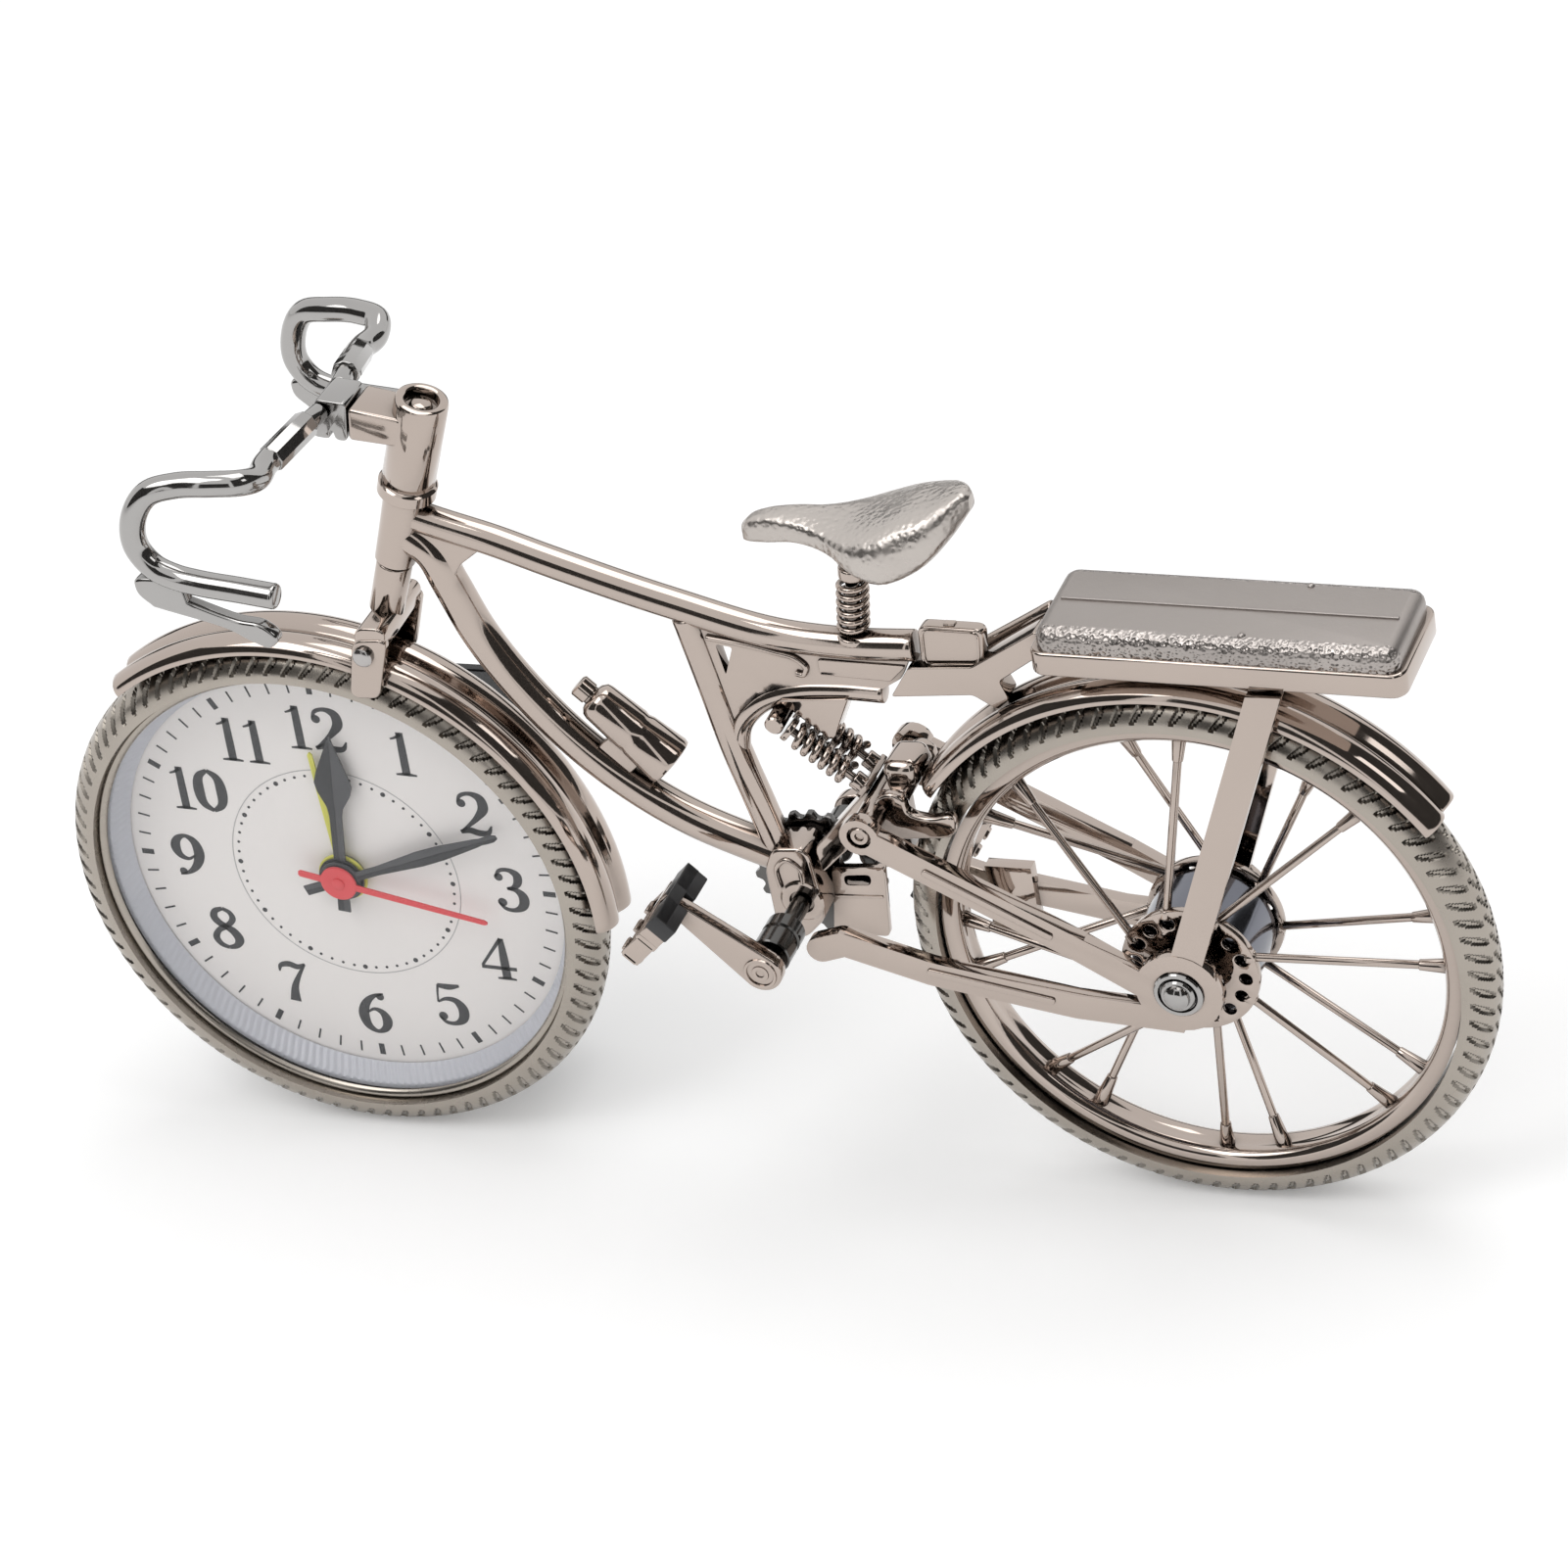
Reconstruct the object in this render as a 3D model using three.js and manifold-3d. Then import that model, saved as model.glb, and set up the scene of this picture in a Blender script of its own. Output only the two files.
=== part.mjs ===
// A desk alarm clock in the shape of a bicycle. The front wheel is the clock drum: lens, dial,
// hands and a boxed movement behind. Everything else is a plated bicycle around it.
//
// Millimetres. X runs from the front wheel (minus) to the rear wheel (plus), Z is up, and the
// dial looks towards minus Y. The origin is where the front tyre stands, under its axle.

import * as THREE from 'three';
import { mergeVertices } from 'three/addons/utils/BufferGeometryUtils.js';
import Module from 'manifold-3d';

const wasm = await Module();
wasm.setup();

// Driving dimensions

const clearance = 0.3; // between two pieces that are screwed, pressed or laid together
const tau = Math.PI * 2;

const wheelRadius = 42.7; // over the tread
const wheelbase = 134.5;
const drawnWheelbase = 134.5; // the frame's outlines are drawn at this wheelbase
const headReach = 30.0; // ahead of this an outline keeps its place
const seatReach = 65.0; // behind this an outline keeps its distance from the rear axle
const treadFlat = 0.5; // how deep the standing flat is cut into each tyre
const tyreLipRadius = 38.0;
const tyreLipHalfWidth = 3.6;
const tyreRingRadius = 38.05; // centre line of the tyre's round section
const wheelSegments = 48;

const lensFront = -2.4; // Y of the lens's outer face
const lensThickness = 1.0;
const dialFace = 2.2; // Y of the printed face
const dialThickness = 0.8;
const dialHoleRadius = 3.3;
const dialVisibleRadius = 35.0; // where the funnel ring meets the dial
const funnelMouthRadius = 36.9;
const dialTurn = 2.5; // degrees that the dial leans towards the rear wheel

const handThickness = 0.3;
const handStep = 0.6; // from one hand's face to the next hand's face
const secondHandFace = -0.8;
const secondHandLength = 23.8;
const secondHandTail = 6.5;
const minuteHandLength = 29.3;
const hourHandLength = 26.1;
const alarmHandLength = 22.2;
const tubeWall = 0.5;
const arborRadius = 0.5;

const minutesShown = 11.3; // past twelve
const secondsShown = 16.8;
const alarmShown = -3.8; // degrees from twelve

const caseSideRoom = 1.6; // between the cell's end and the case's wall
const caseFootRoom = 1.4; // between the cell and the case's lower wall
const caseDepth = 15.0;
const caseWall = 1.6;
const caseFlange = 1.4;
const caseCorner = 5.0;
const backCoverThickness = 1.3;
const batteryRadius = 7.1; // one AA cell
const batteryLength = 50.2;
const batteryDrop = 16.2; // below the dial's centre
const knobRadius = 5.2;
const knobHeight = 3.4;
const timeKnobX = -11.5;
const alarmKnobX = 12.5;
const knobRise = 12.0; // above the dial's centre
const switchTravel = 4.0;
const switchRise = 21.5;

const headAngle = 20.7; // degrees that the steering axis leans back
const steerX = 26.7; // where the axis passes steerZ
const steerZ = 112.3;
const headTubeTopRadius = 3.2;
const headTubeLowRadius = 2.9;
const headTubeLow = -13.3; // along the axis from steerZ
const headTubeHigh = -1.6;
const collarRadius = 4.25;
const stemRadius = 3.85;
const stemTop = 15.3;
const steererRadius = 2.6;
const steererLow = -22.3;
const armHalfWidth = 3.5;
const clampHalfWidth = 3.2;
const barRadius = 1.85;
const sleeveRadius = 2.05;

const fenderInnerRadius = 44.0;
const fenderWall = 1.2;
const fenderHalfWidth = 5.3;
const fenderSkirt = 1.0; // how far the side edge drops below the crown's underside
const fenderBulge = 0.4; // of each rounded band
const frontFenderStart = -3.0; // degrees from plus X, turning upwards
const frontFenderEnd = 126.8;
const rearFenderStart = 33.5;
const rearFenderEnd = 144.0;
const forkPlateInner = 5.7;
const forkPlateThickness = 1.5;
const forkScrewRadius = 1.5;

const frameTubeRadius = 2.3;
const downTubeRadius = 2.7;
const seatTubeRadius = 2.2;
const gussetHalfThickness = 1.3;

const crankAhead = 58.5; // of the rear axle
const crankZ = 46.9;
const spindleRadius = 1.4;
const crankArm = 15.4;
const crankArmAngle = 138.0; // degrees from plus X for the left arm
const crankFace = 21.0; // outer face of each crank boss from the middle
const crankThickness = 2.2;
const crankBossRadius = 3.1;
const spacerRadius = 2.9;
const pedalHalfLength = 6.6;
const pedalDepth = 8.1;
const pedalHeight = 3.7;
const pedalLead = 1.8; // how far the block reaches ahead of its pin
const pedalCheek = 1.4; // left at each end beyond the pin
const pedalTilt = 224.0; // direction in which the left pedal runs from its pin
const chainringRadius = 10.2;
const chainringTeeth = 22;
const chainringFace = 3.9;
const chainringThickness = 1.2;
const ringHoles = 5;
const ringHoleReach = 5.7; // from the spindle
const ringHoleRadius = 1.9;
const ringHoleFirst = 20.0; // degrees from plus X

const rimInnerRadius = 35.2;
const spokePairs = 8;
const spokePairSpread = 6.9;
const spokeHubLead = 13.0;
const spokeRadius = 0.75;
const nippleRadius = 1.15;
const nippleLength = 4.2;
const spokeFirst = 4.9;
const hubFlangeRadius = 10.0;
const hubFlangeFace = 6.9;
const hubFlangeThickness = 1.3;
const hubHoleRadius = 0.95;
const hubShellRadius = 7.2;
const hubBore = 1.8;
const axleRadius = 1.4;

const stayInner = 10.4;
const stayThickness = 2.0;
const dropoutRadius = 6.3;
const linkHalfHeight = 2.0;
const chainstayHalfHeight = 2.0;
const strutHalfWidth = 2.3;
const pivotAhead = 43.6; // of the rear axle
const pivotZ = 65.2;

const rackAhead = 15.5; // of the rear axle
const rackLength = 51.4;
const rackHalfWidth = 9.0;
const rackTop = 95.3;
const rackTrayHeight = 3.7;
const rackPitch = 0.9; // degrees down towards the rear
const lidInset = 1.3;
const lidHeight = 3.25;
const lidCrown = 0.7;

const saddleCoilRadius = 1.55;
const saddleWireRadius = 0.36;
const saddleCoils = 6;
const shockCoilRadius = 1.5;
const shockWireRadius = 0.44;
const shockCoils = 6;
const shockSpread = 2.6; // each of the twin springs stands this far from the middle

// Worked-out places

const crankX = wheelbase - crankAhead;
const pivotX = wheelbase - pivotAhead;
const rackFront = wheelbase - rackAhead;
const caseHalfWidth = batteryLength / 2 + clearance + caseSideRoom + caseWall;
const caseHalfHeight = batteryDrop + batteryRadius + clearance + caseFootRoom + caseWall;

const axleHeight = wheelRadius - treadFlat;
const lensBack = lensFront + lensThickness;
const dialBack = dialFace + dialThickness;
const drumRadius = tyreLipRadius - clearance;
const caseFront = dialBack + clearance;
const caseBack = caseFront + caseDepth;
const coverFront = caseBack + clearance;
const coverBack = coverFront + backCoverThickness;
const knobFront = coverBack + clearance;
const forkPlateOuter = forkPlateInner + forkPlateThickness;
const batteryZ = axleHeight - batteryDrop;
const stayOuter = stayInner + stayThickness;

// Finishes

const finishes = {
  nickel: { color: 0xb5a79e, roughness: 0.14, metalness: 1.0 },
  chrome: { color: 0xb4b5b4, roughness: 0.12, metalness: 1.0 },
  satin: { color: 0xa59d92, roughness: 0.38, metalness: 1.0 },
  lid: { color: 0x8f8884, roughness: 0.45, metalness: 0.9 },
  smoked: { color: 0x4b4847, roughness: 0.25, metalness: 0.9 },
  black: { color: 0x2c2d30, roughness: 0.6, metalness: 0.0 },
  dial: { color: 0xe4dedb, roughness: 0.6, metalness: 0.0 },
  hand: { color: 0x3c3d42, roughness: 0.5, metalness: 0.1 },
  red: { color: 0xe2474e, roughness: 0.5, metalness: 0.0 },
  yellow: { color: 0xdcdc5a, roughness: 0.5, metalness: 0.0 },
  frosted: { color: 0xc9cad8, roughness: 0.3, metalness: 0.0 },
  brass: { color: 0xb08d45, roughness: 0.35, metalness: 1.0 },
  white: { color: 0xe8e6df, roughness: 0.5, metalness: 0.0 },
  board: { color: 0x2d5a3a, roughness: 0.6, metalness: 0.0 },
  cell: { color: 0x3b6f9c, roughness: 0.4, metalness: 0.2 },
  steel: { color: 0x9d9fa1, roughness: 0.3, metalness: 1.0 },
};

function material(name) {
  return new THREE.MeshStandardMaterial(finishes[name]);
}

function lensMaterial() {
  const options = { color: 0xf2f4f6, roughness: 0.05, metalness: 0.0, transparent: true, opacity: 0.2 };
  return new THREE.MeshStandardMaterial(options);
}

// Solids: every piece is built as a closed mesh, joined and cut where it needs to be

function toSolid(geometry) {
  const bare = geometry.clone();
  bare.deleteAttribute('normal');
  bare.deleteAttribute('uv');
  const merged = mergeVertices(bare, 1e-4);
  const vertProperties = Float32Array.from(merged.attributes.position.array);
  const triVerts = Uint32Array.from(merged.index.array);
  const solid = new wasm.Manifold(new wasm.Mesh({ numProp: 3, vertProperties, triVerts }));
  if (solid.volume() > 0) return solid;
  for (let i = 0; i < triVerts.length; i += 3) {
    const first = triVerts[i];
    triVerts[i] = triVerts[i + 1];
    triVerts[i + 1] = first;
  }
  return new wasm.Manifold(new wasm.Mesh({ numProp: 3, vertProperties, triVerts }));
}

function toGeometry(solid) {
  const mesh = solid.getMesh();
  const geometry = new THREE.BufferGeometry();
  const positions = new Float32Array(mesh.numVert * 3);
  for (let v = 0; v < mesh.numVert; v += 1) {
    for (let c = 0; c < 3; c += 1) positions[v * 3 + c] = mesh.vertProperties[v * mesh.numProp + c];
  }
  geometry.setAttribute('position', new THREE.BufferAttribute(positions, 3));
  geometry.setIndex(new THREE.BufferAttribute(Uint32Array.from(mesh.triVerts), 1));
  geometry.computeVertexNormals();
  return geometry;
}

function join(solids) {
  return solids.reduce((sum, solid) => sum.add(solid));
}

function cut(solid, tools) {
  return tools.reduce((rest, tool) => rest.subtract(tool), solid);
}

// Shapes in place

function at(x, y, z) {
  return new THREE.Vector3(x, y, z);
}

function radians(degrees) {
  return (degrees * Math.PI) / 180;
}

// A cylinder that runs along Y, as every wheel, screw and hinge here does
function drumY(x, z, radius, yLow, yHigh, sides = 24) {
  const geometry = new THREE.CylinderGeometry(radius, radius, yHigh - yLow, sides);
  geometry.translate(x, (yLow + yHigh) / 2, z);
  return toSolid(geometry);
}

function tubeY(x, z, outer, inner, yLow, yHigh, sides = 24) {
  const bore = drumY(x, z, inner, yLow - 1, yHigh + 1, sides);
  return cut(drumY(x, z, outer, yLow, yHigh, sides), [bore]);
}

// A straight round bar between two points, tapering if two radii are given
function rod(start, end, radius, sides = 12, endRadius = radius) {
  const length = start.distanceTo(end);
  const geometry = new THREE.CylinderGeometry(endRadius, radius, length, sides);
  const direction = end.clone().sub(start).normalize();
  geometry.applyQuaternion(new THREE.Quaternion().setFromUnitVectors(at(0, 1, 0), direction));
  const middle = start.clone().add(end).multiplyScalar(0.5);
  geometry.translate(middle.x, middle.y, middle.z);
  return toSolid(geometry);
}

function block(xLow, xHigh, yLow, yHigh, zLow, zHigh) {
  const geometry = new THREE.BoxGeometry(xHigh - xLow, yHigh - yLow, zHigh - zLow);
  geometry.translate((xLow + xHigh) / 2, (yLow + yHigh) / 2, (zLow + zHigh) / 2);
  return toSolid(geometry);
}

// A flat plate: an outline of (x, z) points or a shape, with its two faces at yLow and yHigh
function plate(outline, yLow, yHigh, curveSegments = 8) {
  const corners = (points) => new THREE.Shape(points.map(([x, z]) => new THREE.Vector2(x, z)));
  const shape = Array.isArray(outline) ? corners(outline) : outline;
  const settings = { depth: yHigh - yLow, bevelEnabled: false, curveSegments };
  const geometry = new THREE.ExtrudeGeometry(shape, settings);
  geometry.rotateX(Math.PI / 2);
  geometry.translate(0, yHigh, 0);
  return toSolid(geometry);
}

function circleShape(x, z, radius, sides = 24) {
  const points = [];
  for (let i = 0; i < sides; i += 1) {
    const angle = (i / sides) * tau;
    points.push(new THREE.Vector2(x + radius * Math.cos(angle), z + radius * Math.sin(angle)));
  }
  return new THREE.Shape(points);
}

// A round tube swept along a smooth curve through the given points
function sweep(points, radius, steps, sides = 10) {
  const path = new THREE.CatmullRomCurve3(points);
  const settings = { steps, bevelEnabled: false, extrudePath: path };
  return toSolid(new THREE.ExtrudeGeometry(circleShape(0, 0, radius, sides), settings));
}

// A closed (radius, y) profile turned about the Y axis through (x, z)
function turned(profile, x, z, segments = wheelSegments) {
  const points = profile.map(([r, y]) => new THREE.Vector2(r, y));
  points.push(points[0].clone());
  const geometry = new THREE.LatheGeometry(points, segments);
  geometry.translate(x, 0, z);
  return toSolid(geometry);
}

// A closed (radius, y) profile turned through part of a circle, from one angle to another
function turnedArc(profile, x, z, from, to, segments) {
  const reach = wheelRadius * 3;
  const sector = new THREE.Shape();
  sector.moveTo(x, z);
  for (let i = 0; i <= segments; i += 1) {
    const [px, pz] = polar(x, z, reach, from + ((to - from) * i) / segments);
    sector.lineTo(px, pz);
  }
  const halfWidth = Math.max(...profile.map(([, y]) => Math.abs(y))) + 1;
  return turned(profile, x, z).intersect(plate(sector, -halfWidth, halfWidth));
}

function polar(x, z, radius, degrees) {
  return [x + radius * Math.cos(radians(degrees)), z + radius * Math.sin(radians(degrees))];
}

// One unbroken wire: a straight lead, a helix about the axis from start to end, a straight lead
function coil(start, end, coilRadius, wireRadius, turns) {
  const stepsPerTurn = 8;
  const sides = 5;
  const axis = end.clone().sub(start);
  const length = axis.length();
  axis.normalize();
  const side = new THREE.Vector3().crossVectors(axis, at(0, 1, 0)).normalize();
  const other = new THREE.Vector3().crossVectors(axis, side);
  const lead = wireRadius * 2;
  const centres = [];
  const directions = [];
  const spot = (angle) =>
    side.clone().multiplyScalar(Math.cos(angle)).addScaledVector(other, Math.sin(angle));
  const count = turns * stepsPerTurn;
  for (let i = 0; i <= count; i += 1) {
    const angle = (i / stepsPerTurn) * tau;
    const along = lead + ((length - lead * 2) * i) / count;
    centres.push(start.clone().addScaledVector(axis, along).addScaledVector(spot(angle), coilRadius));
    directions.push(spot(angle));
  }
  const first = centres[0].clone().addScaledVector(axis, -lead);
  const last = centres[count].clone().addScaledVector(axis, lead);
  centres.unshift(first);
  directions.unshift(directions[0].clone());
  centres.push(last);
  directions.push(directions[count + 1].clone());
  return { geometry: wireMesh(centres, directions, wireRadius, sides), centres, stepsPerTurn };
}

function wireMesh(centres, directions, wireRadius, sides) {
  const positions = [];
  const indices = [];
  const last = centres.length - 1;
  centres.forEach((centre, i) => {
    const before = centres[Math.max(0, i - 1)];
    const after = centres[Math.min(last, i + 1)];
    const tangent = after.clone().sub(before).normalize();
    if (i === 0) tangent.copy(centres[1]).sub(centres[0]).normalize();
    if (i === last) tangent.copy(centres[last]).sub(centres[last - 1]).normalize();
    const out = directions[i].clone().addScaledVector(tangent, -directions[i].dot(tangent)).normalize();
    const across = new THREE.Vector3().crossVectors(tangent, out);
    for (let s = 0; s < sides; s += 1) {
      const angle = (s / sides) * tau;
      const point = centre.clone().addScaledVector(out, wireRadius * Math.cos(angle));
      point.addScaledVector(across, wireRadius * Math.sin(angle));
      positions.push(point.x, point.y, point.z);
    }
  });
  for (let i = 0; i < last; i += 1) {
    for (let s = 0; s < sides; s += 1) {
      const a = i * sides + s;
      const b = i * sides + ((s + 1) % sides);
      indices.push(a, b, b + sides, a, b + sides, a + sides);
    }
  }
  for (let s = 1; s < sides - 1; s += 1) {
    indices.push(0, s + 1, s);
    indices.push(last * sides, last * sides + s, last * sides + s + 1);
  }
  const geometry = new THREE.BufferGeometry();
  geometry.setAttribute('position', new THREE.Float32BufferAttribute(positions, 3));
  geometry.setIndex(indices);
  return geometry;
}

// The least gap between a coil and itself, one turn or more apart, printed as a check on its pitch
function reportGap(name, wire, wireRadius) {
  let least = Infinity;
  wire.centres.forEach((centre, i) => {
    for (let k = i + wire.stepsPerTurn - 2; k < wire.centres.length; k += 1) {
      least = Math.min(least, centre.distanceTo(wire.centres[k]) - wireRadius * 2);
    }
  });
  console.log(`${name}: least gap to itself ${least.toFixed(2)} mm`);
}

// Front wheel: the clock drum

// The round section of a tyre, grown all round by a clearance when it cuts room for one
function tyreProfile(grow = 0) {
  const sectionRadius = wheelRadius - tyreRingRadius + grow;
  const side = [0, 30, 55, 75].map((angle) => polar(tyreRingRadius, 0, sectionRadius, angle));
  const far = side.slice(1).reverse().map(([r, y]) => [r, -y]);
  const lip = tyreLipHalfWidth + grow;
  return [[tyreLipRadius, -lip], ...far, ...side, [tyreLipRadius, lip]];
}

// The tread is flat where it stands, so the clock doesn't roll or tip
function tyre(x) {
  const ring = turned(tyreProfile(), x, axleHeight);
  const ground = block(x - wheelRadius, x + wheelRadius, -wheelRadius, wheelRadius, -wheelRadius, 0);
  return cut(ring, [ground]);
}

function disc(radius, yFront, thickness, holeRadius) {
  const body = drumY(0, axleHeight, radius, yFront, yFront + thickness, wheelSegments);
  if (holeRadius === 0) return body;
  return cut(body, [drumY(0, axleHeight, holeRadius, yFront - 1, yFront + thickness + 1)]);
}

function clockLens() {
  return disc(drumRadius, lensFront, lensThickness, 0);
}

function dialRing() {
  const front = lensBack + clearance;
  const back = dialFace - clearance;
  const profile = [
    [funnelMouthRadius, front], [drumRadius, front], [drumRadius, back], [dialVisibleRadius, back],
  ];
  return turned(profile, 0, axleHeight);
}

function dial() {
  return disc(drumRadius, dialFace, dialThickness, dialHoleRadius);
}

// Hands: flat outlines drawn pointing up, with a boss, turned to the time about the axle
function handOutline(points, degrees) {
  const turn = radians(-degrees);
  return points.map(([across, along]) => [
    across * Math.cos(turn) - along * Math.sin(turn),
    axleHeight + across * Math.sin(turn) + along * Math.cos(turn),
  ]);
}

function mirrored(side) {
  const back = side.filter(([across]) => across !== 0).map(([across, along]) => [-across, along]);
  return side.concat(back.reverse());
}

function hand(points, degrees, face, bossRadius, boreRadius) {
  const back = face + handThickness;
  const blade = plate(handOutline(points, degrees), face, back);
  const whole = blade.add(drumY(0, axleHeight, bossRadius, face, back));
  if (boreRadius === 0) return whole;
  return cut(whole, [drumY(0, axleHeight, boreRadius, face - 1, back + 1)]);
}

const secondHandDegrees = secondsShown * 6 + dialTurn;
const minuteHandDegrees = minutesShown * 6 + dialTurn;
const hourHandDegrees = minutesShown / 2 + dialTurn;
const alarmHandDegrees = alarmShown + dialTurn;
const minuteHandFace = secondHandFace + handStep;
const hourHandFace = minuteHandFace + handStep;
const alarmHandFace = hourHandFace + handStep;

const minuteBore = arborRadius + clearance;
const minuteArbor = minuteBore + tubeWall;
const hourBore = minuteArbor + clearance;
const hourArbor = hourBore + tubeWall;
const alarmBore = hourArbor + clearance;
const alarmArbor = alarmBore + tubeWall;

function secondHand() {
  const tip = [[0, secondHandLength], [0.35, secondHandLength - 0.4]];
  const blade = mirrored([...tip, [0.55, 0], [0.8, -secondHandTail]]);
  return hand(blade, secondHandDegrees, secondHandFace, 3.2, 0);
}

function minuteHand() {
  const lance = minuteHandLength;
  const blade = mirrored([
    [0, lance], [0.4, lance - 5], [1.3, lance - 9], [0.7, lance - 12], [1.1, lance - 20], [1.3, 0], [0.6, -4],
  ]);
  return hand(blade, minuteHandDegrees, minuteHandFace, 2.9, minuteBore);
}

function hourHand() {
  const spade = hourHandLength;
  const blade = mirrored([
    [0, spade], [0.5, spade - 5.5], [2.2, spade - 9], [3.0, spade - 11.5], [2.3, spade - 13.5],
    [0.8, spade - 15], [1.2, 4], [1.2, 0], [0.6, -4],
  ]);
  return hand(blade, hourHandDegrees, hourHandFace, 3.0, hourBore);
}

function alarmHand() {
  const blade = mirrored([[0, alarmHandLength], [0.4, alarmHandLength - 3], [0.8, 0]]);
  return hand(blade, alarmHandDegrees, alarmHandFace, 4.0, alarmBore);
}

// Each hand sits on its own arbor, one inside the next, with a wheel at the inner end
const wheelWork = {
  alarm: { start: alarmHandFace + handStep, y: 6.0, thickness: 1.0, radius: 8.0 },
  hour: { start: alarmHandFace, y: 7.6, thickness: 1.0, radius: 9.0 },
  minute: { start: hourHandFace, y: 9.2, thickness: 1.0, radius: 7.0 },
  second: { start: minuteHandFace, y: 10.8, thickness: 1.0, radius: 6.0 },
};

function arborWheel(work, outer, bore) {
  const back = work.y + work.thickness;
  const shaft = drumY(0, axleHeight, outer, work.start, back);
  const whole = shaft.add(drumY(0, axleHeight, work.radius, work.y, back, 32));
  if (bore === 0) return whole;
  return cut(whole, [drumY(0, axleHeight, bore, work.start - 1, back + 1)]);
}

// Movement case: a round flange behind the dial carrying a square box that is open at the back
function roundedSquare(halfWidth, halfHeight, corner) {
  const shape = new THREE.Shape();
  const [left, right] = [-halfWidth, halfWidth];
  const [low, high] = [axleHeight - halfHeight, axleHeight + halfHeight];
  shape.moveTo(left + corner, low);
  shape.lineTo(right - corner, low);
  shape.absarc(right - corner, low + corner, corner, -Math.PI / 2, 0, false);
  shape.absarc(right - corner, high - corner, corner, 0, Math.PI / 2, false);
  shape.absarc(left + corner, high - corner, corner, Math.PI / 2, Math.PI, false);
  shape.absarc(left + corner, low + corner, corner, Math.PI, Math.PI * 1.5, false);
  return shape;
}

function movementCase() {
  const outer = roundedSquare(caseHalfWidth, caseHalfHeight, caseCorner);
  const inner = roundedSquare(caseHalfWidth - caseWall, caseHalfHeight - caseWall, caseCorner - caseWall);
  const flange = drumY(0, axleHeight, drumRadius, caseFront, caseFront + caseFlange, wheelSegments);
  const box = plate(outer, caseFront, caseBack, 4);
  const hollow = plate(inner, caseFront + caseFlange, caseBack + 1, 4);
  const arborHole = drumY(0, axleHeight, dialHoleRadius, caseFront - 1, caseFront + caseFlange + 1);
  return cut(flange.add(box), [hollow, arborHole]);
}

const batteryY = caseFront + caseFlange + clearance + batteryRadius;
const windowHalfWidth = batteryLength / 2 + clearance;
const windowHalfHeight = batteryRadius + clearance;
const knobShaftRadius = 1.2;
const switchX = 6.0;
const switchStemHalfWidth = 1.5;
const knobZ = axleHeight + knobRise;
const switchZ = axleHeight + switchRise;

function backCover() {
  const body = plate(roundedSquare(caseHalfWidth, caseHalfHeight, caseCorner), coverFront, coverBack, 4);
  const [front, back] = [coverFront - 1, coverBack + 1];
  const low = batteryZ - windowHalfHeight;
  const high = batteryZ + windowHalfHeight;
  const window = block(-windowHalfWidth, windowHalfWidth, front, back, low, high);
  const holeRadius = knobShaftRadius + clearance;
  const holes = [timeKnobX, alarmKnobX].map((x) => drumY(x, knobZ, holeRadius, front, back));
  const slotLow = switchX - switchStemHalfWidth - clearance;
  const slotHigh = switchX + switchTravel + switchStemHalfWidth + clearance;
  const slotHalf = switchStemHalfWidth + clearance;
  const slot = block(slotLow, slotHigh, front, back, switchZ - slotHalf, switchZ + slotHalf);
  return cut(body, [window, slot, ...holes]);
}

const batteryTip = 1.0;
const batteryTipRadius = 2.6;

function batteryCell() {
  const end = batteryLength / 2;
  const onCell = (x) => at(x, batteryY, batteryZ);
  const body = rod(onCell(-end), onCell(end - batteryTip), batteryRadius, 24);
  return body.add(rod(onCell(end - batteryTip * 2), onCell(end), batteryTipRadius, 16));
}

const doorSideLap = 1.4; // over the window
const doorLowLap = 0.9;
const doorHighLap = 1.2;
const doorThickness = 1.0;
const doorRib = { halfWidth: 5.0, first: 3.0, pitch: 1.6, height: 0.7, rise: 0.5 };

function batteryDoor() {
  const halfWidth = windowHalfWidth + doorSideLap;
  const low = batteryZ - windowHalfHeight - doorLowLap;
  const high = batteryZ + windowHalfHeight + doorHighLap;
  const front = coverBack + clearance;
  const back = front + doorThickness;
  const panel = block(-halfWidth, halfWidth, front, back, low, high);
  const { halfWidth: ribHalf, first, pitch, height, rise } = doorRib;
  const ribs = [0, 1, 2].map((i) => {
    const z = low + first + i * pitch;
    return block(-ribHalf, ribHalf, back - rise, back + rise, z, z + height);
  });
  return join([panel, ...ribs]);
}

const knobFlutes = 10;
const knobFluteRadius = 0.75;
const knobFluteOut = 0.25; // of the knob's rim

// A fluted setting knob outside the cover with its shaft and pinion inside the case
function settingKnob(x, work) {
  const reach = Math.hypot(x, knobRise);
  const pinionRadius = reach - work.radius - clearance;
  const knobBack = knobFront + knobHeight;
  const cap = drumY(x, knobZ, knobRadius, knobFront, knobBack, 24);
  const flutes = [];
  for (let i = 0; i < knobFlutes; i += 1) {
    const [fx, fz] = polar(x, knobZ, knobRadius + knobFluteOut, (i * 360) / knobFlutes);
    flutes.push(drumY(fx, fz, knobFluteRadius, knobFront - 1, knobBack + 1, 6));
  }
  const shaft = drumY(x, knobZ, knobShaftRadius, work.y, knobFront + 1, 16);
  const pinion = drumY(x, knobZ, pinionRadius, work.y, work.y + work.thickness, 24);
  return join([cut(cap, flutes), shaft, pinion]);
}

const slider = { thumbHalf: 2.5, thumbRise: 2.2, thumbHeight: 1.8, footHalf: 3.0, footRise: 2.1, depth: 1.5 };

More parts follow.
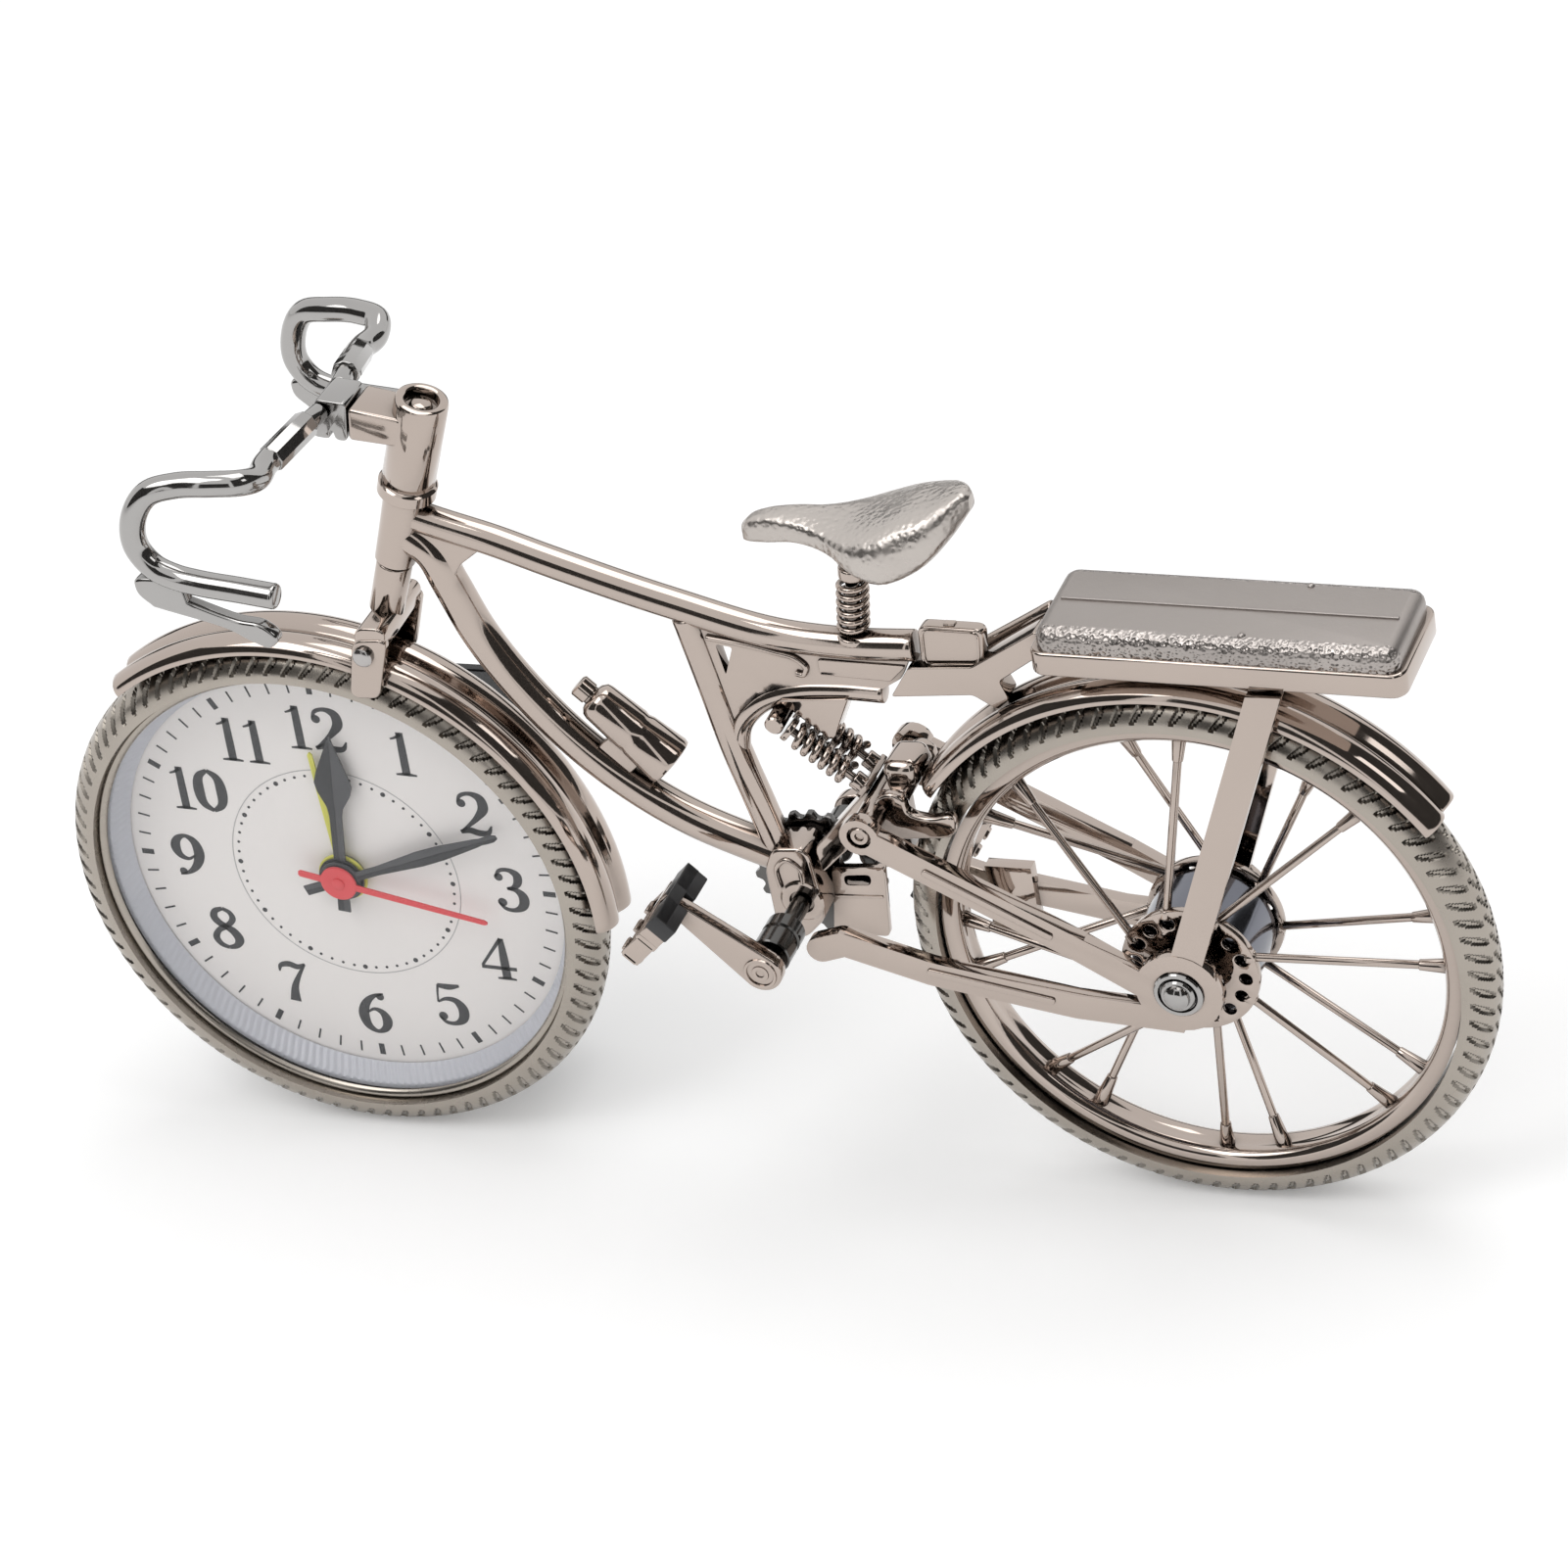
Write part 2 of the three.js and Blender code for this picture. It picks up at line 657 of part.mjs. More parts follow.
// The alarm's on and off slider, with a foot inside the case
function alarmSwitch() {
  const half = switchStemHalfWidth;
  const { thumbHalf, thumbRise, thumbHeight, footHalf, footRise, depth } = slider;
  const beside = (reach) => [switchX - reach, switchX + reach];
  const above = (reach) => [switchZ - reach, switchZ + reach];
  const thumb = block(...beside(thumbHalf), knobFront, knobFront + thumbHeight, ...above(thumbRise));
  const stem = block(...beside(half), caseBack - depth, knobFront + 0.5, ...above(half));
  const foot = block(...beside(footHalf), caseBack - depth, coverFront - clearance, ...above(footRise));
  return join([thumb, stem, foot]);
}

const boardFront = 12.6;
const boardThickness = 1.2;
const boardSideGap = 2.5;
const chipSize = { inset: 5.2, length: 7.0, low: 2.0, height: 4.0 };
const buzzerRadius = 5.4;
const buzzerWall = 0.8;
const buzzerInset = 10.6; // its centre from the case's side
const buzzerDrop = 8.0; // its centre from the case's top

function circuitBoard() {
  const low = knobZ + knobShaftRadius + 1.4;
  const high = axleHeight + caseHalfHeight - caseWall - clearance;
  const halfWidth = caseHalfWidth - caseWall - clearance - boardSideGap;
  const board = block(-halfWidth, halfWidth, boardFront, boardFront + boardThickness, low, high);
  const chipEnd = halfWidth - chipSize.inset;
  const chipLow = low + chipSize.low;
  const chipFace = boardFront - 1;
  const chipHigh = chipLow + chipSize.height;
  const chip = block(chipEnd - chipSize.length, chipEnd, chipFace, boardFront + 0.5, chipLow, chipHigh);
  return board.add(chip);
}

function buzzer() {
  const low = boardFront + boardThickness + clearance;
  const x = buzzerInset - caseHalfWidth;
  const z = axleHeight + caseHalfHeight - buzzerDrop;
  return tubeY(x, z, buzzerRadius, buzzerWall, low, caseBack - clearance, 20);
}

// Steering: everything on the leaning axis is placed by its distance along it

const leanX = Math.sin(radians(headAngle));
const leanZ = Math.cos(radians(headAngle));

function onAxis(along) {
  return at(steerX + along * leanX, 0, steerZ + along * leanZ);
}

const steererRodRadius = 1.6;
const steererRodTop = 3.0;
const steererBore = steererRodRadius + clearance;
const screwShankRadius = 0.7;
const screwShankLength = 1.1;
const screwHeadThickness = 0.8;
const forkBossRadius = 0.9;
const forkBossSpot = [14.9, 81.3];
const forkScrewSpot = [17.4, 87.8];
const forkLegOutline = [
  [15.7, 89.1], [16.7, 90.2], [20.6, 90.5], [21.3, 89.6],
  [18.5, 81.3], [17.7, 80.4], [14.4, 80.3], [13.7, 81.2],
];
const forkCrownOutline = [
  [16.2, 89.9], [16.4, 91.2], [17.4, 92.2], [20.6, 92.2], [21.3, 91.0], [20.2, 86.0], [15.4, 87.0],
];

function fork() {
  const steerer = rod(onAxis(steererLow), onAxis(headTubeLow - clearance), steererRadius, 24);
  const core = rod(onAxis(headTubeLow - 2), onAxis(steererRodTop), steererRodRadius, 16);
  const crown = plate(forkCrownOutline, -forkPlateOuter, forkPlateOuter);
  const fenderOuter = fenderInnerRadius + fenderWall + fenderBulge;
  const overRadius = fenderOuter + clearance;
  const overFender = drumY(0, axleHeight, overRadius, -forkPlateInner, forkPlateInner, wheelSegments);
  const legs = [-1, 1].map((side) => forkLeg(side));
  const tyreWay = turned(tyreProfile(clearance), 0, axleHeight);
  return cut(join([steerer, core, cut(crown, [overFender]), ...legs]), [forkScrewHoles(), tyreWay]);
}

function forkLeg(side) {
  const leg = sided(side, forkPlateInner, forkPlateOuter, (low, high) => plate(forkLegOutline, low, high));
  const [bossX, bossZ] = forkBossSpot;
  const boss = sided(side, tyreLipHalfWidth - 1, forkPlateInner + 0.5, (low, high) =>
    drumY(bossX, bossZ, forkBossRadius, low, high, 12));
  return leg.add(boss);
}

// Calls a builder with the Y limits of a piece that lies on one side: minus is the dial's side
function sided(side, near, far, build) {
  return side < 0 ? build(-far, -near) : build(near, far);
}

function forkScrewHoles() {
  const [x, z] = forkScrewSpot;
  const depth = screwShankLength + clearance;
  const holes = [-1, 1].map((side) => sided(side, forkPlateOuter - depth, forkPlateOuter + 1, (low, high) =>
    drumY(x, z, screwShankRadius + clearance, low, high, 12)));
  return join(holes);
}

function forkScrew(side) {
  const [x, z] = forkScrewSpot;
  const face = forkPlateOuter + clearance;
  const head = sided(side, face, face + screwHeadThickness, (low, high) =>
    drumY(x, z, forkScrewRadius, low, high, 16));
  const shank = sided(side, forkPlateOuter - screwShankLength, face + 0.2, (low, high) =>
    drumY(x, z, screwShankRadius, low, high, 12));
  const slot = sided(side, face + screwHeadThickness - 0.3, face + screwHeadThickness + 1, (low, high) =>
    block(x - forkScrewRadius, x + forkScrewRadius, low, high, z - 0.25, z + 0.25));
  return cut(head.add(shank), [slot]);
}

const armOutline = [[22.0, 126.5], [30.0, 124.8], [28.5, 120.5], [21.1, 121.4]];

function stem() {
  const collar = rod(onAxis(headTubeHigh + clearance), onAxis(0.9), collarRadius, 24);
  const tube = rod(onAxis(0), onAxis(stemTop - 1), stemRadius, 24);
  const shoulder = rod(onAxis(stemTop - 1), onAxis(stemTop), stemRadius, 24, stemRadius - 0.5);
  const recess = rod(onAxis(stemTop - 0.5), onAxis(stemTop + 1), stemRadius - 0.9, 20);
  const cap = rod(onAxis(stemTop - 1), onAxis(stemTop - 0.2), stemRadius - 1.4, 20);
  const bore = rod(onAxis(headTubeHigh - 1), onAxis(steererRodTop + clearance), steererBore, 16);
  const arm = plate(armOutline, -armHalfWidth, armHalfWidth);
  return join([cut(join([collar, tube, shoulder]), [recess]), cap, arm]).subtract(bore);
}

// A straight bar with a rectangular section: half its height in the XZ plane, half its width in Y
function bar(start, end, halfHeight, halfWidth) {
  const along = end.clone().sub(start);
  const geometry = new THREE.BoxGeometry(along.length(), halfWidth * 2, halfHeight * 2);
  along.normalize();
  const up = new THREE.Vector3().crossVectors(along, at(0, 1, 0)).normalize();
  const across = new THREE.Vector3().crossVectors(up, along);
  geometry.applyMatrix4(new THREE.Matrix4().makeBasis(along, across, up));
  const middle = start.clone().add(end).multiplyScalar(0.5);
  geometry.translate(middle.x, middle.y, middle.z);
  return toSolid(geometry);
}

const clampOutline = [[17.0, 127.7], [21.8, 127.1], [20.7, 121.0], [15.4, 121.7]];
const clampSeam = { xLow: 18.2, xHigh: 18.8, zLow: 120.0, zHigh: 122.6 };

function barClamp() {
  const body = plate(clampOutline, -clampHalfWidth, clampHalfWidth);
  const { xLow, xHigh, zLow, zHigh } = clampSeam;
  const seam = block(xLow, xHigh, -clampHalfWidth - 1, clampHalfWidth + 1, zLow, zHigh);
  return cut(body, [seam]);
}

// Handlebar: half a path in (x, distance from the middle, z), from the clamp round to the grip's end
const barNeck = [[17.6, clampHalfWidth + clearance, 125.9], [17.0, 7.6, 126.0]];
const barSleeve = [[17.1, 6.6, 126.0], [15.3, 15.6, 125.3]];
const barPath = [
  [17.1, 6.8, 126.0], [15.9, 12.0, 125.6], [15.1, 16.8, 125.3], [15.5, 20.5, 125.4], [14.6, 23.6, 126.5],
  [11.0, 25.0, 127.2], [5.6, 25.6, 127.1], [1.6, 26.4, 126.0], [-1.3, 27.0, 122.3], [-2.0, 27.0, 117.5],
  [-0.1, 27.0, 114.4], [3.0, 27.0, 112.8], [6.0, 27.0, 112.1], [12.5, 27.0, 111.2], [18.0, 27.0, 110.4],
];

function sideOf(side, points) {
  return points.map(([x, reach, z]) => at(x, side * reach, z));
}

function handlebar(side) {
  const tube = sweep(sideOf(side, barPath), barRadius, 34, 8);
  const [neckStart, neckEnd] = sideOf(side, barNeck);
  const [sleeveStart, sleeveEnd] = sideOf(side, barSleeve);
  const neck = rod(neckStart, neckEnd, barRadius - 0.4, 10);
  return join([tube, neck, rod(sleeveStart, sleeveEnd, sleeveRadius, 8)]);
}

const leverHalfThickness = 1.1;
const leverMiddle = 27.0;
const leverOutline = [
  [-3.5, 111.2], [-3.4, 112.4], [-2.1, 113.1], [0.0, 113.0], [4.1, 111.1], [4.3, 109.2], [11.4, 106.6],
  [15.3, 105.9], [17.0, 103.7], [15.1, 102.2], [13.5, 102.9], [9.5, 105.2], [6.0, 106.3], [-1.2, 108.1],
];

function brakeLever(side) {
  const tubeWay = sweep(sideOf(side, barPath), barRadius + clearance, 34, 8);
  return sided(side, leverMiddle - leverHalfThickness, leverMiddle + leverHalfThickness, (low, high) =>
    plate(leverOutline, low, high)).subtract(tubeWay);
}

// Fenders: a thin section with two rounded bands and a groove between, turned over a wheel

function fenderProfile() {
  const low = fenderInnerRadius - fenderSkirt + 0.2;
  const crown = fenderInnerRadius + fenderWall;
  const w = fenderHalfWidth;
  const outer = [
    [low, w], [low + 1.1, w - 0.3], [crown, w - 1.5], [crown + fenderBulge, w - 2.9], [crown, 0.9],
    [crown - 0.5, 0],
  ];
  const inner = [[fenderInnerRadius, w - 2.3], [fenderInnerRadius - 0.3, w - 1.2], [low, w - 0.8]];
  const outerMirror = outer.slice(0, -1).map(([r, y]) => [r, -y]);
  const innerMirror = inner.map(([r, y]) => [r, -y]).reverse();
  const otherSide = [...outer.slice(0, -1).reverse(), ...inner.reverse(), ...innerMirror];
  return [...outerMirror, outer[outer.length - 1], ...otherSide];
}

function fender(x, from, to) {
  return turnedArc(fenderProfile(), x, axleHeight, from, to, 16);
}

// Main frame: head tube, top tube, down tube, seat tube, gusset, bottom bracket and tail block

// Points drawn in side view, moved so that the frame between head and seat takes up a change of wheelbase
function fitted(points) {
  return points.map(([x, z]) => {
    const share = Math.min(Math.max((x - headReach) / (seatReach - headReach), 0), 1);
    return [x + share * (wheelbase - drawnWheelbase), z];
  });
}

const topTubePath = fitted([
  [26.5, 107.4], [30.0, 106.2], [38.0, 103.7], [46.0, 100.7],
  [64.0, 94.5], [79.0, 90.3], [90.0, 89.5], [103.0, 90.2],
]);
const downTubePath = fitted([
  [28.4, 103.3], [29.6, 97.4], [32.6, 88.2], [38.7, 77.4],
  [48.0, 66.5], [58.7, 58.6], [69.2, 53.9], [74.0, 52.1],
]);
const seatTubePath = fitted([[65.4, 92.8], [67.2, 81.8], [68.9, 70.8], [71.2, 60.3], [72.8, 52.3]]);
const swooshPath = fitted([
  [69.2, 69.3], [70.6, 74.8], [74.3, 78.7], [80.4, 81.1], [87.0, 81.7], [93.4, 81.5],
]);
const swooshRadius = 1.6;
const webOutline = fitted([
  [24.6, 105.8], [31.0, 106.0], [37.0, 103.8], [31.8, 98.8], [31.6, 92.8], [28.6, 97.4], [25.2, 101.5],
]);
const webHalfThickness = 1.5;
const gussetOutline = fitted([
  [66.4, 92.3], [79.0, 90.2], [91.0, 89.2], [98.8, 89.0], [96.6, 84.6],
  [93.0, 82.4], [84.0, 81.8], [76.0, 80.4], [71.8, 77.0], [68.4, 73.3],
]);
const gussetHole = fitted([[69.4, 88.7], [71.9, 88.3], [70.1, 83.6]]);
const springPlate = fitted([[77.8, 80.6], [84.6, 74.4], [85.4, 74.8], [88.4, 81.4]]);
const springPlateHalfWidth = 2.2;
const bracketOutline = fitted([
  [71.0, 41.8], [72.2, 39.9], [75.4, 40.1], [78.6, 43.4], [79.0, 46.4],
  [78.6, 49.8], [78.2, 54.4], [77.2, 55.8], [72.6, 55.4], [70.9, 51.8],
]);
const bracketHalfWidth = 3.1;
const tailOutline = fitted([[101.2, 94.8], [110.2, 94.7], [109.2, 88.4], [100.9, 87.9]]);
const tailHalfThickness = 1.3;
const postAhead = 44.6; // of the rear axle, where the seat post's axis crosses postAxisZ
const postAxisX = wheelbase - postAhead;
const postAxisZ = 88.6;
const postLean = 8.3;
const postRadius = 1.0;
const postLow = -0.4; // along the post's axis, as are the next two
const postCollarLow = 1.6;
const postCollarHigh = 2.6;
const postCollarRadius = 2.0;

function flatPath(points) {
  return points.map(([x, z]) => at(x, 0, z));
}

function postPoint(along) {
  const lean = radians(postLean);
  return at(postAxisX + along * Math.sin(lean), 0, postAxisZ + along * Math.cos(lean));
}

function headTube() {
  return rod(onAxis(headTubeLow), onAxis(headTubeHigh), headTubeLowRadius, 24, headTubeTopRadius);
}

function mainFrame() {
  const tubes = [
    sweep(flatPath(topTubePath), frameTubeRadius, 16, 8),
    sweep(flatPath(downTubePath), downTubeRadius, 16, 8),
    sweep(flatPath(seatTubePath), seatTubeRadius, 6, 8),
    sweep(flatPath(swooshPath), swooshRadius, 10, 8),
  ];
  const web = plate(webOutline, -webHalfThickness, webHalfThickness);
  const gusset = cut(plate(gussetOutline, -gussetHalfThickness, gussetHalfThickness), [
    plate(gussetHole, -gussetHalfThickness - 1, gussetHalfThickness + 1),
  ]);
  const bracket = plate(bracketOutline, -bracketHalfWidth, bracketHalfWidth);
  const tail = plate(tailOutline, -tailHalfThickness, tailHalfThickness);
  const hanger = plate(springPlate, -springPlateHalfWidth, springPlateHalfWidth);
  const [socketX, socketZ] = shockSocket;
  const socket = drumY(socketX, socketZ, shockSocketRadius, -shockHalfWidth, shockHalfWidth, 14);
  const whole = join([headTube(), ...tubes, web, gusset, bracket, tail, hanger, socket]);
  const rodBore = rod(onAxis(headTubeLow - 1), onAxis(headTubeHigh + 1), steererBore, 16);
  const steererWay = rod(onAxis(steererLow - 2), onAxis(headTubeLow), steererRadius + clearance, 20);
  const through = bracketHalfWidth + 1;
  const spindleBore = drumY(crankX, crankZ, spindleRadius + clearance, -through, through, 20);
  const postBore = rod(postPoint(postLow - clearance), postPoint(12), postRadius + clearance, 14);
  const postSeat = rod(postPoint(postCollarLow - clearance), postPoint(12), postCollarRadius + clearance, 16);
  return cut(whole, [rodBore, steererWay, spindleBore, postBore, postSeat]);
}

// Yoke from the swoosh's socket up to the rack and down to the rear fender
const stalkRadius = 2.1;
const yokeRadius = 1.7;
const tailRoom = fitted([[100.0, 95.2], [110.6, 95.1], [109.5, 88.05], [100.0, 87.5]]);
const stalkPath = fitted([[98.6, 84.2], [106.0, 85.5]]);
const yokeUpperPath = fitted([[104.6, 84.5], [110.0, 88.2], [118.4, 93.0]]);
const yokeLowerPath = fitted([[105.4, 85.2], [108.2, 78.4]]);
const yokeJointRadius = 2.3;
const yokeJointHalfWidth = 2.0;
const [yokeJoint] = fitted([[105.4, 84.7]]);

function rackYoke() {
  const stalk = rod(...flatPath(stalkPath), stalkRadius, 10);
  const upper = sweep(flatPath(yokeUpperPath), yokeRadius, 6, 8);
  const lower = rod(...flatPath(yokeLowerPath), yokeRadius, 10);
  const joint = drumY(...yokeJoint, yokeJointRadius, -yokeJointHalfWidth, yokeJointHalfWidth, 14);
  const fenderOuter = fenderInnerRadius + fenderWall + fenderBulge;
  const overFender = drumY(wheelbase, axleHeight, fenderOuter + clearance, -6, 6, wheelSegments);
  const rackFace = block(rackFront - clearance, rackFront + 8, -6, 6, 85, 99);
  const tailWay = plate(tailRoom, -tailHalfThickness - clearance, tailHalfThickness + clearance);
  return cut(join([stalk, upper, lower, joint]), [overFender, rackFace, tailWay]);
}

// Rear suspension: twin rods with coils that lean from the frame's socket to the swing bridge
const [shockSocket] = fitted([[77.4, 77.6]]);
const shockSocketRadius = 1.4;
const bridgeBarRadius = 2.0;
const shockHalfWidth = 4.4;
const shockRodRadius = 0.6;
const shockCollarRadius = 1.9;
const shockCollar = 0.9;
const shockFoot = 2.6; // length of the thick lower end
const shockFootRadius = 1.35;

function shockPoint(along, y = 0) {
  const [socket, pivot] = flatPath([shockSocket, [pivotX, pivotZ]]);
  const direction = pivot.clone().sub(socket).normalize();
  return socket.addScaledVector(direction, shockSocketRadius + clearance + along).setY(y);
}

function shockSpan() {
  const [socket, pivot] = flatPath([shockSocket, [pivotX, pivotZ]]);
  return socket.distanceTo(pivot) - shockSocketRadius - bridgeBarRadius - clearance * 2;
}

function shockRods() {
  const span = shockSpan();
  const yoke = bar(shockPoint(span - 1.0), shockPoint(span), shockFootRadius, shockHalfWidth - 0.4);
  const pieces = [-1, 1].map((side) => {
    const y = side * shockSpread;
    return join([
      rod(shockPoint(0, y), shockPoint(span, y), shockRodRadius, 12),
      rod(shockPoint(0, y), shockPoint(shockCollar, y), shockCollarRadius, 14),
      rod(shockPoint(span - shockFoot, y), shockPoint(span, y), shockFootRadius, 12),
    ]);
  });
  return join([yoke, ...pieces]);
}

function shockCoil(side) {
  const y = side * shockSpread;
  const start = shockPoint(shockCollar + clearance, y);
  const end = shockPoint(shockSpan() - shockFoot - clearance, y);
  return coil(start, end, shockCoilRadius, shockWireRadius, shockCoils);
}

// Swing bridge: a U-shaped wall round the tyre's front on a cross bar that carries the stays
const bridgeReach = stayInner - clearance;
const bridgeOuter = 7.3;
const bridgeInner = 5.4;
const bridgeAhead = 39.7; // of the rear axle: the wall's inner face, in front of the tyre
const bridgeFront = wheelbase - bridgeAhead;
const bridgeOutline = fitted([
  [91.5, 63.1], [92.9, 71.4], [95.3, 71.1], [97.0, 66.6], [103.1, 65.9], [103.1, 63.4], [96.6, 63.1],
]);
const bridgeRoom = { length: 15.0, zLow: 60.0, zHigh: 75.0 };
const braceOutline = fitted([[79.3, 51.0], [78.8, 55.2], [88.6, 66.0], [91.4, 62.6]]);
const braceHalfWidth = 2.0;
const screwBore = 1.1;

function swingBridge() {
  const wall = plate(bridgeOutline, -bridgeOuter, bridgeOuter);
  const { length, zLow, zHigh } = bridgeRoom;
  const tyreRoom = block(bridgeFront, bridgeFront + length, -bridgeInner, bridgeInner, zLow, zHigh);
  const crossBar = drumY(pivotX, pivotZ, bridgeBarRadius, -bridgeReach, bridgeReach, 20);
  const brace = plate(braceOutline, -braceHalfWidth, braceHalfWidth);
  const bores = [-1, 1].map((side) => sided(side, bridgeReach - 3.4, bridgeReach + 1, (low, high) =>
    drumY(pivotX, pivotZ, screwBore, low, high, 14)));
  return cut(join([cut(wall, [tyreRoom]), crossBar, brace]), bores);
}

const pivotHeadRadius = 1.5;
const pivotRecess = 1.0;
const pivotBossRadius = 2.9;

function pivotScrew(side) {
  const head = sided(side, stayOuter - pivotRecess + clearance, stayOuter + clearance, (low, high) =>
    drumY(pivotX, pivotZ, pivotHeadRadius, low, high, 16));
  const shankEnd = stayOuter - pivotRecess + clearance + 0.2;
  const shank = sided(side, bridgeReach - 3, shankEnd, (low, high) =>
    drumY(pivotX, pivotZ, screwBore - clearance, low, high, 12));
  return head.add(shank);
}

// Stays: one flat plate a side with an upper link, a chainstay, a dropout and a strut to the rack
const linkPath = fitted([[90.9, 65.0], [100.8, 59.5], [120.7, 48.4], [133.5, 40.4]]);
const chainstayPath = fitted([[81.6, 45.2], [85.2, 46.4], [97.9, 42.4], [119.0, 38.5], [134.5, 37.4]]);
const [strutFoot, strutHead] = fitted([[135.6, 45.8], [152.3, 91.4]]);
const guideOutline = fitted([[99.5, 37.8], [106.5, 37.8], [106.5, 46.3], [99.5, 46.3]]);
const guideDepth = 1.6; // inwards of the stay
const [guideRoller] = fitted([[101.2, 36.4]]);
const guideRollerRadius = 2.0;
const strutInner = 8.0;

// A flat strip with a rounded start that follows a few points
function strip(points, halfHeight, yLow, yHigh) {
  const pieces = [];
  const middle = (yLow + yHigh) / 2;
  for (let i = 0; i + 1 < points.length; i += 1) {
    const [[x0, z0], [x1, z1]] = [points[i], points[i + 1]];
    pieces.push(bar(at(x0, middle, z0), at(x1, middle, z1), halfHeight, yHigh - middle));
    pieces.push(drumY(x0, z0, halfHeight, yLow, yHigh, 20));
  }
  return join(pieces);
}

function stay(side) {
  const flats = sided(side, stayInner, stayOuter, (low, high) => join([
    strip(linkPath, linkHalfHeight, low, high),
    strip(chainstayPath, chainstayHalfHeight, low, high),
    drumY(wheelbase, axleHeight, dropoutRadius, low, high, 28),
    drumY(pivotX, pivotZ, pivotBossRadius, low, high, 20),
  ]));
  const middle = (stayInner + stayOuter) / 2;
  const foot = at(strutFoot[0], side * middle, strutFoot[1]);
  const head = at(strutHead[0], side * (strutInner + stayThickness / 2), strutHead[1]);
  const strut = bar(foot, head, strutHalfWidth, stayThickness / 2);
  const trayLow = rackTop - rackTrayHeight - 0.9;
  const rackWay = block(strutHead[0] - 12, strutHead[0] + 12, -20, 20, trayLow, rackTop + 4);
  const bores = [
    drumY(wheelbase, axleHeight, axleRadius + clearance, -20, 20, 20),
    drumY(pivotX, pivotZ, screwBore, -20, 20, 14),
    sided(side, stayOuter - pivotRecess, stayOuter + 1, (low, high) =>
      drumY(pivotX, pivotZ, pivotHeadRadius + clearance, low, high, 16)),
  ];
  return cut(flats.add(strut), [rackWay, ...bores]);
}

// A small chain guide stands on the far chainstay's inner face
function rightStay() {
  const guide = plate(guideOutline, stayInner - guideDepth, stayInner + 0.5);
  const roller = drumY(...guideRoller, guideRollerRadius, stayInner - guideDepth, stayInner + 0.5, 16);
  return join([stay(1), guide, roller]);
}

// Rack, lid, saddle and their seats
function roundedPlan(length, halfWidth, corner) {
  const shape = new THREE.Shape();
  shape.moveTo(corner, -halfWidth);
  shape.lineTo(length - corner, -halfWidth);
  shape.absarc(length - corner, corner - halfWidth, corner, -Math.PI / 2, 0, false);
  shape.absarc(length - corner, halfWidth - corner, corner, 0, Math.PI / 2, false);
  shape.absarc(corner, halfWidth - corner, corner, Math.PI / 2, Math.PI, false);
  shape.absarc(corner, corner - halfWidth, corner, Math.PI, Math.PI * 1.5, false);
  return shape;
}

// A slab with rounded corners in plan, placed from the rack's front top edge and pitched with it
function rackSlab(offset, length, halfWidth, corner, low, high) {
  const settings = { depth: high - low, bevelEnabled: false, curveSegments: 5 };
  const geometry = new THREE.ExtrudeGeometry(roundedPlan(length, halfWidth, corner), settings);
  geometry.translate(offset, 0, low);
  geometry.rotateY(radians(rackPitch));
  geometry.translate(rackFront, 0, rackTop);
  return toSolid(geometry);
}

const rackCorner = 2.2;
const lidLip = 0.4;
const lidShoulder = 0.9; // how far the top edge steps in and down
const ridgeInset = 3.8; // of the ridge along the lid's middle

function rackTray() {
  return rackSlab(0, rackLength, rackHalfWidth, rackCorner, -rackTrayHeight, 0);
}

function rackLid() {
  const length = rackLength - lidInset * 2;
  const half = rackHalfWidth - lidLip;
  const slab = rackSlab(lidInset, length, half, rackCorner, clearance, lidHeight - lidShoulder);
  const stepIn = lidInset + lidShoulder;
  const narrower = half - lidShoulder;
  const low = lidHeight - lidShoulder - 0.3;
  const shoulder = rackSlab(stepIn, length - lidShoulder * 2, narrower, rackCorner - 0.8, low, lidHeight);
  const ridgeLength = length + (lidInset - ridgeInset) * 2;
  const ridge = rackSlab(ridgeInset, ridgeLength, lidCrown, 0.5, lidHeight - 0.5, lidHeight + lidCrown);
  return join([slab, shoulder, ridge]);
}

const saddleProfile = fitted([
  [76.9, 108.6], [78.2, 109.7], [80.2, 110.4], [84.2, 110.8], [88.9, 110.3], [93.3, 109.9],
  [96.8, 110.6], [100.3, 111.6], [102.0, 112.5], [105.6, 113.0], [108.5, 114.1], [110.4, 115.1],
  [111.0, 114.2], [108.6, 110.3], [104.4, 106.3], [99.6, 104.1], [95.4, 104.9], [91.9, 106.0],
  [88.3, 106.6], [85.0, 106.8], [80.8, 106.2], [77.2, 105.7],
]);
const saddleHalfPlan = fitted([
  [76.8, 0.8], [77.4, 1.3], [80.2, 2.1], [84.2, 2.8], [88.9, 4.1], [91.4, 5.5], [93.3, 6.8],
  [96.8, 8.3], [100.3, 8.5], [102.0, 7.7], [105.6, 7.0], [108.5, 4.6], [110.4, 1.8], [111.2, 0.8],
]);
const saddleReach = 13;
const saddleLow = 102.0; // the plan's outline is drawn through this span
const saddleSpan = 16.0;
const saddleBelly = { ahead: 1.5, behind: 5.5, halfWidth: 2.4, zLow: 102.6, zHigh: 107.4 }; // about the post

function saddle() {
  const side = plate(saddleProfile, -saddleReach, saddleReach);
  const outline = saddleHalfPlan.concat(saddleHalfPlan.map(([x, y]) => [x, -y]).reverse());
  const shape = new THREE.Shape(outline.map(([x, y]) => new THREE.Vector2(x, y)));
  const geometry = new THREE.ExtrudeGeometry(shape, { depth: saddleSpan, bevelEnabled: false });
  geometry.translate(0, 0, saddleLow);
  const { ahead, behind, halfWidth, zLow, zHigh } = saddleBelly;
  const belly = block(postAxisX - ahead, postAxisX + behind, -halfWidth, halfWidth, zLow, zHigh);
  return side.intersect(toSolid(geometry)).add(belly);
}

const postClampLow = 11.9; // along the post's axis
const postTop = 18.0;

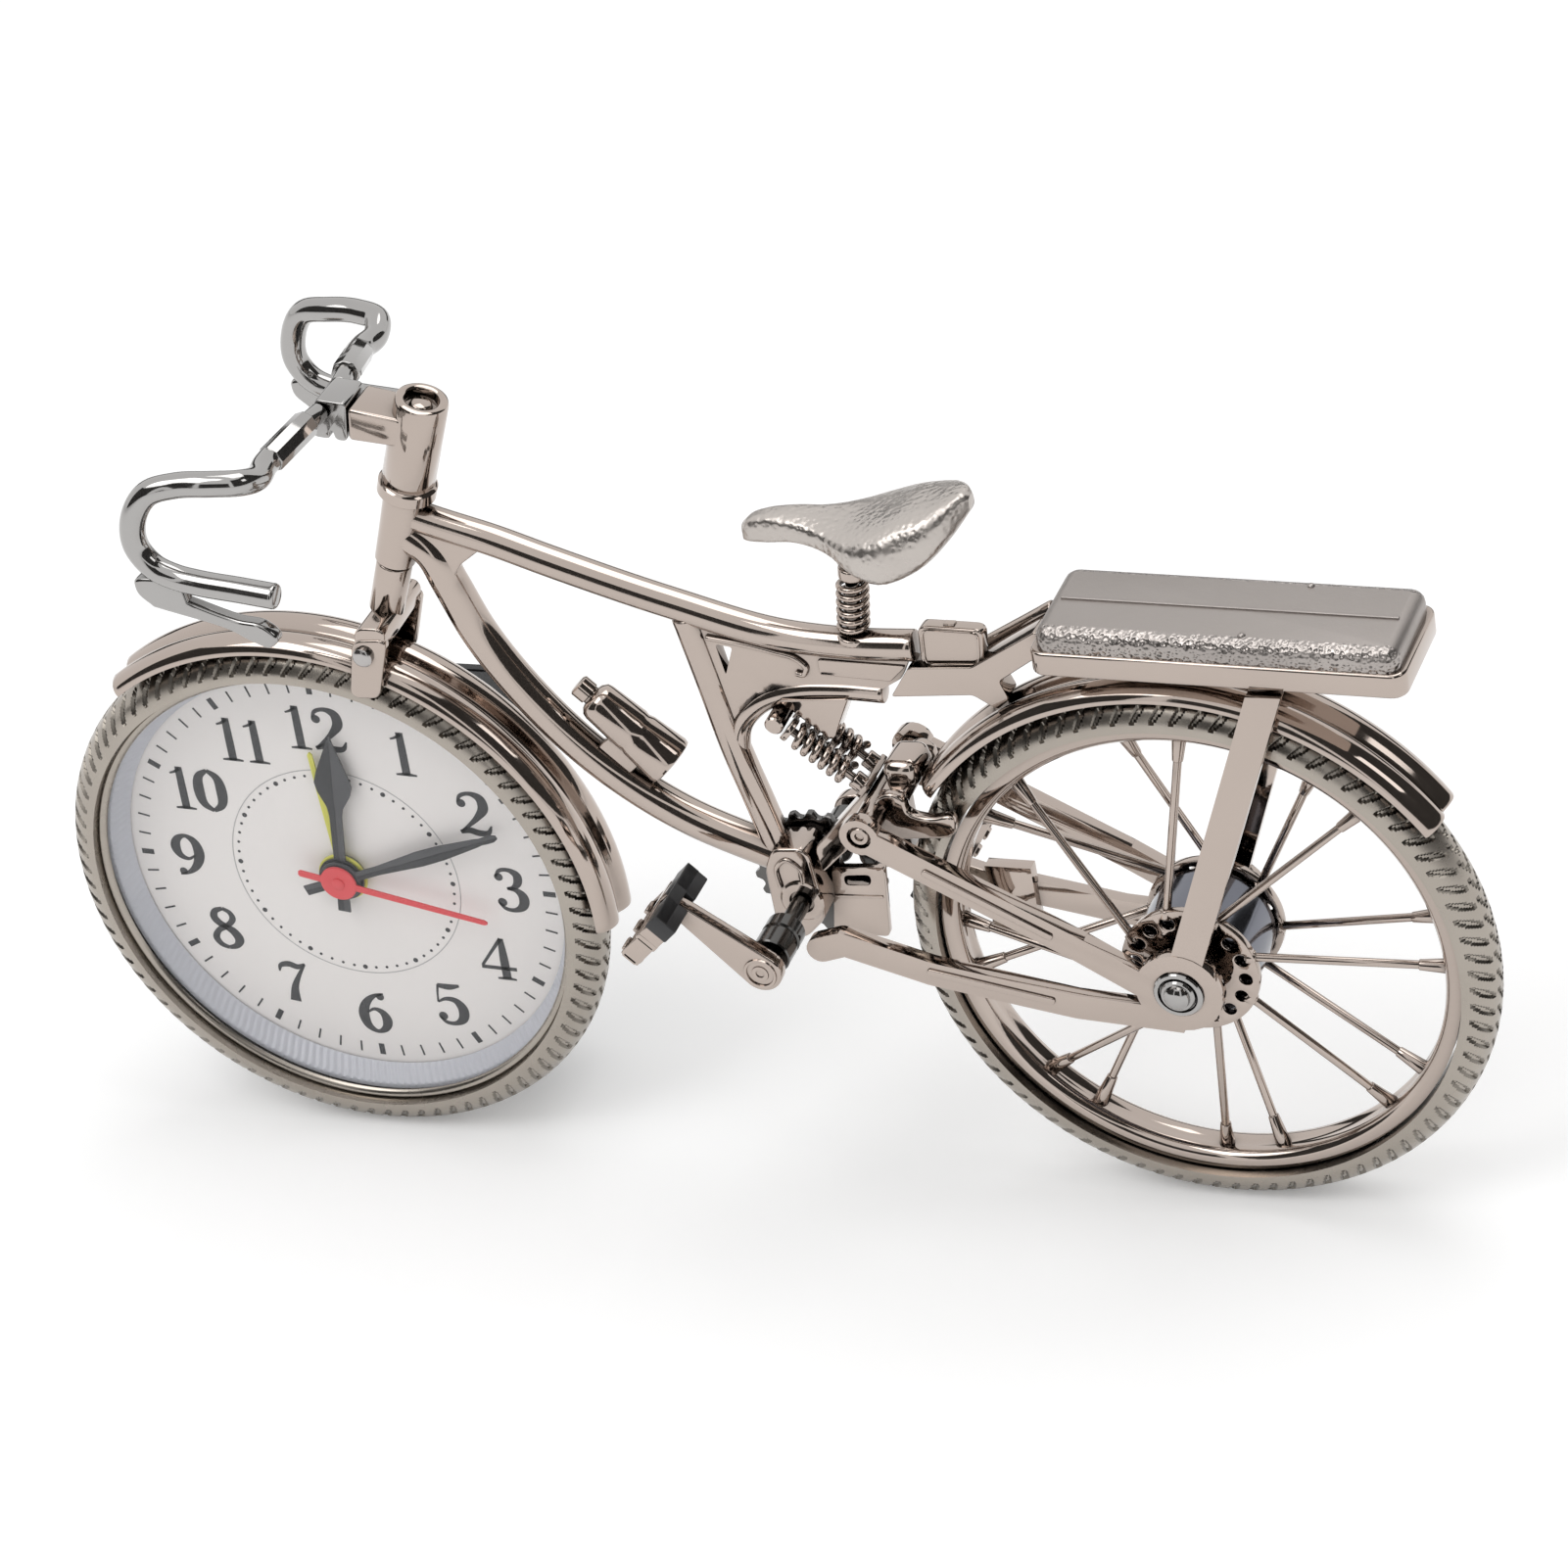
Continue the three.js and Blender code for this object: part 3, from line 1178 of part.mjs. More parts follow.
function seatPost() {
  const core = rod(postPoint(postLow), postPoint(postTop), postRadius, 14);
  const lower = rod(postPoint(postCollarLow), postPoint(postCollarHigh), postCollarRadius, 16);
  const upper = rod(postPoint(postClampLow), postPoint(postTop), postCollarRadius, 16);
  const low = saddleBelly.zLow - clearance;
  const underSaddle = block(postAxisX - 10, postAxisX + 15, -6, 6, low, low + saddleSpan);
  return cut(join([core, lower, upper]), [underSaddle]);
}

function saddleCoil() {
  const start = postPoint(postCollarHigh + clearance);
  const end = postPoint(postClampLow - clearance);
  return coil(start, end, saddleCoilRadius, saddleWireRadius, saddleCoils);
}

// Water bottle on the down tube, with the bracket that holds it
const [bottleTop, bottleLow] = fitted([[48.8, 77.4], [58.4, 67.3]]);
const bottleTopRadius = 3.0;
const bottleLowRadius = 3.9;
const bottleNeckRadius = 1.9;
const bottleShoulder = 1.2;
const bottleCapRadius = 1.7;
const bottleCapReach = 3.7;

function waterBottle() {
  const [top, low] = flatPath([bottleTop, bottleLow]);
  const along = low.clone().sub(top).normalize();
  const body = rod(top, low, bottleTopRadius, 20, bottleLowRadius);
  const beyond = (reach) => top.clone().addScaledVector(along, -reach);
  const shoulder = rod(beyond(bottleShoulder), top, bottleNeckRadius, 20, bottleTopRadius);
  const cap = rod(beyond(bottleCapReach), beyond(bottleShoulder - 0.3), bottleCapRadius, 16);
  const middle = top.clone().lerp(low, 0.55);
  const across = new THREE.Vector3().crossVectors(along, at(0, 1, 0));
  if (across.z > 0) across.negate();
  const bracket = bar(middle, middle.clone().addScaledVector(across, 12), 3.2, 1.6);
  const tubeWay = sweep(flatPath(downTubePath), downTubeRadius + clearance, 16, 8);
  const below = plate([...downTubePath, [60, 30], [20, 30], [20, 95]], -6, 6);
  return cut(join([body, shoulder, cap, bracket]), [tubeWay, below]);
}

// Rear wheel: tyre, a rim with crossed spokes and two flanges, and the hub between them
function rearSpokes() {
  const rim = turned([
    [rimInnerRadius, -2.2], [rimInnerRadius + 0.8, -3.0], [drumRadius, -3.0], [drumRadius, 3.0],
    [rimInnerRadius + 0.8, 3.0], [rimInnerRadius, 2.2],
  ], wheelbase, axleHeight);
  const parts = [rim];
  for (let pair = 0; pair < spokePairs; pair += 1) {
    const middle = spokeFirst + (pair * 360) / spokePairs;
    for (const side of [-1, 1]) parts.push(...spoke(middle, side));
  }
  for (const side of [-1, 1]) parts.push(hubFlange(side));
  return join(parts).subtract(drumY(wheelbase, axleHeight, hubBore, -10, 10, 20));
}

function spoke(middle, side) {
  const onWheel = (radius, angle) => polar(wheelbase, axleHeight, radius, angle);
  const [rimX, rimZ] = onWheel(rimInnerRadius + 0.5, middle + side * spokePairSpread);
  const [hubX, hubZ] = onWheel(hubFlangeRadius - 1.6, middle - side * spokeHubLead);
  const start = at(hubX, side * (hubFlangeFace - hubFlangeThickness / 2), hubZ);
  const end = at(rimX, 0, rimZ);
  const length = start.distanceTo(end);
  const nippleStart = start.clone().lerp(end, (length - nippleLength) / length);
  return [rod(start, end, spokeRadius, 6), rod(nippleStart, end, nippleRadius, 6)];
}

function hubFlange(side) {
  const flange = sided(side, hubFlangeFace - hubFlangeThickness, hubFlangeFace, (low, high) =>
    drumY(wheelbase, axleHeight, hubFlangeRadius, low, high, 24));
  const holes = [];
  const pitch = 360 / spokePairs;
  for (let i = 0; i < spokePairs; i += 1) {
    const [x, z] = polar(wheelbase, axleHeight, hubFlangeRadius - 2.0, spokeFirst + (i + 0.5) * pitch);
    holes.push(drumY(x, z, hubHoleRadius, -hubFlangeFace - 1, hubFlangeFace + 1, 6));
  }
  return cut(flange, holes);
}

function hubShell() {
  const half = hubFlangeFace - hubFlangeThickness - clearance;
  return tubeY(wheelbase, axleHeight, hubShellRadius, hubBore, -half, half, 8);
}

const lockCollarRadius = 2.7;

function rearAxle() {
  const end = stayOuter + 0.7;
  const inner = stayInner - clearance;
  const outer = hubFlangeFace + clearance;
  return join([
    drumY(wheelbase, axleHeight, axleRadius, -end, end, 20),
    drumY(wheelbase, axleHeight, lockCollarRadius, outer, inner, 20),
    drumY(wheelbase, axleHeight, lockCollarRadius, -inner, -outer, 20),
  ]);
}

const nutRadius = 2.9; // over its corners
const nutThickness = 0.9;
const nutDomeRadius = 2.1;

function axleNut(side) {
  const face = stayOuter + clearance;
  const onAxle = (radius, sides) => (low, high) => drumY(wheelbase, axleHeight, radius, low, high, sides);
  const hex = sided(side, face, face + nutThickness, onAxle(nutRadius, 6));
  const dome = sided(side, face + 0.5, face + nutThickness + 0.7, onAxle(nutDomeRadius, 20));
  const bore = sided(side, face - 1, face + 0.8, (low, high) =>
    drumY(wheelbase, axleHeight, axleRadius + clearance, low, high, 20));
  return cut(hex.add(dome), [bore]);
}

// Cranks
const crankInner = crankFace - crankThickness;
const crankMiddle = crankFace - crankThickness / 2;
const pedalPinRadius = 0.7;
const crankEyeRadius = 1.8;
const spacerInner = 10.1;
const spacerOuter = 17.0;

function spindle() {
  const end = crankInner - clearance;
  return join([
    drumY(crankX, crankZ, spindleRadius, -end, end, 20),
    drumY(crankX, crankZ, spacerRadius, spacerInner, spacerOuter, 20),
    drumY(crankX, crankZ, spacerRadius, -spacerOuter, -spacerInner, 20),
  ]);
}

function pedalPin(side) {
  const angle = side < 0 ? crankArmAngle : crankArmAngle + 180;
  return polar(crankX, crankZ, crankArm, angle);
}

function crank(side) {
  const [px, pz] = pedalPin(side);
  const boss = sided(side, crankInner, crankFace, (low, high) =>
    drumY(crankX, crankZ, crankBossRadius, low, high, 20));
  const eye = sided(side, crankInner, crankFace, (low, high) => drumY(px, pz, crankEyeRadius, low, high, 16));
  const nx = (pz - crankZ) / crankArm;
  const nz = -(px - crankX) / crankArm;
  const [root, tip] = [crankBossRadius - 0.8, crankEyeRadius - 0.4];
  const arm = sided(side, crankInner, crankFace, (low, high) => plate([
    [crankX + nx * root, crankZ + nz * root], [px + nx * tip, pz + nz * tip],
    [px - nx * tip, pz - nz * tip], [crankX - nx * root, crankZ - nz * root],
  ], low, high));
  const pinReach = pedalHalfLength - pedalCheek;
  const pin = drumY(px, pz, pedalPinRadius, side * crankMiddle - pinReach, side * crankMiddle + pinReach, 12);
  const recess = sided(side, crankFace - 0.5, crankFace + 1, (low, high) =>
    drumY(crankX, crankZ, crankBossRadius - 1.0, low, high, 16));
  return cut(join([boss, eye, arm, pin]), [recess]);
}

// A pedal block around its pin, notched where the crank's eye goes in
function pedal(side) {
  const [px, pz] = pedalPin(side);
  const tilt = side < 0 ? pedalTilt : pedalTilt + 180;
  const along = at(Math.cos(radians(tilt)), 0, Math.sin(radians(tilt)));
  const pin = at(px, side * crankMiddle, pz);
  const place = (distance) => pin.clone().addScaledVector(along, distance);
  const body = bar(place(-pedalLead), place(pedalDepth), pedalHeight / 2, pedalHalfLength);
  const notchEnd = place(crankEyeRadius + clearance + 1.3);
  const notch = bar(place(-pedalLead * 2), notchEnd, pedalHeight, crankThickness / 2 + clearance);
  const reach = pedalHalfLength - pedalCheek + clearance;
  const bore = drumY(px, pz, pedalPinRadius + clearance, pin.y - reach, pin.y + reach, 12);
  return cut(body, [notch, bore]);
}

function chainring() {
  const shape = new THREE.Shape();
  for (let i = 0; i < chainringTeeth; i += 1) {
    for (const [offset, radius] of [[0, -0.9], [0.3, 0], [0.6, 0], [0.85, -0.9]]) {
      const [x, z] = polar(crankX, crankZ, chainringRadius + radius, ((i + offset) * 360) / chainringTeeth);
      if (i === 0 && offset === 0) shape.moveTo(x, z);
      else shape.lineTo(x, z);
    }
  }
  const tools = [drumY(crankX, crankZ, spindleRadius + clearance, 0, 20, 20)];
  for (let i = 0; i < ringHoles; i += 1) {
    const [x, z] = polar(crankX, crankZ, ringHoleReach, (i * 360) / ringHoles + ringHoleFirst);
    tools.push(drumY(x, z, ringHoleRadius, 0, 20, 10));
  }
  return cut(plate(shape, chainringFace, chainringFace + chainringThickness), tools);
}

// Assembly

const group = new THREE.Group();

function addMesh(parent, name, geometry, look) {
  const mesh = new THREE.Mesh(geometry, look);
  mesh.name = name;
  parent.add(mesh);
}

function addSolid(parent, name, solid, finish) {
  addMesh(parent, name, toGeometry(solid), material(finish));
}

function addCoil(parent, name, wire, wireRadius) {
  reportGap(name, wire, wireRadius);
  addMesh(parent, name, wire.geometry, material('steel'));
}

function buildClock() {
  const clock = new THREE.Group();
  addSolid(clock, 'front_tyre', tyre(0), 'satin');
  addMesh(clock, 'clock_lens', toGeometry(clockLens()), lensMaterial());
  addSolid(clock, 'dial_ring', dialRing(), 'frosted');
  addSolid(clock, 'dial', dial(), 'dial');
  addSolid(clock, 'second_hand', secondHand(), 'red');
  addSolid(clock, 'minute_hand', minuteHand(), 'hand');
  addSolid(clock, 'hour_hand', hourHand(), 'hand');
  addSolid(clock, 'alarm_hand', alarmHand(), 'yellow');
  addSolid(clock, 'second_wheel', arborWheel(wheelWork.second, arborRadius, 0), 'steel');
  addSolid(clock, 'minute_wheel', arborWheel(wheelWork.minute, minuteArbor, minuteBore), 'white');
  addSolid(clock, 'hour_wheel', arborWheel(wheelWork.hour, hourArbor, hourBore), 'white');
  addSolid(clock, 'alarm_wheel', arborWheel(wheelWork.alarm, alarmArbor, alarmBore), 'white');
  addSolid(clock, 'movement_case', movementCase(), 'black');
  addSolid(clock, 'back_cover', backCover(), 'black');
  addSolid(clock, 'battery', batteryCell(), 'cell');
  addSolid(clock, 'battery_door', batteryDoor(), 'black');
  addSolid(clock, 'time_knob', settingKnob(timeKnobX, wheelWork.minute), 'black');
  addSolid(clock, 'alarm_knob', settingKnob(alarmKnobX, wheelWork.alarm), 'black');
  addSolid(clock, 'alarm_switch', alarmSwitch(), 'black');
  addSolid(clock, 'circuit_board', circuitBoard(), 'board');
  addSolid(clock, 'buzzer', buzzer(), 'brass');
  return clock;
}

function buildSteering() {
  const steering = new THREE.Group();
  addSolid(steering, 'fork', fork(), 'nickel');
  addSolid(steering, 'stem', stem(), 'nickel');
  addSolid(steering, 'bar_clamp', barClamp(), 'chrome');
  addSolid(steering, 'front_fender', fender(0, frontFenderStart, frontFenderEnd), 'nickel');
  for (const [side, word] of [[-1, 'left'], [1, 'right']]) {
    addSolid(steering, `fork_screw_${word}`, forkScrew(side), 'steel');
    addSolid(steering, `handlebar_${word}`, handlebar(side), 'chrome');
    addSolid(steering, `brake_lever_${word}`, brakeLever(side), 'chrome');
  }
  return steering;
}

function buildFrame() {
  const frame = new THREE.Group();
  addSolid(frame, 'main_frame', mainFrame(), 'nickel');
  addSolid(frame, 'rack_yoke', rackYoke(), 'nickel');
  addSolid(frame, 'swing_bridge', swingBridge(), 'nickel');
  addSolid(frame, 'left_stay', stay(-1), 'nickel');
  addSolid(frame, 'right_stay', rightStay(), 'nickel');
  addSolid(frame, 'rear_fender', fender(wheelbase, rearFenderStart, rearFenderEnd), 'nickel');
  addSolid(frame, 'rack_tray', rackTray(), 'nickel');
  addSolid(frame, 'rack_lid', rackLid(), 'lid');
  addSolid(frame, 'seat_post', seatPost(), 'nickel');
  addSolid(frame, 'saddle', saddle(), 'chrome');
  addSolid(frame, 'water_bottle', waterBottle(), 'nickel');
  addSolid(frame, 'shock_rods', shockRods(), 'nickel');
  addSolid(frame, 'rear_axle', rearAxle(), 'steel');
  addCoil(frame, 'saddle_spring', saddleCoil(), saddleWireRadius);
  for (const [side, word] of [[-1, 'left'], [1, 'right']]) {
    addCoil(frame, `shock_spring_${word}`, shockCoil(side), shockWireRadius);
    addSolid(frame, `pivot_screw_${word}`, pivotScrew(side), 'steel');
    addSolid(frame, `axle_nut_${word}`, axleNut(side), 'nickel');
  }
  return frame;
}

function buildRearWheel() {
  const wheel = new THREE.Group();
  addSolid(wheel, 'rear_tyre', tyre(wheelbase), 'satin');
  addSolid(wheel, 'rear_spokes', rearSpokes(), 'nickel');
  addSolid(wheel, 'hub_shell', hubShell(), 'smoked');
  return wheel;
}

function buildCranks() {
  const cranks = new THREE.Group();
  addSolid(cranks, 'crank_spindle', spindle(), 'smoked');
  addSolid(cranks, 'chainring', chainring(), 'nickel');
  for (const [side, word] of [[-1, 'left'], [1, 'right']]) {
    addSolid(cranks, `crank_${word}`, crank(side), 'nickel');
    addSolid(cranks, `pedal_${word}`, pedal(side), 'smoked');
  }
  return cranks;
}

group.add(buildClock(), buildSteering(), buildFrame(), buildRearWheel(), buildCranks());

export default group;
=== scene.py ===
"""Dresses the bicycle-shaped alarm clock.

Shapes are drawn in millimetres in the frame of the CAD model and published in metres.
"""

import logging
import math
from collections.abc import Callable, Mapping, Sequence
from dataclasses import dataclass
from enum import Enum

import bmesh
import bpy
from mathutils import Matrix, Vector


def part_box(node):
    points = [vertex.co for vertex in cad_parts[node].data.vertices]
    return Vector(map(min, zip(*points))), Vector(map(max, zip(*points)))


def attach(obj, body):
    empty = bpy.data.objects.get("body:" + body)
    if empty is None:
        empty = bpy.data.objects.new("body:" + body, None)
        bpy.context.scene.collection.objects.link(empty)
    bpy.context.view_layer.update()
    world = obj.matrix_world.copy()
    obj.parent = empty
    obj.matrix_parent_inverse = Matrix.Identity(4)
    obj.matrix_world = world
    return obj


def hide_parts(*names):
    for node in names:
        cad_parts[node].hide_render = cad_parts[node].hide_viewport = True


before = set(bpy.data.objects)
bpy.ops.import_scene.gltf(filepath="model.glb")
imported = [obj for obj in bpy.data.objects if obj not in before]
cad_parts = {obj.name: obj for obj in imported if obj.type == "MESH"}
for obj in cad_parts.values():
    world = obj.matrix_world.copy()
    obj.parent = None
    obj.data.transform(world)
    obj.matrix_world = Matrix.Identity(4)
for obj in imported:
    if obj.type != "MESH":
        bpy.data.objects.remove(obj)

LOG = logging.getLogger("bicycle_clock")
MM = 0.001
MERGE = 0.0005
TINY = 0.001
SHARP = 38.0
AXLE_Z = 42.2
WHEELBASE = 134.5
ACROSS = Vector((0, 1, 0))
CLOCK_AXLE = Vector((0, 0, AXLE_Z))
REAR_AXLE = Vector((WHEELBASE, 0, AXLE_Z))
SIDES = ((-1, "left"), (1, "right"))

Colour = tuple[float, float, float]
Span = tuple[float, float]
Key = str | int
Triple = tuple[float, float, float]


class Body(Enum):
    """The moving groups that pieces ride on."""

    FRAME = "frame"
    FORK = "fork"
    SECOND = "second_hand"
    MINUTE = "minute_hand"
    HOUR = "hour_hand"
    ALARM = "alarm_hand"
    TIME_KNOB = "time_knob"
    ALARM_KNOB = "alarm_knob"
    SWITCH = "alarm_switch"
    DOOR = "battery_door"
    REAR_WHEEL = "rear_wheel"
    CRANKS = "crankset"
    PEDAL_LEFT = "pedal_left"
    PEDAL_RIGHT = "pedal_right"


class Slot(Enum):
    """The record's finish slots."""

    NICKEL = "nickel_plate"
    SILVER = "silver_plate"
    SATIN = "satin_plate"
    LID = "lid_plate"
    SMOKED = "smoked_plate"
    STEEL = "steel"
    CASE = "black_case"
    DIAL = "dial_card"
    BLACK_HAND = "hand_black"
    RED_HAND = "hand_red"
    YELLOW_HAND = "hand_yellow"
    RING = "frosted_ring"
    LENS = "lens"
    GEAR = "white_gear"
    BOARD = "board"
    BRASS = "brass_disc"
    CELL = "cell"


class Grain(Enum):
    """How a finish's surface is broken up."""

    CLOUD = "cloud"
    HAMMERED = "hammered"
    BRUSHED = "brushed"


@dataclass(frozen=True)
class Wiring:
    """Sets up the nodes of one tree."""

    tree: bpy.types.NodeTree

    def feed(
        self,
        node: bpy.types.Node,
        values: Mapping[Key, float | Sequence[float]],
        sources: Mapping[Key, bpy.types.NodeSocket],
    ) -> bpy.types.Node:
        """Sets some inputs of a node and links others.

        Args:
            node: The node.
            values: What inputs are set to.
            sources: The outputs that inputs are linked to.

        Returns:
            The node.
        """
        for key, value in values.items():
            node.inputs[key].default_value = value
        for key, source in sources.items():
            self.tree.links.new(source, node.inputs[key])
        return node

    def add(
        self,
        kind: str,
        values: Mapping[Key, float | Sequence[float]],
        sources: Mapping[Key, bpy.types.NodeSocket],
        operation: str = "",
    ) -> bpy.types.Node:
        """Adds a node.

        Args:
            kind: Its type, without the leading word.
            values: What its inputs are set to.
            sources: The outputs that its inputs are linked to.
            operation: What it works out, for a node of arithmetic.

        Returns:
            The node.
        """
        node = self.tree.nodes.new(f"ShaderNode{kind}")
        if operation:
            node.operation = operation
        return self.feed(node, values, sources)


def blank_material(name: str) -> tuple[bpy.types.Material, Wiring, bpy.types.Node]:
    """A new material, the wiring of its nodes and its surface shader."""
    material = bpy.data.materials.new(name)
    material.use_nodes = True
    tree = material.node_tree
    return material, Wiring(tree), tree.nodes["Principled BSDF"]


@dataclass(frozen=True)
class Finish:
    """A procedural surface: two close colours, a roughness span, a fine relief and painted shade in
    crevices when asked.
    """

    name: str
    light: Colour
    dark: Colour
    metallic: float = 1.0
    rough: Span = (0.05, 0.12)
    grain: Grain = Grain.CLOUD
    grain_scale: float = 900.0
    relief: float = 0.05
    relief_depth: float = 0.00005
    # Share of the colour taken away as painted shade where surfaces stand close together.
    crevice: float = 0.0
    coat: float = 0.0

    def build(self) -> bpy.types.Material:
        """Makes the node material."""
        material, wires, shader = blank_material(self.name)
        place = wires.add("TexCoord", {}, {}).outputs["Object"]
        cloud = wires.add("TexNoise", {"Scale": 60.0, "Detail": 4.0}, {"Vector": place})
        tint = wires.add("Mix", {}, {})
        tint.data_type = "RGBA"
        ends = {6: (*self.dark, 1.0), 7: (*self.light, 1.0)}
        colour = wires.feed(tint, ends, {0: cloud.outputs["Fac"]}).outputs[2]
        # Painted shade in crevices, from how close other surfaces stand.
        if self.crevice:
            colour = self.shade_crevices(wires, colour)
        wander = wires.add("TexNoise", {"Scale": 160.0, "Detail": 3.0}, {"Vector": place})
        span = {"From Min": 0.3, "From Max": 0.7, "To Min": self.rough[0], "To Max": self.rough[1]}
        rough = wires.add("MapRange", span, {"Value": wander.outputs["Fac"]}).outputs["Result"]
        normal = self.carve_grain(wires, place)
        sources = {"Base Color": colour, "Roughness": rough, "Normal": normal}
        wires.feed(shader, {"Metallic": self.metallic, "Coat Weight": self.coat}, sources)
        return material

    def shade_crevices(
        self, wires: Wiring, colour: bpy.types.NodeSocket
    ) -> bpy.types.NodeSocket:
        """Paints shade into the colour where surfaces stand close together."""
        closeness = wires.add("AmbientOcclusion", {"Distance": 0.005}, {})
        closeness.samples = 6
        span = {"From Min": 0.25, "From Max": 0.85, "To Min": 1.0 - self.crevice, "To Max": 1.0}
        weaken = wires.add("MapRange", span, {"Value": closeness.outputs["AO"]})
        sources = {0: colour, "Scale": weaken.outputs["Result"]}
        return wires.add("VectorMath", {}, sources, "SCALE").outputs["Vector"]

    def carve_grain(self, wires: Wiring, place: bpy.types.NodeSocket) -> bpy.types.NodeSocket:
        """Makes the fine bumps of the grain, drawn out along X when it is brushed."""
        stretch = (0.06, 1.0, 1.0) if self.grain is Grain.BRUSHED else (1.0, 1.0, 1.0)
        spread = wires.add("Mapping", {"Scale": stretch}, {"Vector": place}).outputs["Vector"]
        if self.grain is Grain.HAMMERED:
            texture = wires.add("TexVoronoi", {"Scale": self.grain_scale}, {"Vector": spread})
            texture.feature = "SMOOTH_F1"
            height = texture.outputs["Distance"]
        else:
            values = {"Scale": self.grain_scale, "Detail": 6.0}
            height = wires.add("TexNoise", values, {"Vector": spread}).outputs["Fac"]
        depth = {"Strength": self.relief, "Distance": self.relief_depth}
        return wires.add("Bump", depth, {"Height": height}).outputs["Normal"]


def metal(
    name: str, light: Colour, dark: Colour, rough: Span, crevice: float = 0.0
) -> bpy.types.Material:
    """A bare or plated metal; its last argument sets the painted shade in its crevices."""
    return Finish(name, light, dark, rough=rough, crevice=crevice).build()


def matt(
    name: str, light: Colour, dark: Colour, rough: Span, relief: float = 0.05
) -> bpy.types.Material:
    """A paint, plastic, ink or paper."""
    return Finish(name, light, dark, 0.0, rough, relief=relief).build()


def clear_pane(name: str) -> bpy.types.Material:
    """A thin clear pane that gathers a little reflection at grazing angles."""
    material, wires, shader = blank_material(name)
    place = wires.add("TexCoord", {}, {}).outputs["Object"]
    smear = wires.add("TexNoise", {"Scale": 45.0}, {"Vector": place})
    span = {"To Min": 0.02, "To Max": 0.06}
    rough = wires.add("MapRange", span, {"Value": smear.outputs["Fac"]})
    slant = wires.add("LayerWeight", {"Blend": 0.25}, {})
    span = {"To Min": 0.01, "To Max": 0.1}
    veil = wires.add("MapRange", span, {"Value": slant.outputs["Facing"]})
    sources = {"Roughness": rough.outputs["Result"], "Alpha": veil.outputs["Result"]}
    wires.feed(shader, {"Base Color": (0.95, 0.97, 0.98, 1.0)}, sources)
    return material


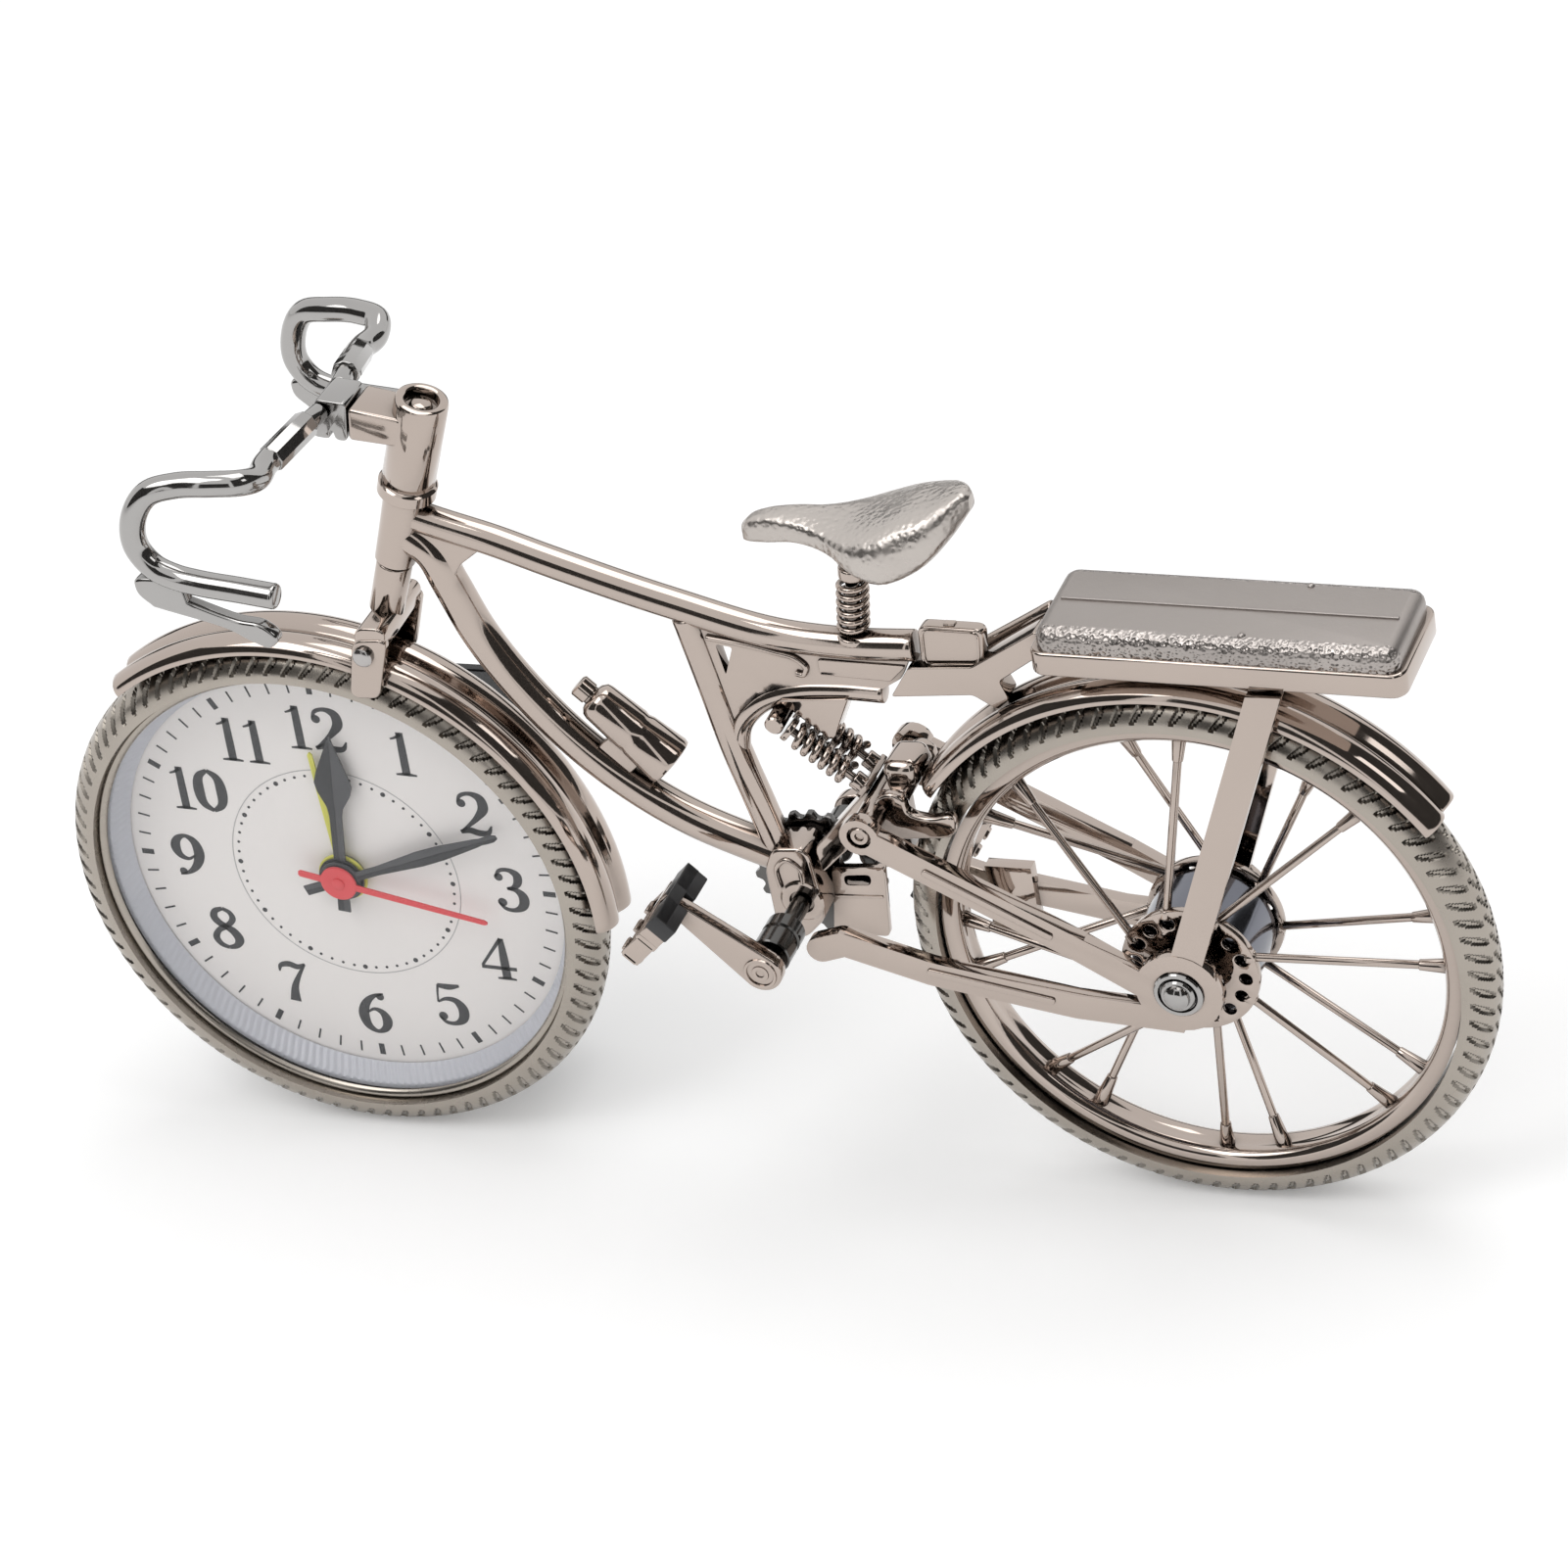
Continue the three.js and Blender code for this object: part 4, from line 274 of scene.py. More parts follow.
class Paintbox:
    """Holds one built material for each finish of the clock."""

    def __init__(self) -> None:
        """Builds every material once."""
        # The last argument of metal and the crevice setting of a Finish paint shade into crevices.
        shade = (0.45, 0.382, 0.34)
        self.nickel = metal("nickel_bright", (0.49, 0.42, 0.375), shade, (0.04, 0.1), 0.75)
        self.spring = metal("nickel_spring", (0.52, 0.43, 0.375), shade, (0.06, 0.14), 0.85)
        shade = (0.37, 0.36, 0.352)
        self.silver = metal("silver_bright", (0.43, 0.42, 0.41), shade, (0.05, 0.12), 0.7)
        self.tyre = Finish(
            "tyre_satin_nickel",
            (0.43, 0.39, 0.345), (0.36, 0.325, 0.285),
            rough=(0.2, 0.32),
            relief=0.15,
            grain_scale=1500.0,
            crevice=0.3,
        ).build()
        # Painted shade: a darker copy of the tyre's plating for the walls of its slots.
        self.groove = metal("tyre_slot_wall_shade", (0.25, 0.228, 0.2), (0.19, 0.172, 0.15), (0.2, 0.32))
        shade = (0.1, 0.098, 0.095)
        self.smoked = metal("smoked_nickel", (0.16, 0.155, 0.15), shade, (0.12, 0.24), 0.6)
        self.hammered = Finish(
            "saddle_hammered",
            (0.56, 0.52, 0.485), (0.48, 0.44, 0.41),
            rough=(0.24, 0.36),
            grain=Grain.HAMMERED,
            grain_scale=1250.0,
            relief=0.6,
            relief_depth=0.00022,
        ).build()
        self.lid = Finish(
            "rack_lid_satin",
            (0.4, 0.365, 0.345), (0.35, 0.32, 0.3),
            rough=(0.34, 0.46),
            grain_scale=1600.0,
            relief=0.25,
            relief_depth=0.00012,
        ).build()
        self.lid_grain = Finish(
            "rack_lid_leather",
            (0.48, 0.44, 0.415), (0.3, 0.275, 0.26),
            rough=(0.22, 0.38),
            grain=Grain.HAMMERED,
            grain_scale=1700.0,
            relief=0.8,
            relief_depth=0.0004,
        ).build()
        shade = (0.15, 0.155, 0.18)
        self.hub_blue = metal("hub_blue_grey", (0.2, 0.205, 0.235), shade, (0.08, 0.16), 0.5)
        self.steel = Finish(
            "axle_steel",
            (0.5, 0.48, 0.47), (0.4, 0.385, 0.375),
            rough=(0.15, 0.3),
            grain=Grain.BRUSHED,
            crevice=0.6,
        ).build()
        shade = (0.012, 0.012, 0.013)
        self.case = matt("case_black", (0.022, 0.022, 0.024), shade, (0.35, 0.55), 0.2)
        self.rubber = Finish(
            "pedal_rubber", (0.05, 0.05, 0.052), (0.03, 0.03, 0.031), 0.35, (0.3, 0.45), relief=0.25
        ).build()
        shade = (0.86, 0.825, 0.805)
        self.card = matt("dial_card_paper", (0.9, 0.865, 0.845), shade, (0.55, 0.75), 0.1)
        self.ink = matt("dial_ink", (0.05, 0.05, 0.054), (0.03, 0.03, 0.033), (0.45, 0.6))
        self.ink_light = matt("dial_ink_pale", (0.5, 0.49, 0.49), (0.44, 0.43, 0.43), (0.5, 0.6))
        # Painted light: the black hands get a shaded and a lit copy of one black, one for each
        # half, in place of the two facets of a ridge.
        shade = (0.02, 0.02, 0.023)
        self.hand_dark = matt("hand_shaded_half", (0.028, 0.028, 0.032), shade, (0.35, 0.5))
        shade = (0.055, 0.056, 0.06)
        self.hand_pale = matt("hand_lit_half", (0.075, 0.076, 0.082), shade, (0.35, 0.5))
        self.coral = matt("hand_coral", (0.78, 0.075, 0.085), (0.7, 0.06, 0.07), (0.35, 0.5))
        self.yellow = matt("hand_yellow", (0.72, 0.7, 0.12), (0.64, 0.62, 0.1), (0.35, 0.5))
        frost, shade = (0.62, 0.63, 0.68), (0.54, 0.55, 0.6)
        self.frost = Finish(
            "ring_frosted", frost, shade, 0.0, (0.3, 0.5), relief=0.2, coat=0.3
        ).build()
        self.gear = matt("gear_white", (0.75, 0.75, 0.73), (0.68, 0.68, 0.66), (0.4, 0.55))
        self.board = matt("board_green", (0.02, 0.16, 0.07), (0.012, 0.11, 0.05), (0.3, 0.5))
        self.brass = Finish(
            "brass_disc",
            (0.75, 0.56, 0.25), (0.66, 0.48, 0.2),
            rough=(0.2, 0.35),
            grain=Grain.BRUSHED,
        ).build()
        self.cell = Finish(
            "cell_jacket", (0.1, 0.14, 0.25), (0.07, 0.1, 0.2), 0.3, (0.25, 0.4)
        ).build()
        self.lens = clear_pane("lens_clear")


@dataclass(frozen=True)
class Placement:
    """Where a finished piece belongs in the object."""

    name: str
    body: Body
    slot: Slot
    stands_for: tuple[str, ...] = ()


def soften(
    bm: bmesh.types.BMesh, edges: Sequence[bmesh.types.BMEdge], width: float, segments: int
) -> dict[str, list[bmesh.types.BMVert]]:
    """Rounds edges over, with the bevel's own result given back."""
    return bmesh.ops.bevel(
        bm,
        geom=edges,
        offset=width,
        offset_type="OFFSET",
        segments=segments,
        profile=0.5,
        affect="EDGES",
        clamp_overlap=True,
        material=-1,
    )


def publish(
    bm: bmesh.types.BMesh,
    placement: Placement,
    materials: Sequence[bpy.types.Material],
    sharp: float = SHARP,
) -> None:
    """Turns a bmesh drawn in millimetres into a piece of the clock.

    Args:
        bm: The shape, freed here.
        placement: Its name, body and slot.
        materials: Its materials, in the order of the faces' indices.
        sharp: Edges steeper than this many degrees stay crisp.
    """
    bmesh.ops.remove_doubles(bm, verts=bm.verts[:], dist=MERGE)
    bmesh.ops.recalc_face_normals(bm, faces=bm.faces[:])
    bmesh.ops.scale(bm, vec=(MM, MM, MM), verts=bm.verts[:])
    mesh = bpy.data.meshes.new(placement.name)
    bm.to_mesh(mesh)
    bm.free()
    for material in materials:
        mesh.materials.append(material)
    mesh.shade_smooth()
    mesh.set_sharp_from_angle(angle=math.radians(sharp))
    piece = bpy.data.objects.new(placement.name, mesh)
    bpy.context.scene.collection.objects.link(piece)
    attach(piece, placement.body.value)
    if placement.stands_for:
        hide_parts(*placement.stands_for)
    LOG.info("%s: %d faces on %s", placement.name, len(mesh.polygons), placement.body.value)


def refine(
    node: str,
    placement: Placement,
    materials: Sequence[bpy.types.Material],
    edge: float,
    segments: int = 2,
) -> None:
    """Makes a softened copy of a CAD node, with rounded edges.

    Args:
        node: The CAD node.
        placement: The new piece's name, body and slot.
        materials: Its materials.
        edge: Width of the rounding in millimetres.
        segments: Steps of the rounding.
    """
    bm = bmesh.new()
    bm.from_mesh(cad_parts[node].data)
    bmesh.ops.scale(bm, vec=(1 / MM, 1 / MM, 1 / MM), verts=bm.verts[:])
    bmesh.ops.remove_doubles(bm, verts=bm.verts[:], dist=0.002)
    flat = math.radians(0.8)
    bmesh.ops.dissolve_limit(bm, angle_limit=flat, verts=bm.verts[:], edges=bm.edges[:])
    steep = math.radians(SHARP)
    corners = [e for e in bm.edges if e.is_manifold and e.calc_face_angle(0.0) > steep]
    if corners:
        soften(bm, corners, edge, segments)
    for face in bm.faces:
        face.material_index = 0
    publish(bm, placement, materials)


def at(x: float, z: float, y: float = 0.0) -> Vector:
    """A point given by its place in side view and its distance across."""
    return Vector((x, y, z))


def side_view(points: Sequence[tuple[float, float]], y: float = 0.0) -> list[Vector]:
    """Points given by their places in side view, at one distance across."""
    return [at(x, z, y) for x, z in points]


def smooth_line(points: Sequence[Vector], per_span: int = 6, closed: bool = False) -> list[Vector]:
    """Runs a smooth curve through points.

    Args:
        points: The points.
        per_span: Steps between two points.
        closed: Whether the last point joins the first.

    Returns:
        The points of the curve.
    """
    count = len(points)
    pts = [Vector(p) for p in points]

    def tangent(i: int) -> Vector:
        """The slope at a point, per millimetre."""
        if not closed and i == 0:
            return (pts[1] - pts[0]).normalized()
        if not closed and i == count - 1:
            return (pts[-1] - pts[-2]).normalized()
        before, here, after = pts[(i - 1) % count], pts[i % count], pts[(i + 1) % count]
        d0, d1 = (here - before).length, (after - here).length
        return ((after - here) / d1 * d0 + (here - before) / d0 * d1) / (d0 + d1)

    line = []
    for i in range(count if closed else count - 1):
        p0, p1 = pts[i], pts[(i + 1) % count]
        reach = (p1 - p0).length
        m0, m1 = tangent(i) * reach, tangent((i + 1) % count) * reach
        for step in range(per_span):
            t = step / per_span
            line.append(
                p0 * (2 * t**3 - 3 * t**2 + 1)
                + m0 * (t**3 - 2 * t**2 + t)
                + p1 * (3 * t**2 - 2 * t**3)
                + m1 * (t**3 - t**2)
            )
    if not closed:
        line.append(pts[-1])
    return line


def rounded(points: Sequence[Vector], radius: float, steps: int = 4) -> list[Vector]:
    """Rounds the corners of a closed outline.

    Args:
        points: The corners.
        radius: How far back from a corner its rounding starts.
        steps: Steps of each rounding.

    Returns:
        The rounded outline.
    """
    line = []
    for i, corner in enumerate(points):
        before, after = points[i - 1], points[(i + 1) % len(points)]
        a = corner + (before - corner).normalized() * min(radius, 0.45 * (before - corner).length)
        b = corner + (after - corner).normalized() * min(radius, 0.45 * (after - corner).length)
        for step in range(steps + 1):
            t = step / steps
            line.append(a * (1 - t) ** 2 + corner * 2 * t * (1 - t) + b * t**2)
    return line


def frames_along(path: Sequence[Vector]) -> list[Matrix]:
    """Frames that follow a path without twisting.

    Args:
        path: The points.

    Returns:
        A matrix at each point, its Z axis along the path.
    """
    tangents = []
    for i in range(len(path)):
        before = path[max(i - 1, 0)]
        after = path[min(i + 1, len(path) - 1)]
        tangents.append((after - before).normalized())
    side = tangents[0].orthogonal().normalized()
    frames = []
    for i, point in enumerate(path):
        if i:
            side = tangents[i - 1].rotation_difference(tangents[i]) @ side
        side = (side - tangents[i] * side.dot(tangents[i])).normalized()
        other = tangents[i].cross(side)
        frames.append(
            Matrix(
                (
                    (side.x, other.x, tangents[i].x, point.x),
                    (side.y, other.y, tangents[i].y, point.y),
                    (side.z, other.z, tangents[i].z, point.z),
                    (0, 0, 0, 1),
                )
            )
        )
    return frames


def sweep(
    bm: bmesh.types.BMesh,
    path: Sequence[Vector],
    radius: float | Callable[[float], float],
    sides: int = 24,
    ease: float = 0.3,
    aspect: float = 1.0,
) -> None:
    """Draws a round bar along a path, its ends eased.

    Args:
        bm: The bmesh to add to.
        path: Centreline points.
        radius: The radius, or a function of the share of the way along.
        sides: Sides of the bar.
        ease: Rounding of the end edges.
        aspect: Width of the section over its height.
    """
    reach = [0.0]
    for a, b in zip(path, path[1:]):
        reach.append(reach[-1] + (b - a).length)
    size = radius if callable(radius) else (lambda share: radius)
    stops = [(p, size(r / reach[-1])) for p, r in zip(path, reach)]
    if ease > 0.0:
        head, tail = (path[1] - path[0]).normalized(), (path[-1] - path[-2]).normalized()
        first, last = stops[0][1], stops[-1][1]
        turns = [math.radians(a) for a in (0, 30, 60)]
        steps = [(ease * (1 - math.cos(t)), ease * (1 - math.sin(t))) for t in turns]
        start = [(path[0] + head * along, first - cut) for along, cut in steps]
        end = [(path[-1] - tail * along, last - cut) for along, cut in steps]
        inner = [s for s, r in zip(stops, reach) if ease * 1.05 < r < reach[-1] - ease * 1.05]
        stops = [
            *start,
            (path[0] + head * ease, first),
            *inner,
            (path[-1] - tail * ease, last),
            *reversed(end),
        ]
    frames = [
        f @ Matrix.Diagonal((r * aspect, r, 1.0, 1.0))
        for f, (p, r) in zip(frames_along([s[0] for s in stops]), stops)
    ]
    ring = bmesh.ops.create_circle(
        bm, cap_ends=False, segments=sides, radius=1.0, matrix=frames[0]
    )["verts"]
    edges = list({e for v in ring for e in v.link_edges})
    first_edges = edges
    for before, after in zip(frames, frames[1:]):
        grown = bmesh.ops.extrude_edge_only(bm, edges=edges)["geom"]
        verts = {g for g in grown if isinstance(g, bmesh.types.BMVert)}
        edges = [g for g in grown if isinstance(g, bmesh.types.BMEdge) and set(g.verts) <= verts]
        bmesh.ops.transform(bm, matrix=after @ before.inverted(), verts=list(verts))
    bmesh.ops.contextual_create(bm, geom=first_edges)
    bmesh.ops.contextual_create(bm, geom=edges)


def coil(
    bottom: Vector, top: Vector, radius: float, turns: float, steps: int = 20
) -> list[Vector]:
    """The centreline of a spring.

    Args:
        bottom: Centre of the first turn.
        top: Centre of the last turn.
        radius: Radius of the turns.
        turns: Their number.
        steps: Points to a turn.

    Returns:
        The points.
    """
    up = (top - bottom).normalized()
    side = up.orthogonal().normalized()
    other = up.cross(side)
    total = int(turns * steps)
    line = []
    for i in range(total + 1):
        angle = 2 * math.pi * i / steps
        out = side * math.cos(angle) + other * math.sin(angle)
        line.append(bottom + (top - bottom) * (i / total) + out * radius)
    return line


def chain(
    bm: bmesh.types.BMesh, points: Sequence[Vector], closed: bool
) -> list[bmesh.types.BMEdge]:
    """Joins points by edges.

    Args:
        bm: The bmesh to add to.
        points: The points.
        closed: Whether the last joins the first.

    Returns:
        The edges.
    """
    verts = [bm.verts.new(p) for p in points]
    pairs = list(zip(verts, verts[1:]))
    if closed:
        pairs.append((verts[-1], verts[0]))
    return [bm.edges.new(pair) for pair in pairs]


def plate(
    bm: bmesh.types.BMesh,
    outline: Sequence[Vector],
    near: float,
    far: float,
    edge: float = 0.3,
    holes: Sequence[Sequence[Vector]] = (),
    segments: int = 3,
) -> list[bmesh.types.BMFace]:
    """Cuts a plate from an outline in side view, with rounded rims.

    Args:
        bm: The bmesh to add to.
        outline: The outline, as points in side view.
        near: Its near face, across.
        far: Its far face, across.
        edge: Rounding of the rims.
        holes: Outlines left open.
        segments: Steps of the rounding.

    Returns:
        The faces of the plate.
    """
    before = set(bm.faces)
    edges = []
    for loop in (outline, *holes):
        edges += chain(bm, [Vector((p.x, near, p.z)) for p in loop], True)
    if holes:
        sheet = [
            f
            for f in bmesh.ops.triangle_fill(
                bm, use_beauty=True, use_dissolve=False, edges=edges
            )["geom"]
            if isinstance(f, bmesh.types.BMFace)
        ]
    else:
        sheet = bmesh.ops.contextual_create(bm, geom=edges)["faces"]
    grown = bmesh.ops.extrude_face_region(bm, geom=[*sheet, *edges], use_keep_orig=True)["geom"]
    verts = [g for g in grown if isinstance(g, bmesh.types.BMVert)]
    caps = {g for g in grown if isinstance(g, bmesh.types.BMFace)}
    bmesh.ops.translate(bm, vec=(0, far - near, 0), verts=verts)
    new = [f for f in bm.faces if f not in before]
    flat = caps | set(sheet)
    rims = [
        e
        for e in {e for f in new for e in f.edges}
        if len(e.link_faces) == 2 and (e.link_faces[0] in flat) != (e.link_faces[1] in flat)
    ]
    bmesh.ops.recalc_face_normals(bm, faces=new)
    if edge > 0.0:
        soften(bm, rims, edge, segments)
    return [f for f in bm.faces if f not in before]


def turn(
    bm: bmesh.types.BMesh,
    profile: Sequence[tuple[float, float]],
    origin: Vector,
    axis: Vector,
    steps: int = 64,
) -> list[bmesh.types.BMVert]:
    """Turns a profile on a lathe.

    Args:
        bm: The bmesh to add to.
        profile: Pairs of distance along the axis and radius.
        origin: Where the axis starts.
        axis: Its direction.
        steps: Sides of the turned shape.

    Returns:
        The new vertices.
    """
    before = set(bm.verts)
    ahead = axis.normalized()
    side = ahead.orthogonal().normalized()
    edges = chain(bm, [origin + ahead * a + side * r for a, r in profile], False)
    verts = list({v for e in edges for v in e.verts})
    bmesh.ops.spin(
        bm,
        geom=[*verts, *edges],
        cent=origin,
        axis=ahead,
        dvec=(0, 0, 0),
        angle=2 * math.pi,
        steps=steps,
        use_merge=True,
        use_normal_flip=False,
        use_duplicate=False,
    )
    new = [v for v in bm.verts if v not in before]
    bmesh.ops.remove_doubles(bm, verts=new, dist=MERGE)
    return [v for v in bm.verts if v not in before]


def block(
    bm: bmesh.types.BMesh,
    size: Sequence[float],
    place: Matrix,
    edge: float = 0.3,
    segments: int = 3,
) -> None:
    """Adds a block with rounded edges.

    Args:
        bm: The bmesh to add to.
        size: Its length, width and height.
        place: Where it stands.
        edge: Rounding of its edges.
        segments: Steps of the rounding.
    """
    verts = bmesh.ops.create_cube(
        bm, size=1.0, matrix=place @ Matrix.Diagonal((*size, 1.0))
    )["verts"]
    edges = list({e for v in verts for e in v.link_edges})
    soften(bm, edges, edge, segments)


def circle(x: float, z: float, radius: float, steps: int = 24) -> list[Vector]:
    """A round outline in side view."""
    return [
        at(
            x + radius * math.cos(2 * math.pi * i / steps),
            z + radius * math.sin(2 * math.pi * i / steps),
        )
        for i in range(steps)
    ]


def ribbon(
    bm: bmesh.types.BMesh,
    stroke: Sequence[Triple],
    place: Callable[[float, float], Vector],
    lift: Vector,
) -> None:
    """Inks one stroke of changing width as a thin solid.

    Args:
        bm: The bmesh to add to.
        stroke: Points of the stroke with its half-width.
        place: Turns a point of the card into a point in space.
        lift: How the ink stands on the card.
    """
    line = smooth_line([Vector(stop) for stop in stroke], 5)
    left, right = [], []
    for i, here in enumerate(line):
        ahead = line[min(i + 1, len(line) - 1)] - line[max(i - 1, 0)]
        across = Vector((-ahead.y, ahead.x)).normalized() * here.z
        left.append(place(here.x + across.x, here.y + across.y))
        right.append(place(here.x - across.x, here.y - across.y))
    rails = chain(bm, left, False) + chain(bm, right, False)
    sheet = bmesh.ops.bridge_loops(bm, edges=rails)["faces"]
    raise_ink(bm, sheet, lift)


def raise_ink(bm: bmesh.types.BMesh, sheet: Sequence[bmesh.types.BMFace], lift: Vector) -> None:
    """Gives flat ink its thickness.

    Args:
        bm: The bmesh.
        sheet: The flat faces.
        lift: The thickness and its direction.
    """
    grown = bmesh.ops.extrude_face_region(bm, geom=list(sheet), use_keep_orig=True)["geom"]
    bmesh.ops.translate(bm, vec=lift, verts=[g for g in grown if isinstance(g, bmesh.types.BMVert)])


# Strokes of the digits on a numeral seven high: stops with place across, place up and half-width.
STROKES: dict[str, tuple[tuple[Triple, ...], ...]] = {
    "0": (
        (
            (0.0, 3.5, 0.3), (-1.3, 2.5, 0.62), (-1.8, 0.0, 0.85), (-1.3, -2.5, 0.62),
            (0.0, -3.5, 0.3),
        ),
        ((0.0, 3.5, 0.3), (1.3, 2.5, 0.62), (1.8, 0.0, 0.85), (1.3, -2.5, 0.62), (0.0, -3.5, 0.3)),
    ),
    "1": (
        ((0.15, 3.65, 0.55), (0.15, 0.0, 0.62), (0.15, -3.6, 0.62)),
        ((0.3, 3.45, 0.28), (-0.6, 2.75, 0.2), (-1.4, 2.45, 0.14)),
        ((-1.45, -3.55, 0.14), (0.15, -3.45, 0.26), (1.75, -3.55, 0.14)),
    ),
    "2": (
        (
            (-2.05, 1.9, 0.2), (-1.6, 2.95, 0.3), (0.0, 3.5, 0.36), (1.5, 2.75, 0.72),
            (1.75, 1.3, 0.8), (0.6, -0.5, 0.5), (-1.0, -2.1, 0.28), (-2.3, -3.3, 0.22),
        ),
        (
            (-2.35, -3.25, 0.3), (-1.0, -2.85, 0.5), (0.6, -3.2, 0.52), (1.9, -3.0, 0.4),
            (2.55, -1.8, 0.12),
        ),
    ),
    "3": (
        (
            (-1.9, 2.2, 0.2), (-1.2, 3.25, 0.3), (0.2, 3.5, 0.36), (1.45, 2.7, 0.66),
            (1.35, 1.35, 0.62), (0.5, 0.45, 0.34), (-0.4, 0.25, 0.2),
        ),
        (
            (-0.4, 0.25, 0.2), (0.9, 0.1, 0.42), (1.9, -1.0, 0.76), (1.7, -2.5, 0.72),
            (0.4, -3.45, 0.38), (-1.2, -3.3, 0.3), (-2.05, -2.3, 0.2),
        ),
    ),
    "4": (
        ((0.9, 3.55, 0.3), (-0.9, 1.0, 0.24), (-2.6, -1.45, 0.22)),
        ((-2.75, -1.7, 0.3), (0.0, -1.7, 0.3), (2.7, -1.7, 0.3)),
        ((0.95, 3.6, 0.4), (0.95, 0.0, 0.66), (0.95, -3.5, 0.66)),
        ((-0.5, -3.55, 0.14), (0.95, -3.45, 0.26), (2.4, -3.55, 0.14)),
    ),
    "5": (
        ((-1.55, 3.2, 0.36), (0.2, 3.1, 0.5), (1.9, 3.45, 0.22)),
        ((-1.5, 3.3, 0.2), (-1.75, 1.8, 0.16), (-1.9, 0.2, 0.14)),
        (
            (-1.9, 0.2, 0.14), (-0.7, 0.85, 0.3), (0.8, 0.75, 0.5), (1.85, -0.6, 0.8),
            (1.6, -2.5, 0.72), (0.3, -3.45, 0.36), (-1.2, -3.35, 0.3), (-2.05, -2.4, 0.2),
        ),
    ),
    "6": (
        (
            (1.9, 3.5, 0.12), (0.4, 2.95, 0.34), (-1.1, 1.5, 0.66), (-1.8, -0.7, 0.84),
            (-1.2, -2.8, 0.6), (0.0, -3.5, 0.32), (1.3, -2.8, 0.6), (1.8, -1.3, 0.78),
            (1.2, 0.1, 0.52), (0.1, 0.55, 0.28), (-1.2, -0.2, 0.14),
        ),
    ),
    "7": (
        (
            (-2.1, 1.7, 0.12), (-1.8, 2.7, 0.34), (-0.4, 3.15, 0.5), (1.0, 2.8, 0.46),
            (2.2, 3.4, 0.16),
        ),
        ((2.15, 3.3, 0.18), (0.9, 1.2, 0.34), (-0.1, -1.0, 0.56), (-0.45, -3.5, 0.86)),
    ),
    "8": (
        ((0.1, 3.5, 0.3), (-1.2, 2.85, 0.5), (-1.5, 1.85, 0.62), (-0.9, 0.9, 0.6), (0.1, 0.3, 0.5)),
        ((0.1, 3.5, 0.3), (1.2, 2.85, 0.4), (1.5, 1.9, 0.5), (1.0, 1.0, 0.45), (0.1, 0.3, 0.4)),
        (
            (0.1, 0.3, 0.5), (-1.2, -0.6, 0.45), (-1.8, -1.9, 0.55), (-1.2, -3.0, 0.45),
            (0.0, -3.5, 0.32),
        ),
        ((0.1, 0.3, 0.5), (1.3, -0.6, 0.7), (1.9, -1.9, 0.75), (1.3, -3.0, 0.5), (0.0, -3.5, 0.32)),
    ),
}
# Round spots of ink at the ends of strokes: place across, place up and radius.
BALLS: dict[str, tuple[Triple, ...]] = {
    "2": ((-1.55, 1.75, 0.72),),
    "3": ((-1.45, 2.15, 0.7), (-1.5, -2.25, 0.74)),
    "5": ((-1.5, -2.3, 0.74),),
    "6": ((1.35, 2.9, 0.66),),
}
# For each hour from one: the numeral's distance from the middle and its digits' shifts.
NUMERALS: tuple[tuple[float, tuple[float, ...]], ...] = (
    (26.3, (0.0,)),
    (26.4, (0.0,)),
    (26.6, (0.0,)),
    (25.95, (0.0,)),
    (26.2, (0.0,)),
    (25.9, (0.0,)),
    (25.2, (0.0,)),
    (26.0, (0.0,)),
    (26.1, (0.0,)),
    (25.1, (-2.9, 1.7)),
    (25.8, (-2.1, 2.1)),
    (25.75, (-3.1, 1.7)),
)


